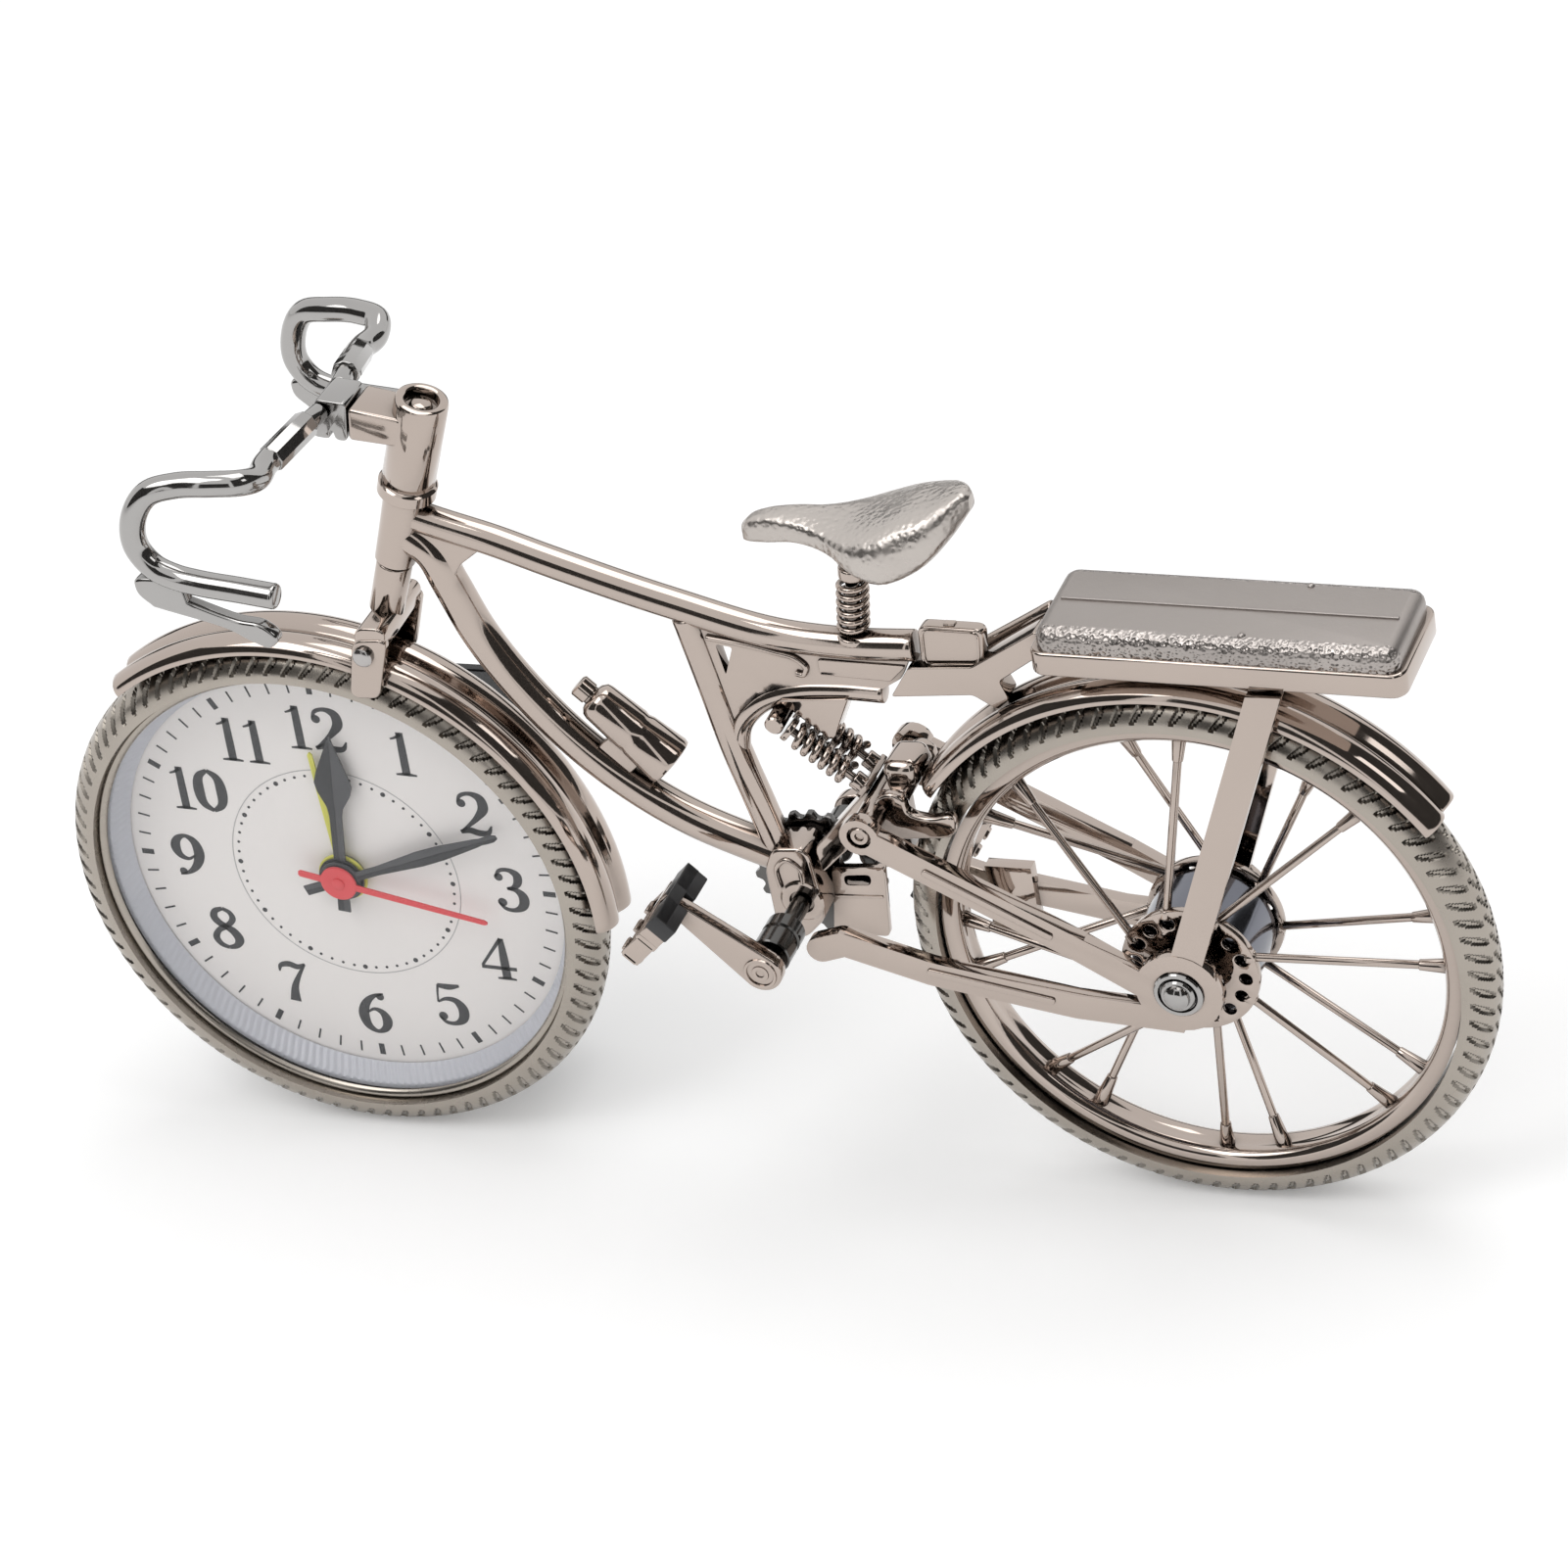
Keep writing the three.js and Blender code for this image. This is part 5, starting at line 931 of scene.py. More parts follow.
@dataclass
class ClockFace:
    """The dial's print, the ribbed funnel ring, the lens and the hands."""

    paint: Paintbox
    turn_degrees: float = 2.5
    face: float = 2.2
    ink: float = 0.05
    numeral_scale: float = 1.04
    tick_middle: float = 32.9
    hour_tick: tuple[float, float] = (2.0, 0.9)
    minute_tick: tuple[float, float] = (1.9, 0.28)
    track_radius: float = 18.4
    dot_track: float = 17.4
    funnel: tuple[tuple[float, float], tuple[float, float]] = ((1.9, 35.0), (-1.1, 36.9))
    drum: float = 37.6
    ribs: int = 190
    rib_depth: float = 0.17
    rib_lean: float = 7.0
    hand_thickness: float = 0.3
    boss_bore: float = 0.7

    def build(self) -> None:
        """Makes every piece of the face."""
        self.dress_card()
        self.print_numerals()
        self.print_track()
        self.make_funnel()
        self.make_lens()
        self.make_hands()

    def spot(self, radius: float, degrees: float) -> Vector:
        """A point on the printed face, by its angle clockwise from the dial's twelve."""
        angle = math.radians(degrees + self.turn_degrees)
        return Vector((radius * math.sin(angle), self.face, AXLE_Z + radius * math.cos(angle)))

    def dress_card(self) -> None:
        """Gives the CAD dial its paper."""
        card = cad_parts["dial"]
        card.data.materials.clear()
        card.data.materials.append(self.paint.card)

    def print_numerals(self) -> None:
        """Prints the twelve numerals, upright to the dial."""
        bm = bmesh.new()
        lean = math.radians(self.turn_degrees)
        lift = Vector((0, -self.ink, 0))
        for hour, (radius, shifts) in enumerate(NUMERALS, 1):
            centre = self.spot(radius, hour * 30.0)
            for digit, shift in zip(str(hour), shifts):
                flip = -1.0 if digit == "9" else 1.0
                shape = "6" if digit == "9" else digit

                def place(x: float, z: float) -> Vector:
                    """Sets a point of the digit on the dial."""
                    u, v = (x * flip + shift) * self.numeral_scale, z * flip * self.numeral_scale
                    across = u * math.cos(lean) + v * math.sin(lean)
                    return centre + Vector((across, 0, v * math.cos(lean) - u * math.sin(lean)))

                for stroke in STROKES[shape]:
                    ribbon(bm, stroke, place, lift)
                for x, z, radius_ball in BALLS.get(shape, ()):
                    self.blot(bm, place(x, z), radius_ball, 14)
        publish(bm, Placement("dial_numerals", Body.FORK, Slot.DIAL), [self.paint.ink])

    def blot(self, bm: bmesh.types.BMesh, centre: Vector, radius: float, sides: int) -> None:
        """Adds a round spot of ink.

        Args:
            bm: The bmesh to add to.
            centre: Its centre on the face.
            radius: Its radius.
            sides: Its sides.
        """
        place = Matrix.Translation(centre) @ Matrix.Rotation(math.radians(90), 4, "X")
        before = set(bm.faces)
        bmesh.ops.create_circle(bm, cap_ends=True, segments=sides, radius=radius, matrix=place)
        raise_ink(bm, [f for f in bm.faces if f not in before], Vector((0, -self.ink, 0)))

    def tick(self, bm: bmesh.types.BMesh, degrees: float, length: float, width: float) -> None:
        """Prints one mark of the minute track.

        Args:
            bm: The bmesh to add to.
            degrees: Its place, clockwise from twelve.
            length: Its length.
            width: Its width.
        """
        spin = Matrix.Rotation(math.radians(degrees + self.turn_degrees), 4, "Y")
        middle = self.spot(self.tick_middle, degrees) - Vector((0, self.ink / 2, 0))
        place = Matrix.Translation(middle) @ spin
        bmesh.ops.create_cube(
            bm, size=1.0, matrix=place @ Matrix.Diagonal((width, self.ink, length, 1.0))
        )

    def print_track(self) -> None:
        """Prints the minute marks, the inner circle and its dots."""
        bm = bmesh.new()
        for minute in range(60):
            length, width = self.hour_tick if minute % 5 == 0 else self.minute_tick
            self.tick(bm, minute * 6.0, length, width)
        publish(bm, Placement("dial_minute_marks", Body.FORK, Slot.DIAL), [self.paint.ink])
        bm = bmesh.new()
        for minute in range(60):
            size = 0.4 if minute % 5 == 0 else 0.23
            self.blot(bm, self.spot(self.dot_track, minute * 6.0), size, 12)
        publish(bm, Placement("dial_dots", Body.FORK, Slot.DIAL), [self.paint.ink])
        bm = bmesh.new()
        half = 0.07
        near, far = self.face - self.ink, self.face
        low, high = self.track_radius - half, self.track_radius + half
        profile = [(near, low), (near, high), (far, high), (far, low), (near, low)]
        turn(bm, profile, CLOCK_AXLE, ACROSS, 120)
        publish(bm, Placement("dial_inner_circle", Body.FORK, Slot.DIAL), [self.paint.ink_light])

    def make_funnel(self) -> None:
        """Turns the funnel ring and cuts its slanted ribs."""
        (inner_y, inner_r), (mouth_y, mouth_r) = self.funnel
        rows = 8
        depth, flare = mouth_y - inner_y, mouth_r - inner_r
        cone = [(inner_y + depth * i / rows, inner_r + flare * i / rows) for i in range(rows + 1)]
        bm = bmesh.new()
        profile = [*cone, (mouth_y, self.drum), (inner_y, self.drum), cone[0]]
        verts = turn(bm, profile, CLOCK_AXLE, ACROSS, self.ribs * 4)
        for v in verts:
            out = Vector((v.co.x, 0, v.co.z - AXLE_Z))
            share = (v.co.y - inner_y) / (mouth_y - inner_y)
            if out.length < self.drum - 0.3 and 0.05 < share < 0.95:
                wave = math.cos(math.atan2(out.x, out.z) * self.ribs + share * self.rib_lean)
                v.co += out.normalized() * self.rib_depth * wave
        publish(
            bm, Placement("funnel_ring", Body.FORK, Slot.RING, ("dial_ring",)), [self.paint.frost],
            60.0,
        )
        bm = bmesh.new()
        bead = [
            (-2.45, 36.75), (-2.75, 36.9), (-3.05, 37.3), (-3.1, 37.7), (-2.95, 37.95),
            (-2.45, 37.95), (-2.45, 36.75),
        ]
        turn(bm, bead, CLOCK_AXLE, ACROSS, 180)
        publish(bm, Placement("bezel_bead", Body.FORK, Slot.SILVER), [self.paint.tyre])

    def make_lens(self) -> None:
        """Turns the lens with a softened rim."""
        low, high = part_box("clock_lens")
        radius = (high.x - low.x) / 2 / MM
        near, far = low.y / MM, high.y / MM
        soft = 0.25
        bm = bmesh.new()
        profile = [
            (near, 0.0),
            (near, radius - soft * 3),
            (near + soft * 0.3, radius - soft),
            (near + soft, radius),
            (far, radius),
            (far, 0.0),
        ]
        turn(bm, profile, CLOCK_AXLE, ACROSS, 128)
        publish(
            bm, Placement("lens_pane", Body.FORK, Slot.LENS, ("clock_lens",)), [self.paint.lens],
            50.0,
        )

    def blade(
        self,
        half: Sequence[tuple[float, float]],
        degrees: float,
        face: float,
        placement: Placement,
        materials: Sequence[bpy.types.Material],
        disc: float,
    ) -> None:
        """Cuts a hand with a round boss, one half painted lit and the other painted shaded in place
        of a ridge's two facets.

        Args:
            half: Half its outline, as pairs of half-width and reach.
            degrees: Where it points, clockwise from straight up.
            face: Its front face, across.
            placement: Its name, body and slot.
            materials: The two halves' materials; for the black hands, a painted shaded and a
                painted lit copy of one black.
            disc: Radius of its boss.
        """
        angle = math.radians(degrees)
        ahead = Vector((math.sin(angle), 0, math.cos(angle)))
        across = Vector((math.cos(angle), 0, -math.sin(angle)))
        centre, back = CLOCK_AXLE, face + self.hand_thickness
        bm = bmesh.new()
        # The two halves take the two materials; on the black hands these are painted shade and
        # painted highlight.
        for index, side in enumerate((-1.0, 1.0)):
            edge = [centre + ahead * r + across * w * side for w, r in half]
            outline = [centre + ahead * half[0][1], *edge, centre + ahead * half[-1][1]]
            clean = [p for i, p in enumerate(outline) if (p - outline[i - 1]).length > TINY]
            for f in plate(bm, clean, face, back, 0.04, segments=1):
                f.material_index = index
        before = set(bm.faces)
        proud, bore = face - 0.04, self.boss_bore
        rim = [(proud, disc - 0.15), (face + 0.05, disc), (back, disc)]
        turn(bm, [(proud, bore), *rim, (back, bore), (proud, bore)], centre, ACROSS, 40)
        for f in bm.faces:
            if f not in before:
                f.material_index = 0
        publish(bm, placement, materials, 30.0)

    def make_hands(self) -> None:
        """Cuts the four hands at the photographed time."""
        p = self.paint
        hour = [
            (1.0, -6.0), (0.9, 0.0), (1.0, 11.5), (1.25, 13.0), (2.6, 15.6), (3.0, 17.2),
            (2.5, 19.2), (1.4, 22.2), (0.5, 24.8), (0.05, 26.1),
        ]
        self.blade(
            hour, 8.15, 0.4, Placement("hour_spade", Body.HOUR, Slot.BLACK_HAND, ("hour_hand",)),
            [p.hand_dark, p.hand_pale], 3.6,
        )
        minute = [
            (0.85, -6.5), (0.8, 0.0), (0.75, 7.0), (1.3, 15.0), (1.25, 19.0), (0.7, 25.5),
            (0.55, 26.4), (0.62, 27.4), (0.6, 28.6), (0.3, 29.3),
        ]
        self.blade(
            minute, 70.3, -0.2,
            Placement("minute_lance", Body.MINUTE, Slot.BLACK_HAND, ("minute_hand",)),
            [p.hand_pale, p.hand_dark], 3.3,
        )
        second = [(0.3, -6.5), (0.55, -6.2), (0.56, 0.0), (0.5, 12.0), (0.42, 23.3), (0.2, 23.8)]
        self.blade(
            second, 103.3, -0.8,
            Placement("second_needle", Body.SECOND, Slot.RED_HAND, ("second_hand",)),
            [p.coral, p.coral], 2.9,
        )
        alarm = [(0.5, -3.0), (0.52, 0.0), (0.48, 16.0), (0.4, 21.8), (0.1, 22.2)]
        self.blade(
            alarm, -1.3, 1.0,
            Placement("alarm_needle", Body.ALARM, Slot.YELLOW_HAND, ("alarm_hand",)),
            [p.yellow, p.yellow], 3.9,
        )
        bm = bmesh.new()
        turn(
            bm, [(-1.12, 0.0), (-1.12, 0.8), (-1.0, 1.0), (-0.86, 1.0), (-0.86, 0.0)], CLOCK_AXLE,
            ACROSS, 32,
        )
        publish(bm, Placement("second_cap", Body.SECOND, Slot.RED_HAND), [p.coral])


@dataclass
class Movement:
    """The clock's case behind the wheel, with its cover, knobs, switch and battery door."""

    paint: Paintbox
    knob_radius: float = 5.2
    knob_height: float = 3.4
    flutes: int = 30
    flute_depth: float = 0.12

    def build(self) -> None:
        """Softens the case's shells and dresses what is inside."""
        p = self.paint
        shells = {
            "movement_case": ("case_shell", Body.FORK, 0.35),
            "back_cover": ("case_cover", Body.FORK, 0.3),
            "battery_door": ("cell_door", Body.DOOR, 0.2),
            "alarm_switch": ("switch_slider", Body.SWITCH, 0.2),
        }
        for node, (name, body, edge) in shells.items():
            refine(node, Placement(name, body, Slot.CASE, (node,)), [p.case], edge)
        self.make_knob("time_knob", "time_setter", Body.TIME_KNOB)
        self.make_knob("alarm_knob", "alarm_setter", Body.ALARM_KNOB)
        hidden = {
            "battery": p.cell,
            "circuit_board": p.board,
            "buzzer": p.brass,
            "second_wheel": p.steel,
            "minute_wheel": p.gear,
            "hour_wheel": p.gear,
            "alarm_wheel": p.gear,
        }
        for node, material in hidden.items():
            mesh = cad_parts[node].data
            mesh.materials.clear()
            mesh.materials.append(material)

    def make_knob(self, node: str, name: str, body: Body) -> None:
        """Turns a setting knob with a fluted rim and a dished top.

        Args:
            node: The CAD node.
            name: The piece's name.
            body: The body it turns with.
        """
        low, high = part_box(node)
        x, z = (low.x + high.x) / 2 / MM, (low.z + high.z) / 2 / MM
        back, front = high.y / MM, high.y / MM - self.knob_height
        radius = self.knob_radius
        bm = bmesh.new()
        profile = [
            (front - 1.0, 0.0),
            (front - 1.0, 1.2),
            (front, 1.2),
            (front, radius - 0.4),
            (front + 0.4, radius),
            (back - 0.6, radius),
            (back - 0.15, radius - 0.4),
            (back, radius - 1.0),
            (back - 0.5, radius - 1.9),
            (back - 0.6, 0.0),
        ]
        verts = turn(bm, profile, at(x, z), ACROSS, 120)
        for v in verts:
            out = Vector((v.co.x - x, 0, v.co.z - z))
            if out.length > radius - 0.5:
                wave = math.cos(math.atan2(out.z, out.x) * self.flutes)
                v.co -= out.normalized() * (self.flute_depth - self.flute_depth * wave)
        publish(bm, Placement(name, body, Slot.CASE, (node,)), [self.paint.case], 50.0)


@dataclass
class Tyre:
    """A plated tyre with slanted slots in its sides and chevrons across the tread."""

    paint: Paintbox
    name: str
    node: str
    body: Body
    centre: float
    ring: float = 38.05
    section: float = 4.65
    lip: float = 38.0
    lip_half: float = 3.6
    slots: int = 88
    columns: int = 14
    rows: int = 36
    depth: float = 0.4
    side_band: Span = (16.0, 64.0)
    tread_band: Span = (72.0, 90.0)

    def build(self) -> None:
        """Turns the tyre and presses its pattern."""
        bm = bmesh.new()
        arc = []
        for i in range(self.rows + 1):
            angle = math.pi * i / self.rows
            arc.append(
                (-self.section * math.cos(angle), self.ring + self.section * math.sin(angle))
            )
        profile = [
            (-self.lip_half, self.lip), *arc, (self.lip_half, self.lip), (-self.lip_half, self.lip)
        ]
        verts = turn(bm, profile, at(self.centre, AXLE_Z), ACROSS, self.slots * self.columns)
        pressed = {v for v in verts if self.press(v)}
        # Painted shade: faces on the walls of the slots take the darker second material.
        for f in bm.faces:
            f.material_index = 1 if 0 < sum(v in pressed for v in f.verts) < len(f.verts) else 0
        placement = Placement(self.name, self.body, Slot.SATIN, (self.node,))
        publish(bm, placement, [self.paint.tyre, self.paint.groove], 32.0)

    def press(self, v: bmesh.types.BMVert) -> bool:
        """Presses a vertex in where the pattern has a slot, and keeps it above the ground.

        Args:
            v: The vertex.

        Returns:
            Whether it lies in a slot.
        """
        out = Vector((v.co.x - self.centre, 0, v.co.z - AXLE_Z))
        rise = math.degrees(math.atan2(out.length - self.ring, abs(v.co.y)))
        deep = self.in_slot(math.atan2(out.x, out.z), rise, out.length)
        if deep:
            core = out.normalized() * self.ring
            spot = Vector((self.centre + core.x, 0, AXLE_Z + core.z))
            v.co += (spot - v.co).normalized() * self.depth
        v.co.z = max(v.co.z, 0.0)
        return deep

    def in_slot(self, around: float, rise: float, radius: float) -> bool:
        """Tells whether a place on the tyre is in a slot.

        Args:
            around: Its angle round the wheel.
            rise: Its angle up the section, from the side to the tread.
            radius: Its distance from the axle.

        Returns:
            True in a slot.
        """
        pitch = 2 * math.pi / self.slots
        low, high = self.side_band
        start, end = self.tread_band
        if low <= rise <= high:
            lead = (rise - (low + high) / 2) / (high - low) * 0.85
            half = 0.22 + 0.32 * math.sqrt(math.sin(math.pi * (rise - low) / (high - low)))
        elif rise >= start:
            lead = 0.5 + (rise - (start + end) / 2) / (end - start) * 0.8
            half = 0.3
        else:
            return False
        share = around / pitch - lead
        return abs(share - round(share)) * pitch * radius < half


@dataclass
class Fender:
    """A mudguard with two rounded bands and a groove between."""

    paint: Paintbox
    name: str
    node: str
    body: Body
    centre: float
    start: float
    end: float

    def build(self) -> None:
        """Sweeps the section over its arc."""
        half = [
            (43.2, 5.3), (43.75, 5.27), (44.3, 5.0), (44.85, 4.5), (45.25, 3.8), (45.5, 3.1),
            (45.6, 2.4), (45.48, 1.7), (45.2, 0.95), (44.85, 0.4), (44.7, 0.0),
        ]
        inner = [(44.05, 0.0), (44.0, 3.0), (43.7, 4.1), (43.2, 4.55)]
        upper = [(r, -w) for r, w in half] + [(r, w) for r, w in reversed(half[:-1])]
        under = [(r, w) for r, w in reversed(inner)] + [(r, -w) for r, w in inner[1:]]
        bm = bmesh.new()
        first = math.radians(self.start)
        ahead = Vector((math.cos(first), 0, math.sin(first)))
        centre = at(self.centre, AXLE_Z)
        edges = chain(
            bm, [centre + ahead * r + Vector((0, w, 0)) for r, w in [*upper, *under]], True
        )
        face = bmesh.ops.contextual_create(bm, geom=edges)["faces"]
        bmesh.ops.spin(
            bm,
            geom=[*face, *edges, *face[0].verts],
            cent=centre,
            axis=(0, -1, 0),
            dvec=(0, 0, 0),
            angle=math.radians(self.end - self.start),
            steps=96,
            use_merge=False,
            use_normal_flip=False,
            use_duplicate=False,
        )
        rims = [
            e
            for e in bm.edges
            if len(e.link_faces) == 2 and e.calc_face_angle(0.0) > math.radians(70)
        ]
        soften(bm, rims, 0.12, 2)
        publish(
            bm, Placement(self.name, self.body, Slot.NICKEL, (self.node,)), [self.paint.nickel],
            40.0,
        )


@dataclass
class Steering:
    """Fork, stem, bar clamp, handlebars, levers and screws. Side is minus for the dial's side."""

    paint: Paintbox
    lean_degrees: float = 20.7
    axis_x: float = 26.7
    axis_z: float = 112.3
    bar_radius: float = 1.85
    far_droop: float = 0.09

    def on_axis(self, along: float) -> Vector:
        """A point on the steering axis."""
        lean = math.radians(self.lean_degrees)
        return at(self.axis_x + along * math.sin(lean), self.axis_z + along * math.cos(lean))

    def build(self) -> None:
        """Makes every piece of the steering."""
        self.make_fork()
        self.make_stem()
        for side, word in SIDES:
            self.make_bar(side, word)
            self.make_lever(side, word)
            self.make_screw(side, word)

    def make_lever(self, side: int, word: str) -> None:
        """Cuts a brake lever: a broad leaf under the bar that narrows to a hooked tip."""
        leaf = [
            (-1.3, 108.2), (-3.4, 110.7), (-3.3, 112.5), (-1.0, 113.0), (2.6, 112.2), (4.1, 111.2)
        ]
        arm = [
            (4.3, 109.3), (11.4, 106.7), (15.2, 105.9), (16.9, 103.7), (15.2, 102.3), (13.5, 102.9),
            (9.5, 105.1), (5.0, 106.5),
        ]
        outline = [*smooth_line(side_view(leaf), 5), *smooth_line(side_view(arm), 5)]
        near, far = sorted((side * 25.9, side * 28.1))
        bm = bmesh.new()
        plate(bm, outline, near, far, 0.55, segments=4)
        publish(
            bm, Placement(f"lever_{word}", Body.FORK, Slot.SILVER, (f"brake_lever_{word}",)),
            [self.paint.silver],
        )

    def make_fork(self) -> None:
        """Makes the steerer, crown and legs."""
        bm = bmesh.new()
        sweep(bm, [self.on_axis(-22.3), self.on_axis(-13.6)], 2.6, 40, 0.3)
        crown = [
            (16.2, 89.9), (16.4, 91.2), (17.4, 92.2), (20.6, 92.2), (21.3, 91.0), (20.5, 88.0),
            (16.2, 88.6),
        ]
        plate(bm, rounded(side_view(crown), 0.9), -6.9, 6.9, 0.4)
        leg = [
            (15.7, 89.1), (16.7, 90.2), (20.6, 90.5), (21.3, 89.6), (18.5, 81.3), (17.7, 80.4),
            (14.4, 80.3), (13.7, 81.2),
        ]
        for near, far in ((-7.2, -5.7), (5.7, 7.2)):
            plate(bm, rounded(side_view(leg), 0.8), near, far, 0.35)
        for near, far in ((-6.0, -3.0), (3.0, 6.0)):
            turn(bm, [(near, 0.0), (near, 0.9), (far, 0.9), (far, 0.0)], at(14.9, 81.3), ACROSS, 24)
        publish(bm, Placement("fork_crown", Body.FORK, Slot.NICKEL, ("fork",)), [self.paint.nickel])

    def make_screw(self, side: int, word: str) -> None:
        """Turns a domed fork screw with a slot."""
        bm = bmesh.new()
        profile = [(7.0, 0.0), (7.0, 1.5), (7.9, 1.5), (8.15, 1.25), (8.3, 0.8), (8.3, 0.0)]
        turn(bm, profile, at(17.4, 87.8), Vector((0, side, 0)), 40)
        publish(
            bm, Placement(f"crown_screw_{word}", Body.FORK, Slot.STEEL, (f"fork_screw_{word}",)),
            [self.paint.steel],
        )

    def make_stem(self) -> None:
        """Makes the stem with its collar, recessed cap, arm and clamp."""
        lean = (self.on_axis(1.0) - self.on_axis(0.0)).normalized()
        bm = bmesh.new()
        profile = [
            (-1.3, 1.9), (-1.3, 4.0), (-1.05, 4.25), (0.6, 4.25), (0.9, 3.95), (1.0, 3.72),
            (1.5, 3.72), (1.7, 3.85), (14.7, 3.85), (15.1, 3.7), (15.3, 3.35), (15.3, 2.85),
            (15.1, 2.55), (14.0, 2.35), (13.9, 1.7), (14.4, 1.5), (14.6, 1.2), (14.6, 0.0),
        ]
        turn(bm, profile, self.on_axis(0.0), lean, 72)
        arm = [(22.0, 126.5), (30.0, 124.8), (28.5, 120.5), (21.1, 121.4)]
        plate(bm, rounded(side_view(arm), 0.7), -3.5, 3.5, 0.5)
        publish(bm, Placement("stem_post", Body.FORK, Slot.NICKEL, ("stem",)), [self.paint.nickel])
        bm = bmesh.new()
        clamp = [
            (17.0, 127.7), (21.8, 127.1), (20.7, 121.0), (18.9, 121.2), (18.8, 122.6),
            (18.2, 122.6), (18.1, 121.3), (15.4, 121.7),
        ]
        plate(bm, rounded(side_view(clamp), 0.9), -3.2, 3.2, 0.5)
        publish(
            bm, Placement("clamp_block", Body.FORK, Slot.SILVER, ("bar_clamp",)),
            [self.paint.silver],
        )

    def make_bar(self, side: int, word: str) -> None:
        """Bends one handlebar with its neck and faceted sleeve."""
        path = [
            (17.1, 6.8, 126.0), (15.9, 12.0, 125.6), (15.1, 16.8, 125.3), (15.5, 20.5, 125.4),
            (14.6, 23.6, 126.5), (11.0, 25.0, 127.0), (5.6, 25.6, 126.9), (1.6, 26.4, 126.0),
            (-1.3, 27.0, 122.3), (-2.0, 27.0, 117.5), (-0.1, 27.0, 114.4), (3.0, 27.0, 112.8),
            (6.0, 27.0, 112.1), (12.5, 27.0, 111.2), (18.0, 27.0, 110.4),
        ]
        bm = bmesh.new()
        droop = self.far_droop if side > 0 else 0.0
        points = [
            Vector((x, side * reach, z - droop * (reach - path[0][1])))
            for x, reach, z in path
        ]
        sweep(bm, smooth_line(points, 8), self.bar_radius, 32, 0.5)
        neck = [Vector((17.6, side * 3.5, 125.9)), Vector((17.0, side * 7.6, 126.0))]
        sweep(bm, neck, 1.45, 24, 0.2)
        sleeve = [
            Vector((17.1, side * 6.6, 126.0)), Vector((15.3, side * 15.6, 125.3 - droop * 9.0))
        ]
        sweep(bm, sleeve, 2.05, 8, 0.25)
        publish(
            bm, Placement(f"bar_{word}", Body.FORK, Slot.SILVER, (f"handlebar_{word}",)),
            [self.paint.silver], 36.0,
        )


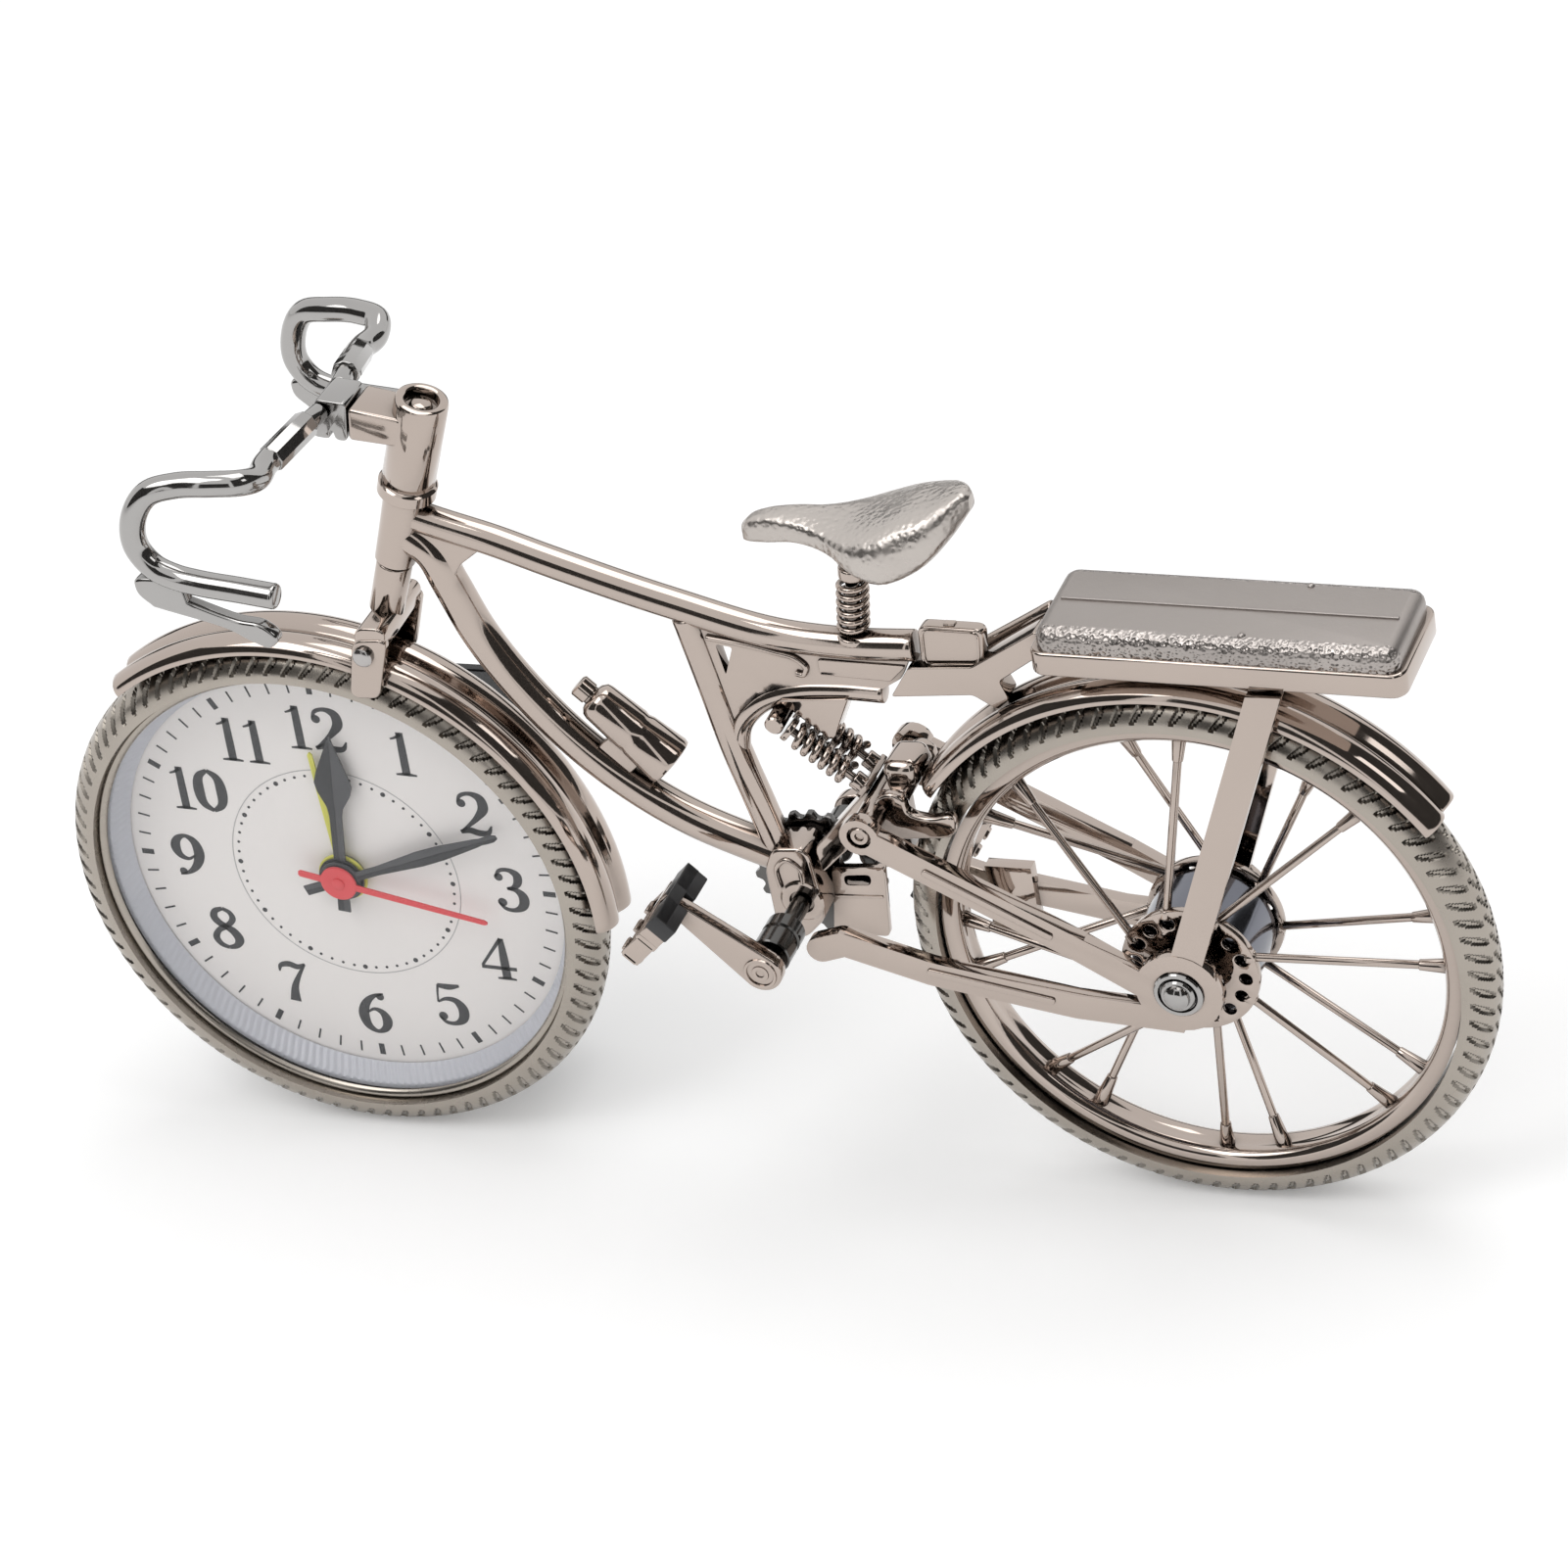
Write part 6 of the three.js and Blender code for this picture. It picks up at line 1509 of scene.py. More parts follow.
@dataclass
class MainFrame:
    """The welded frame: tubes, web, gusset, spring hanger, bottom bracket and tail plate."""

    paint: Paintbox
    steering: Steering

    def build(self) -> None:
        """Makes the frame as one piece, with its yoke beside it."""
        bm = bmesh.new()
        self.draw_tubes(bm)
        self.draw_gusset(bm)
        self.draw_bracket(bm)
        self.draw_tail(bm)
        publish(
            bm, Placement("frame_weldment", Body.FRAME, Slot.NICKEL, ("main_frame",)),
            [self.paint.nickel],
        )
        self.make_guard()
        self.make_yoke()

    def draw_tubes(self, bm: bmesh.types.BMesh) -> None:
        """Draws the head, top, down and seat tubes and the swoosh."""
        axis = self.steering.on_axis
        lean = (axis(1.0) - axis(0.0)).normalized()
        profile = [
            (-13.3, 1.9), (-13.3, 2.7), (-13.05, 2.95), (-7.5, 3.05), (-1.85, 3.2), (-1.6, 3.0),
            (-1.6, 1.9),
        ]
        turn(bm, profile, axis(0.0), lean, 56)
        top = [
            (26.5, 107.4), (30, 106.2), (38, 103.7), (46, 100.7), (64, 94.5), (79, 90.3),
            (90, 89.4), (99.2, 89.6),
        ]
        down = [
            (24.6, 104.6), (27.9, 101.6), (29.8, 96.4), (32.6, 88.2), (38.7, 77.4), (48, 66.5),
            (58.7, 58.6), (69.2, 53.9), (74, 52.1),
        ]
        seat = [(65.4, 92.8), (67.2, 81.8), (68.9, 70.8), (71.2, 60.3), (72.8, 52.3)]
        swoosh = [(69.2, 69.3), (70.6, 74.8), (74.3, 78.7), (80.4, 81.1), (87, 81.7), (93.4, 81.5)]
        for points, radius in ((top, 2.3), (down, 2.7), (seat, 2.2), (swoosh, 1.6)):
            sweep(bm, smooth_line(side_view(points), 8), radius, 36, 0.3)
        web = [
            (24.6, 105.8), (31, 106), (37, 103.8), (31.8, 98.8), (31.6, 92.8), (28.6, 97.4),
            (25.2, 101.5),
        ]
        plate(bm, smooth_line(side_view(web), 4, True), -1.5, 1.5, 0.4)

    def draw_gusset(self, bm: bmesh.types.BMesh) -> None:
        """Cuts the two gusset plates with their scrolls and the spring hanger."""
        outline = [
            (66.4, 92.3), (79, 90.2), (91, 89.2), (98.8, 89), (96.6, 84.6), (93, 82.4), (84, 81.8),
            (76, 80.4), (71.8, 77), (68.4, 73.3),
        ]
        hole = [(69.4, 88.7), (71.9, 88.3), (70.1, 83.6)]
        body = rounded(side_view(outline), 0.6)
        plate(bm, body, -1.0, 1.0, 0.2, [rounded(side_view(hole), 0.5)])
        rim = smooth_line(
            side_view(
                (
                    (68.3, 89.9), (73, 89.2), (78.3, 88.0), (81.6, 86.9), (82.6, 85.6),
                    (82.0, 84.5), (80.9, 84.7),
                ),
                -1.2,
            ),
            8,
        )
        sweep(bm, rim, 0.42, 16, 0.15)
        far = smooth_line(
            side_view(
                ((68.3, 89.9), (76, 88.9), (83.5, 87.8), (85.4, 86.2), (84.6, 84.7), (83.3, 85.2)),
                1.2,
            ),
            8,
        )
        sweep(bm, far, 0.42, 16, 0.15)
        strap = [(84.6, 87.2), (97.6, 86.8), (95.0, 84.2), (84.6, 84.7)]
        plate(bm, rounded(side_view(strap), 0.4), -1.35, 1.35, 0.2)
        hanger = [(77.8, 80.6), (84.6, 74.4), (85.4, 74.8), (88.4, 81.4)]
        plate(bm, rounded(side_view(hanger), 0.5), -2.2, 2.2, 0.3)
        turn(
            bm, [(-4.4, 0.0), (-4.4, 1.15), (-4.15, 1.4), (4.15, 1.4), (4.4, 1.15), (4.4, 0.0)],
            at(77.4, 77.6), ACROSS, 32,
        )

    def draw_bracket(self, bm: bmesh.types.BMesh) -> None:
        """Cuts the bottom bracket with its hollow sides."""
        outline = [
            (71, 41.8), (72.2, 39.9), (75.4, 40.1), (78.6, 43.4), (79, 46.4), (78.6, 49.8),
            (78.2, 54.4), (77.2, 55.8), (72.6, 55.4), (70.9, 51.8),
        ]
        plate(bm, rounded(side_view(outline), 1.2, 5), -3.1, 3.1, 0.5)
        for side in (-1, 1):
            pocket = smooth_line(
                side_view(
                    ((73.0, 49.0), (73.0, 52.5), (74.6, 53.8), (76.3, 52.6), (76.6, 49.2)),
                    side * 3.15,
                ),
                6,
            )
            sweep(bm, pocket, 0.38, 12, 0.1)
            turn(
                bm, [(3.0, 1.7), (3.0, 3.3), (3.35, 3.3), (3.6, 3.0), (3.6, 1.9), (3.0, 1.7)],
                at(76.0, 46.9), Vector((0, side, 0)), 40,
            )

    def make_guard(self) -> None:
        """Cuts the inner guard panel that stands before the chainring."""
        bm = bmesh.new()
        panel = [(79.2, 49.6), (87.3, 50.2), (86.2, 38.0), (77.6, 38.0), (78.4, 43.0)]
        plate(
            bm, rounded(side_view(panel), 0.8), 1.5, 2.6, 0.3,
            [rounded(side_view(((80.8, 48.3), (85.0, 48.7), (84.8, 46.9), (80.8, 46.6))), 0.8)],
        )
        plate(
            bm, rounded(side_view(((78.9, 44.9), (86.4, 45.2), (86.4, 44.8), (78.9, 44.5))), 0.1),
            1.3, 1.8, 0.08,
        )
        publish(bm, Placement("inner_guard", Body.FRAME, Slot.NICKEL), [self.paint.nickel])

    def draw_tail(self, bm: bmesh.types.BMesh) -> None:
        """Cuts the tail plate with its raised rim and the clip on top."""
        outline = rounded(
            side_view(((100.3, 93.5), (109.9, 93.3), (109.2, 87.2), (99.9, 86.8))), 1.4, 5
        )
        plate(bm, outline, -1.1, 1.1, 0.3)
        centre = sum(outline, Vector()) / len(outline)
        for y in (-1.15, 1.15):
            rim = [centre + (p - centre) * 0.86 + Vector((0, y, 0)) for p in outline]
            sweep(bm, [*rim, rim[0]], 0.16, 8, 0.0)
        block(bm, (1.6, 1.2, 0.5), Matrix.Translation((104.8, 0, 93.45)), 0.12)

    def make_yoke(self) -> None:
        """Cuts the yoke between the frame, the rack and the rear fender."""
        bm = bmesh.new()
        outline = [
            (98.2, 87.0), (107.6, 87.6), (117.8, 94.0), (118.5, 93.0), (118.5, 90.2), (116.6, 89.2),
            (111.3, 85.5), (112.4, 82.6), (110.4, 80.8), (107.1, 83.0), (94.9, 82.0),
        ]
        plate(bm, rounded(side_view(outline), 0.6), -1.9, 1.9, 0.5)
        far_arm = [
            Vector((104.0, 2.0, 86.0)), Vector((107.6, 4.6, 87.2)), Vector((118.3, 5.4, 93.4))
        ]
        sweep(bm, smooth_line(far_arm, 6), 1.2, 20, 0.3)
        publish(
            bm, Placement("yoke_fork", Body.FRAME, Slot.NICKEL, ("rack_yoke",)), [self.paint.nickel]
        )


@dataclass
class Suspension:
    """Twin sprung rods, the swing bridge and the two stays."""

    paint: Paintbox
    socket: tuple[float, float] = (77.4, 77.6)
    pivot: tuple[float, float] = (90.9, 65.2)
    spread: float = 2.6
    coil_radius: float = 1.5
    wire: float = 0.56
    turns: int = 6

    def along(self, reach: float, y: float) -> Vector:
        """A point on the line from the socket to the pivot."""
        start, end = at(*self.socket, y), at(*self.pivot, y)
        return start + (end - start).normalized() * reach

    def build(self) -> None:
        """Makes the rods, springs, bridge, stays and screws."""
        p = self.paint
        span = (at(*self.pivot) - at(*self.socket)).length
        first, last = 1.7, span - 2.3
        bm = bmesh.new()
        for y in (-self.spread, self.spread):
            sweep(bm, [self.along(first, y), self.along(last, y)], 0.6, 20, 0.1)
            sweep(bm, [self.along(first, y), self.along(first + 0.9, y)], 1.9, 32, 0.2)
            sweep(bm, [self.along(last - 2.6, y), self.along(last, y)], 1.35, 28, 0.25)
        lean = self.along(1.0, 0) - self.along(0.0, 0)
        upright = Matrix.Rotation(math.atan2(-lean.z, lean.x), 4, "Y")
        block(bm, (1.0, 8.0, 2.7), Matrix.Translation(self.along(last - 0.5, 0)) @ upright, 0.25)
        publish(
            bm, Placement("shock_plungers", Body.FRAME, Slot.NICKEL, ("shock_rods",)), [p.nickel]
        )
        for y, word in ((-self.spread, "left"), (self.spread, "right")):
            bm = bmesh.new()
            path = coil(
                self.along(first + 1.2 + self.wire, y), self.along(last - 2.9 - self.wire, y),
                self.coil_radius, self.turns, 28,
            )
            sweep(bm, path, self.wire, 12, 0.1)
            publish(
                bm,
                Placement(f"shock_coil_{word}", Body.FRAME, Slot.STEEL, (f"shock_spring_{word}",)),
                [p.spring],
            )
        self.make_horseshoe()
        for side, word in SIDES:
            node = f"{word}_stay"
            placement = Placement(f"stay_plate_{word}", Body.FRAME, Slot.NICKEL, (node,))
            refine(node, placement, [p.nickel], 0.35, 3)
            bm = bmesh.new()
            profile = [
                (11.0, 0.0), (11.0, 1.5), (11.95, 1.5), (12.2, 1.25), (12.2, 0.7), (11.9, 0.55),
                (11.9, 0.0),
            ]
            turn(bm, profile, at(*self.pivot), Vector((0, side, 0)), 36)
            publish(
                bm,
                Placement(f"pivot_bolt_{word}", Body.FRAME, Slot.STEEL, (f"pivot_screw_{word}",)),
                [p.nickel],
            )

    def make_horseshoe(self) -> None:
        """Builds the swing bridge: brace, cross bar, two hooked cheeks and the crown between."""
        bm = bmesh.new()
        brace = [(79.3, 51.0), (78.8, 55.2), (88.6, 66.0), (91.4, 62.6)]
        plate(bm, rounded(side_view(brace), 0.8), -2.0, 2.0, 0.5)
        sweep(bm, [at(*self.pivot, -10.1), at(*self.pivot, 10.1)], 2.0, 36, 0.3)
        hook = [
            (91.2, 63.0), (91.2, 66.0), (92.6, 68.6), (94.8, 69.2), (96.2, 68.2), (96.6, 66.4),
            (99.6, 65.5), (103.1, 65.9), (103.1, 63.2), (98.0, 61.9), (93.6, 61.8),
        ]
        for near, far in ((-7.3, -5.4), (5.4, 7.3)):
            plate(bm, smooth_line(side_view(hook), 4, True), near, far, 0.5)
        block(bm, (4.4, 12.4, 2.6), Matrix.Translation((94.0, 0, 67.4)), 1.1, 5)
        block(bm, (5.4, 7.2, 4.4), Matrix.Translation((94.6, 0, 69.6)), 1.7, 5)
        block(bm, (2.6, 7.0, 8.0), Matrix.Translation((91.9, 0, 58.6)), 0.5, 3)
        publish(
            bm, Placement("bridge_horseshoe", Body.FRAME, Slot.NICKEL, ("swing_bridge",)),
            [self.paint.nickel],
        )
        for side, word in SIDES:
            bm = bmesh.new()
            ribs = (((99.5, 60.2), (117.2, 50.3)), ((97.5, 42.9), (116.0, 39.3)))
            for start, end in ribs:
                a, b = at(*start), at(*end)
                along = (b - a).normalized()
                across = Vector((-along.z, 0, along.x)) * 0.55
                loop = rounded([a + across, b + across, b - across, a - across], 0.5)
                near, far = sorted((side * 12.3, side * 12.75))
                plate(bm, loop, near, far, 0.16)
            publish(
                bm, Placement(f"stay_ribs_{word}", Body.FRAME, Slot.NICKEL), [self.paint.nickel]
            )


@dataclass
class RearWheel:
    """Rim, crossed spokes, drilled flanges, hub, axle and nuts."""

    paint: Paintbox
    pairs: int = 8
    first: float = 4.9
    spread: float = 6.9
    lead: float = 13.0
    rim_inner: float = 35.2
    flange: float = 10.0

    def on_wheel(self, radius: float, degrees: float, y: float) -> Vector:
        """A point of the wheel by its radius and its angle from plus X."""
        angle = math.radians(degrees)
        return Vector((WHEELBASE + radius * math.cos(angle), y, AXLE_Z + radius * math.sin(angle)))

    def build(self) -> None:
        """Makes every piece of the wheel."""
        p = self.paint
        hub, across = REAR_AXLE, ACROSS
        bm = bmesh.new()
        half = [
            (-3.0, 37.7), (-3.0, 36.3), (-2.8, 35.9), (-2.2, 35.3), (-1.4, 35.15), (-0.6, 35.35),
            (0.0, 35.4),
        ]
        profile = [*half, *[(-y, r) for y, r in reversed(half[:-1])], half[0]]
        turn(bm, profile, hub, across, 160)
        for pair in range(self.pairs):
            middle = self.first + pair * 360 / self.pairs
            for side in (-1, 1):
                self.draw_spoke(bm, middle, side)
        for side in (-1, 1):
            self.draw_flange(bm, side)
        publish(
            bm, Placement("spoke_wheel", Body.REAR_WHEEL, Slot.NICKEL, ("rear_spokes",)), [p.nickel]
        )
        bm = bmesh.new()
        turn(
            bm,
            [
                (-5.3, 1.8), (-5.3, 8.6), (-5.0, 9.0), (-1.0, 9.1), (1.0, 9.1), (5.0, 9.0),
                (5.3, 8.6), (5.3, 1.8), (-5.3, 1.8),
            ],
            hub, across, 64,
        )
        publish(
            bm, Placement("hub_barrel", Body.REAR_WHEEL, Slot.SMOKED, ("hub_shell",)), [p.hub_blue]
        )
        bm = bmesh.new()
        sweep(bm, [hub + across * -13.1, hub + across * 13.1], 1.4, 28, 0.2)
        for side in (-1, 1):
            profile = [
                (7.2, 1.4), (7.2, 2.5), (7.4, 2.7), (9.0, 2.7), (9.1, 2.3), (9.3, 2.3), (9.4, 2.7),
                (10.0, 2.7), (10.1, 2.6), (10.1, 1.4),
            ]
            turn(bm, profile, hub, across * side, 36)
        publish(bm, Placement("axle_rod", Body.FRAME, Slot.STEEL, ("rear_axle",)), [p.steel])
        for side, word in SIDES:
            bm = bmesh.new()
            turn(
                bm,
                [
                    (12.5, 2.3), (12.5, 3.5), (12.75, 3.6), (12.95, 3.4), (12.95, 2.9), (12.6, 2.7),
                    (12.5, 2.3),
                ],
                hub, across * side, 48,
            )
            turn(
                bm, [(12.5, 0.0), (12.5, 2.4), (13.0, 2.5), (13.3, 2.3), (13.3, 0.0)], hub,
                across * side, 48,
            )
            dome = [(13.1, 0.0), (13.3, 1.9), (13.75, 1.75), (14.1, 1.35), (14.3, 0.7), (14.3, 0.0)]
            turn(bm, dome, hub, across * side, 40)
            publish(
                bm, Placement(f"dome_nut_{word}", Body.FRAME, Slot.STEEL, (f"axle_nut_{word}",)),
                [p.silver], 25.0,
            )

    def draw_spoke(self, bm: bmesh.types.BMesh, middle: float, side: int) -> None:
        """Draws one spoke with its nipple at the rim.

        Args:
            bm: The bmesh to add to.
            middle: The pair's angle.
            side: The flange it starts from.
        """
        start = self.on_wheel(self.flange - 1.6, middle - side * self.lead, side * 6.25)
        end = self.on_wheel(self.rim_inner + 0.5, middle + side * self.spread, 0.0)
        sweep(bm, [start, end], 0.62, 20, 0.1)
        reach = (end - start).length
        nipple = start.lerp(end, (reach - 4.6) / reach)
        sweep(bm, [nipple, end], lambda share: 0.8 + 0.35 * min(1.0, share * 6.0), 20, 0.15)
        collar = start.lerp(end, 1.6 / reach)
        sweep(bm, [start.lerp(end, 0.2 / reach), collar], 1.0, 20, 0.2)

    def draw_flange(self, bm: bmesh.types.BMesh, side: int) -> None:
        """Cuts a drilled flange.

        Args:
            bm: The bmesh to add to.
            side: Minus for the dial's side.
        """
        near, far = sorted((side * 5.6, side * 6.9))
        holes = [circle(WHEELBASE, AXLE_Z, 1.9, 32)]
        for i in range(self.pairs * 2):
            spot = self.on_wheel(8.0, self.first + 11.25 + i * 180 / self.pairs, 0.0)
            holes.append(circle(spot.x, spot.z, 0.95, 16))
        plate(bm, circle(WHEELBASE, AXLE_Z, self.flange, 72), near, far, 0.2, holes, 2)


@dataclass
class Rack:
    """The rear rack: a plated tray and a satin lid with a ridge."""

    paint: Paintbox
    front: float = 119.0
    length: float = 52.6
    half: float = 9.0
    top: float = 95.3
    pitch: float = 0.9
    plain_half: float = 6.6

    def place(self, x: float, z: float, y: float = 0.0) -> Matrix:
        """A spot of the rack, from its front top edge, tipped with it."""
        tip = Matrix.Rotation(math.radians(self.pitch), 4, "Y")
        return Matrix.Translation((self.front, 0, self.top)) @ tip @ Matrix.Translation((x, y, z))

    def slab(
        self,
        bm: bmesh.types.BMesh,
        inset: float,
        half: float,
        low: float,
        high: float,
        corner: float,
        edge: float,
    ) -> None:
        """Adds a slab with rounded corners and rims.

        Args:
            bm: The bmesh to add to.
            inset: Its distance from the rack's ends.
            half: Half its width.
            low: Its underside.
            high: Its top.
            corner: Rounding of its corners in plan.
            edge: Rounding of its rims.
        """
        size = Vector((self.length - inset * 2, half * 2, high - low))
        place = self.place(self.length / 2, (low + high) / 2)
        verts = bmesh.ops.create_cube(
            bm, size=1.0, matrix=place @ Matrix.Diagonal((*size, 1.0))
        )["verts"]
        edges = list({e for v in verts for e in v.link_edges})
        upright = [e for e in edges if abs((e.verts[0].co - e.verts[1].co).normalized().z) > 0.9]
        made = soften(bm, upright, corner, 6)
        near = {f for v in made["verts"] for f in v.link_faces}
        rims = [
            e
            for f in near
            for e in f.edges
            if len(e.link_faces) == 2 and e.calc_face_angle(0.0) > 1.2
        ]
        soften(bm, list(set(rims)), edge, 4)

    def build(self) -> None:
        """Makes the tray and the lid."""
        p = self.paint
        bm = bmesh.new()
        self.slab(bm, 0.0, self.half, -3.7, 0.0, 2.2, 0.5)
        self.slab(bm, 0.3, self.half - 0.2, -0.45, -0.02, 2.0, 0.2)
        publish(bm, Placement("rack_pan", Body.FRAME, Slot.NICKEL, ("rack_tray",)), [p.nickel])
        bm = bmesh.new()
        self.slab(bm, 0.9, self.half - 0.45, -2.2, 3.3, 2.2, 1.8)
        for f in bm.faces:
            f.material_index = 1 if abs(f.calc_center_median().y) > self.plain_half else 0
        self.slab(bm, 2.6, 0.3, 2.9, 3.55, 0.15, 0.12)
        for x, y in ((30.0, -6.4), (36.0, 6.6)):
            centre = self.place(x, 3.0, y) @ Vector()
            turn(
                bm, [(0.0, 0.0), (0.0, 0.6), (0.35, 0.55), (0.6, 0.3), (0.65, 0.0)], centre,
                Vector((0, 0, 1)), 24,
            )
        publish(
            bm, Placement("rack_cover", Body.FRAME, Slot.LID, ("rack_lid",)), [p.lid, p.lid_grain]
        )


@dataclass
class Seat:
    """The saddle, its post and the coil round it."""

    paint: Paintbox
    base: tuple[float, float] = (89.9, 88.6)
    lean: float = 8.3
    ends: Span = (76.95, 111.1)
    stations: int = 44
    ring_points: int = 48
    waist_share: float = 0.36

    def on_post(self, along: float) -> Vector:
        """A point on the seat post's axis."""
        lean = math.radians(self.lean)
        return at(self.base[0] + along * math.sin(lean), self.base[1] + along * math.cos(lean))

    def build(self) -> None:
        """Makes the post, the coil and the saddle."""
        p = self.paint
        bm = bmesh.new()
        sweep(bm, [self.on_post(-0.4), self.on_post(14.0)], 1.0, 28, 0.1)
        sweep(bm, [self.on_post(1.5), self.on_post(2.6)], 2.4, 40, 0.3)
        sweep(bm, [self.on_post(11.9), self.on_post(13.8)], 2.0, 40, 0.4)
        publish(bm, Placement("post_rod", Body.FRAME, Slot.NICKEL, ("seat_post",)), [p.nickel])
        bm = bmesh.new()
        sweep(bm, coil(self.on_post(3.2), self.on_post(11.3), 1.95, 6, 28), 0.44, 12, 0.1)
        publish(bm, Placement("post_coil", Body.FRAME, Slot.STEEL, ("saddle_spring",)), [p.spring])
        self.make_saddle()

    def make_saddle(self) -> None:
        """Bridges the saddle's cross sections from nose to tail."""
        top = smooth_line(
            side_view(
                (
                    (76.9, 108.6), (78.2, 109.7), (80.2, 110.4), (84.2, 110.8), (88.9, 110.4),
                    (93.3, 110.4), (96.8, 111.3), (100.3, 112.5), (102, 113.2), (105.6, 114.0),
                    (108.5, 114.8), (110.4, 115.0), (111.1, 114.4),
                )
            ),
            4,
        )
        low = smooth_line(
            side_view(
                (
                    (76.9, 106.0), (80.8, 106.2), (85, 106.8), (88.3, 106.6), (91.9, 106),
                    (95.4, 104.2), (98.6, 103.3), (101.8, 103.9), (104.8, 105.6), (108.6, 109.2),
                    (111.1, 112.4),
                )
            ),
            5,
        )
        plan = smooth_line(
            side_view(
                (
                    (76.8, 0.9), (77.6, 1.5), (80.2, 2.1), (84.2, 2.8), (88.9, 4.1), (91.4, 5.5),
                    (93.3, 6.8), (96.8, 8.3), (100.3, 8.5), (102, 7.9), (105.6, 7), (108.5, 4.8),
                    (110.4, 2.2), (111.2, 0.9),
                )
            ),
            5,
        )

        def level(line: Sequence[Vector], x: float) -> float:
            """The height of a line at one station."""
            for a, b in zip(line, line[1:]):
                if a.x <= x <= b.x:
                    return a.z + (b.z - a.z) * (x - a.x) / max(b.x - a.x, 1e-6)
            return line[0].z if x < line[0].x else line[-1].z

        bm = bmesh.new()
        loops = []
        nose, tail = self.ends
        for i in range(self.stations + 1):
            x = nose + (tail - nose) * (0.5 - 0.5 * math.cos(math.pi * i / self.stations))
            high, under, half = level(top, x), level(low, x), level(plan, x)
            waist = under + (high - under) * self.waist_share
            ring = []
            for k in range(self.ring_points):
                angle = 2 * math.pi * k / self.ring_points
                c, s = math.cos(angle), math.sin(angle)
                across = half * math.copysign(abs(c) ** 0.62, c)
                rise = high - waist if s > 0 else waist - under
                ring.append(Vector((x, across, waist + rise * math.copysign(abs(s) ** 0.6, s))))
            loops.append(chain(bm, ring, True))
        for a, b in zip(loops, loops[1:]):
            bmesh.ops.bridge_loops(bm, edges=[*a, *b])
        bmesh.ops.contextual_create(bm, geom=loops[0])
        bmesh.ops.contextual_create(bm, geom=loops[-1])
        block(bm, (6.0, 4.4, 3.2), Matrix.Translation((93.4, 0, 104.6)), 0.8)
        publish(
            bm, Placement("saddle_seat", Body.FRAME, Slot.SILVER, ("saddle",)),
            [self.paint.hammered], 50.0,
        )


@dataclass
class Bottle:
    """The water bottle and its bracket on the down tube."""

    paint: Paintbox

    def build(self) -> None:
        """Turns the bottle and adds the bracket."""
        top, low = at(48.8, 77.4), at(58.4, 67.3)
        along = (low - top).normalized()
        reach = (low - top).length
        bm = bmesh.new()
        profile = [
            (-3.7, 0.0), (-3.7, 1.3), (-3.4, 1.7), (-1.5, 1.7), (-1.35, 1.45), (-1.1, 1.45),
            (-0.9, 2.1), (-0.3, 2.8), (0.4, 3.0),
            (reach * 0.45, 3.35),
            (reach * 0.5, 3.2),
            (reach * 0.56, 3.45),
            (reach - 0.8, 3.9),
            (reach - 0.2, 3.75),
            (reach, 3.3),
            (reach, 0.0),
        ]
        turn(bm, profile, top, along, 64)
        middle = top.lerp(low, 0.55)
        across = along.cross(ACROSS)
        if across.z > 0:
            across = -across
        spin = Matrix.Rotation(math.atan2(-along.z, along.x), 4, "Y")
        block(bm, (6.0, 3.0, 2.6), Matrix.Translation(middle + across * 4.2) @ spin, 0.3)
        publish(
            bm, Placement("bottle_flask", Body.FRAME, Slot.NICKEL, ("water_bottle",)),
            [self.paint.nickel],
        )


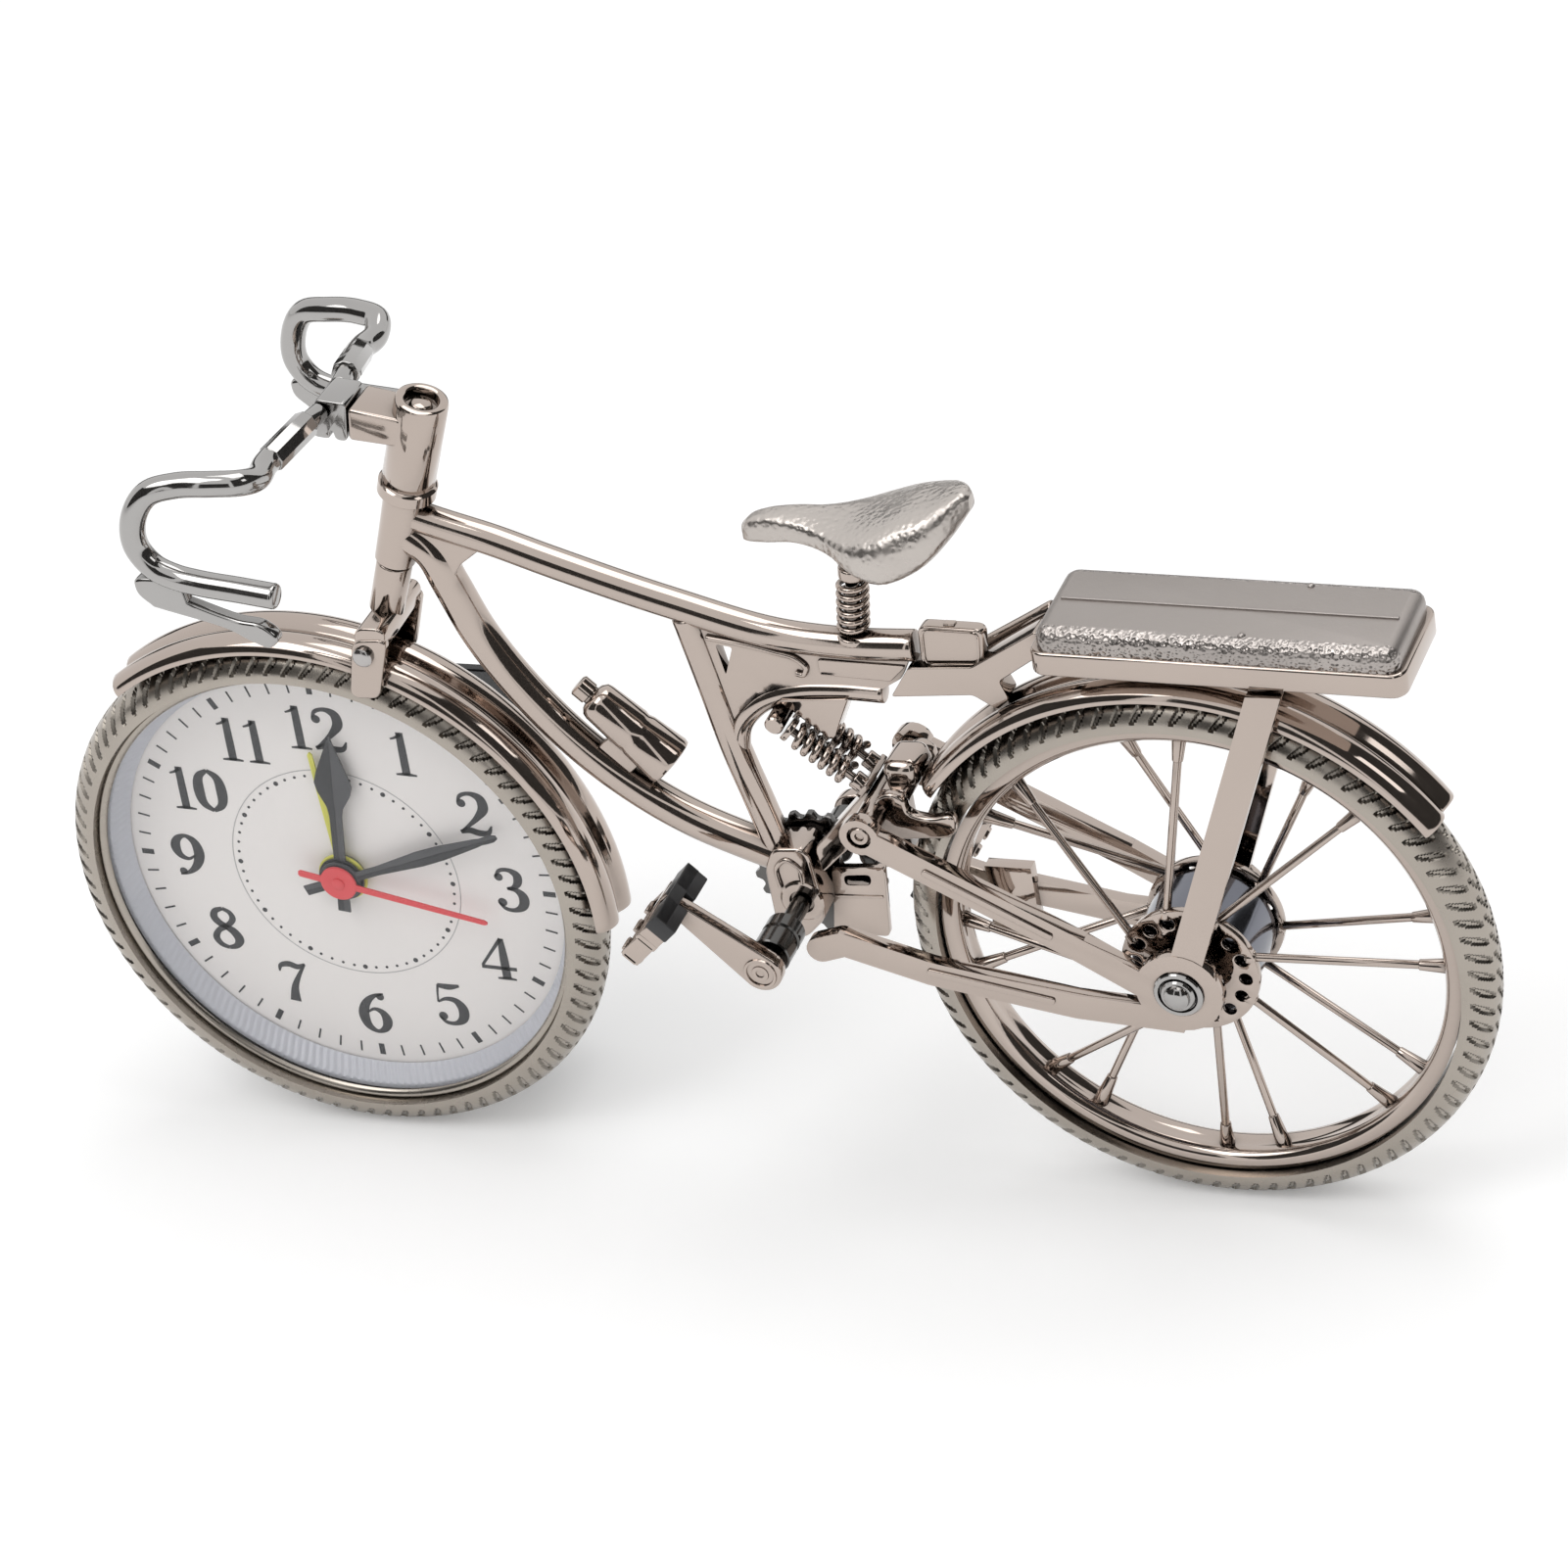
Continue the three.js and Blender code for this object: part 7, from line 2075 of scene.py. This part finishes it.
@dataclass
class Cranks:
    """Spindle, chainring, crank arms and pedals. Side is minus for the dial's side."""

    paint: Paintbox
    x: float = 76.0
    z: float = 46.9
    arm: float = 15.4
    angle: float = 138.0
    inner: float = 18.8
    outer: float = 21.0
    pedal_parts: tuple[tuple[tuple[Triple, float, float, tuple[float, ...], float], ...], ...] = (
        (
            ((2.9, 5.2, 3.7), -0.35, 0.0, (-4.0, 4.0), 0.25),
            ((0.4, 13.2, 2.0), -1.6, -0.85, (0.0,), 0.1),
        ),
        (
            ((2.0, 5.0, 3.3), 1.9, 0.0, (-4.0, 4.0), 0.2),
            ((1.2, 13.0, 3.4), 3.3, 0.0, (0.0,), 0.2),
            ((4.6, 1.0, 3.0), 5.6, 0.0, (-6.0, 6.0), 0.2),
            ((0.9, 13.0, 2.4), 7.65, 0.0, (0.0,), 0.2),
            ((0.9, 2.4, 3.5), 7.6, 0.0, (-4.4, 0.0, 4.4), 0.2),
            ((3.8, 12.0, 0.6), 5.6, 0.3, (0.0,), 0.1),
        ),
    )

    def build(self) -> None:
        """Makes every piece that turns with the cranks."""
        p = self.paint
        centre = at(self.x, self.z)
        bm = bmesh.new()
        sweep(bm, [centre - ACROSS * 18.5, centre + ACROSS * 18.5], 1.4, 28, 0.1)
        for side in (-1, 1):
            profile = [
                (10.1, 1.2), (10.1, 2.7), (10.3, 2.9), (12.6, 2.9), (12.8, 2.6), (13.4, 2.6),
                (13.6, 2.9), (16.8, 2.9), (17.0, 2.7), (17.0, 1.2),
            ]
            turn(bm, profile, centre, ACROSS * side, 44)
        publish(
            bm, Placement("spindle_bar", Body.CRANKS, Slot.SMOKED, ("crank_spindle",)), [p.smoked]
        )
        self.make_ring()
        for side, word, body in ((-1, "left", Body.PEDAL_LEFT), (1, "right", Body.PEDAL_RIGHT)):
            self.make_arm(side, word)
            self.make_pedal(side, word, body)

    def pin(self, side: int) -> Vector:
        """The pedal's pin on one side."""
        angle = math.radians(self.angle + (180.0 if side > 0 else 0.0))
        return at(self.x + self.arm * math.cos(angle), self.z + self.arm * math.sin(angle))

    def make_ring(self) -> None:
        """Cuts the chainring with its teeth and holes."""
        teeth, radius = 22, 10.2
        outline = []
        for i in range(teeth):
            for offset, step in (
                (0.0, -0.9), (0.12, -0.75), (0.3, -0.05), (0.45, 0.0), (0.6, -0.05), (0.78, -0.75),
                (0.9, -0.9),
            ):
                a = 2 * math.pi * (i + offset) / teeth
                outline.append(
                    at(
                        self.x + (radius + step) * math.cos(a),
                        self.z + (radius + step) * math.sin(a),
                    )
                )
        holes = [circle(self.x, self.z, 1.7, 28)]
        for i in range(5):
            a = math.radians(i * 72 + 20)
            holes.append(circle(self.x + 5.7 * math.cos(a), self.z + 5.7 * math.sin(a), 1.9, 20))
        bm = bmesh.new()
        plate(bm, outline, 3.9, 5.1, 0.15, holes, 2)
        publish(
            bm, Placement("ring_gear", Body.CRANKS, Slot.SMOKED, ("chainring",)),
            [self.paint.smoked],
        )

    def make_arm(self, side: int, word: str) -> None:
        """Cuts a tapering crank arm with a recessed boss and a screw in it."""
        centre, pin = at(self.x, self.z), self.pin(side)
        along = (pin - centre).normalized()
        across = Vector((-along.z, 0, along.x))
        outline = []
        for i in range(17):
            a = math.pi * (0.5 + i / 16)
            outline.append(centre + along * math.cos(a) * 3.1 + across * math.sin(a) * 3.1)
        for i in range(13):
            a = math.pi * (-0.5 + i / 12)
            outline.append(pin + along * math.cos(a) * 1.3 + across * math.sin(a) * 1.3)
        bm = bmesh.new()
        near, far = sorted((side * self.inner, side * self.outer))
        plate(bm, outline, near, far, 0.4)
        ring = [
            (self.outer - 0.3, 1.9), (self.outer + 0.2, 2.05), (self.outer + 0.25, 2.4),
            (self.outer - 0.3, 2.6), (self.outer - 0.3, 1.9),
        ]
        turn(bm, ring, centre, Vector((0, side, 0)), 36)
        screw = [
            (self.outer - 0.3, 0.0), (self.outer - 0.3, 1.4), (self.outer + 0.15, 1.2),
            (self.outer + 0.15, 0.65), (self.outer - 0.25, 0.6), (self.outer - 0.25, 0.0),
        ]
        turn(bm, screw, centre, Vector((0, side, 0)), 36)
        middle = side * (self.inner + self.outer) / 2
        sweep(
            bm, [pin + Vector((0, middle - 5.0, 0)), pin + Vector((0, middle + 5.0, 0))], 0.7, 16,
            0.1,
        )
        publish(
            bm, Placement(f"arm_{word}", Body.CRANKS, Slot.NICKEL, (f"crank_{word}",)),
            [self.paint.nickel],
        )

    def make_pedal(self, side: int, word: str, body: Body) -> None:
        """Makes a pedal: a rubber block at its upper end and a plated cage below.

        Args:
            side: Minus for the dial's side.
            word: Left or right.
            body: The body it swings with.
        """
        tilt = math.radians(224.0 + (180.0 if side > 0 else 0.0))
        along = at(math.cos(tilt), math.sin(tilt))
        up = Vector((-along.z, 0, along.x))
        pin = self.pin(side) + Vector((0, side * 19.9, 0))
        turned = Matrix(
            ((along.x, 0, up.x, pin.x), (0, 1, 0, pin.y), (along.z, 0, up.z, pin.z), (0, 0, 0, 1))
        )
        bm = bmesh.new()
        for index, parts in enumerate(self.pedal_parts):
            before = set(bm.faces)
            for size, x, z, places, edge in parts:
                for y in places:
                    block(bm, size, turned @ Matrix.Translation((x, y, z)), edge)
            for f in bm.faces:
                if f not in before:
                    f.material_index = index
        publish(
            bm, Placement(f"pedal_block_{word}", body, Slot.NICKEL, (f"pedal_{word}",)),
            [self.paint.rubber, self.paint.nickel],
        )


@dataclass
class Studio:
    """Pale floor, soft lamps, a dark curtain for the plating to mirror, and the camera."""

    camera_at: Triple = (380.68, -620.12, 507.75)
    azimuth: float = 26.23
    elevation: float = 32.65
    roll: float = 11.38
    lens: float = 133.2
    aim_at: Triple = (0.07, 0.0, 0.05)
    floor_glow: float = 0.17
    world_light: float = 0.66
    curtain_radius: float = 1.6

    def build(self) -> None:
        """Sets the room, the light and the camera."""
        self.lay_floor()
        self.hang_curtain()
        self.fill_world()
        self.hang_lamps()
        self.set_camera()
        bpy.context.scene.view_settings.view_transform = "Standard"

    def stage_mesh(
        self, bm: bmesh.types.BMesh, name: str, material: bpy.types.Material
    ) -> bpy.types.Object:
        """Turns a bmesh in metres into a stage object.

        Args:
            bm: The shape.
            name: Its name.
            material: Its material.

        Returns:
            The object.
        """
        mesh = bpy.data.meshes.new(name)
        bm.to_mesh(mesh)
        bm.free()
        mesh.materials.append(material)
        made = bpy.data.objects.new(name, mesh)
        bpy.context.scene.collection.objects.link(made)
        return made

    def seen_share(self, wires: Wiring, operation: str) -> bpy.types.NodeSocket:
        """Tells rays that see or mirror the room from rays that light.

        Args:
            wires: The tree's wiring.
            operation: How the three kinds of ray are joined.

        Returns:
            The joined flag.
        """
        ray = wires.add("LightPath", {}, {})
        flag = ray.outputs["Is Camera Ray"]
        for kind in ("Is Glossy Ray", "Is Transmission Ray"):
            flag = wires.add("Math", {}, {0: flag, 1: ray.outputs[kind]}, operation).outputs[0]
        return flag

    def lay_floor(self) -> None:
        """Lays a pale floor that glows faintly where it is seen and keeps the shadow."""
        bm = bmesh.new()
        bmesh.ops.create_grid(bm, x_segments=2, y_segments=2, size=6.0)
        material, wires, shader = blank_material("floor_pale")
        grey = {"Base Color": (0.9, 0.9, 0.9, 1.0), "Roughness": 0.9, "Specular IOR Level": 0.0}
        wires.feed(shader, grey, {})
        seen = self.seen_share(wires, "ADD")
        share = wires.add("Math", {1: self.floor_glow}, {0: seen}, "MULTIPLY")
        glow = wires.add("Emission", {}, {"Strength": share.outputs[0]})
        add = wires.add("AddShader", {}, {0: shader.outputs[0], 1: glow.outputs[0]})
        wires.feed(wires.tree.nodes["Material Output"], {}, {"Surface": add.outputs[0]})
        floor = self.stage_mesh(bm, "studio_floor", material)
        floor.location.z = -0.0002

    def hang_curtain(self) -> None:
        """Hangs a dark round curtain that only reflections see.

        Each panel runs between two angles round the object and two heights, in degrees.
        """
        bm = bmesh.new()
        radius = self.curtain_radius
        panels = ((-62, 52, 4, 58), (62, 146, 4, 15), (196, 250, 4, 40), (256, 288, 4, 34))
        for start, end, low, high in panels:
            low_z, top_z = (radius * math.tan(math.radians(v)) for v in (low, high))
            angles = [math.radians(a) for a in range(start, end + 1, 2)]
            middle = self.aim_at[0]
            foot = [
                Vector((middle + radius * math.cos(a), radius * math.sin(a), low_z)) for a in angles
            ]
            grown = bmesh.ops.extrude_edge_only(bm, edges=chain(bm, foot, False))["geom"]
            raised = [g for g in grown if isinstance(g, bmesh.types.BMVert)]
            bmesh.ops.translate(bm, vec=(0, 0, top_z - low_z), verts=raised)
        material, wires, shader = blank_material("curtain_dark")
        wires.feed(shader, {"Base Color": (0.05, 0.048, 0.046, 1.0), "Roughness": 1.0}, {})
        curtain = self.stage_mesh(bm, "studio_curtain", material)
        curtain.visible_camera = False
        curtain.visible_diffuse = False
        curtain.visible_shadow = False
        curtain.visible_transmission = False

    def fill_world(self) -> None:
        """Fills the room: white where it is seen or mirrored, softer where it lights."""
        world = bpy.data.worlds.new("studio_world")
        bpy.context.scene.world = world
        world.use_nodes = True
        wires = Wiring(world.node_tree)
        seen = self.seen_share(wires, "MAXIMUM")
        span = {"To Min": self.world_light, "To Max": 1.0}
        level = wires.add("MapRange", span, {"Value": seen}).outputs["Result"]
        room = world.node_tree.nodes["Background"]
        wires.feed(room, {"Color": (1.0, 1.0, 1.0, 1.0)}, {"Strength": level})

    def hang_lamps(self) -> None:
        """Hangs three broad soft lamps."""
        lamps = (
            ("key_softbox", (-0.5, -0.7, 1.5), 0.9, 6.5),
            ("top_softbox", (0.3, 0.4, 1.7), 1.1, 7.0),
            ("side_softbox", (1.5, -0.2, 1.1), 0.5, 1.5),
        )
        for name, place, size, power in lamps:
            data = bpy.data.lights.new(name, "AREA")
            data.shape = "SQUARE"
            data.size = size
            data.energy = power
            lamp = bpy.data.objects.new(name, data)
            lamp.location = place
            aim = Vector(self.aim_at) - Vector(place)
            lamp.rotation_euler = aim.to_track_quat("-Z", "Y").to_euler()
            bpy.context.scene.collection.objects.link(lamp)

    def set_camera(self) -> None:
        """Sets the camera at the photograph's angle."""
        a, e, r = (math.radians(v) for v in (self.azimuth, self.elevation, self.roll))
        back = Vector((math.sin(a) * math.cos(e), -math.cos(a) * math.cos(e), math.sin(e)))
        right = Vector((math.cos(a), math.sin(a), 0.0))
        up = right.cross(-back)
        across = right * math.cos(r) - up * math.sin(r)
        over = right * math.sin(r) + up * math.cos(r)
        data = bpy.data.cameras.new("photo_camera")
        data.lens = self.lens
        data.sensor_width = 36.0
        data.clip_start = 0.01
        data.clip_end = 50.0
        camera = bpy.data.objects.new("photo_camera", data)
        camera.matrix_world = Matrix(
            (
                (across.x, over.x, back.x, self.camera_at[0] * MM),
                (across.y, over.y, back.y, self.camera_at[1] * MM),
                (across.z, over.z, back.z, self.camera_at[2] * MM),
                (0, 0, 0, 1),
            )
        )
        bpy.context.scene.collection.objects.link(camera)
        bpy.context.scene.camera = camera


def main() -> None:
    """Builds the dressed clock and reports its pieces."""
    logging.basicConfig(level=logging.INFO, format="%(name)s: %(message)s")
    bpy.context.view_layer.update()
    paint = Paintbox()
    steering = Steering(paint)
    sub_assemblies = (
        ClockFace(paint),
        Movement(paint),
        Tyre(paint, "front_tread", "front_tyre", Body.FORK, 0.0),
        Tyre(paint, "rear_tread", "rear_tyre", Body.REAR_WHEEL, WHEELBASE),
        Fender(paint, "front_guard", "front_fender", Body.FORK, 0.0, -3.0, 126.8),
        Fender(paint, "rear_guard", "rear_fender", Body.FRAME, WHEELBASE, 33.5, 144.0),
        steering,
        MainFrame(paint, steering),
        Suspension(paint),
        RearWheel(paint),
        Rack(paint),
        Seat(paint),
        Bottle(paint),
        Cranks(paint),
        Studio(),
    )
    for sub_assembly in sub_assemblies:
        sub_assembly.build()
        LOG.info("built %s", type(sub_assembly).__name__)


if __name__ == "__main__":
    main()
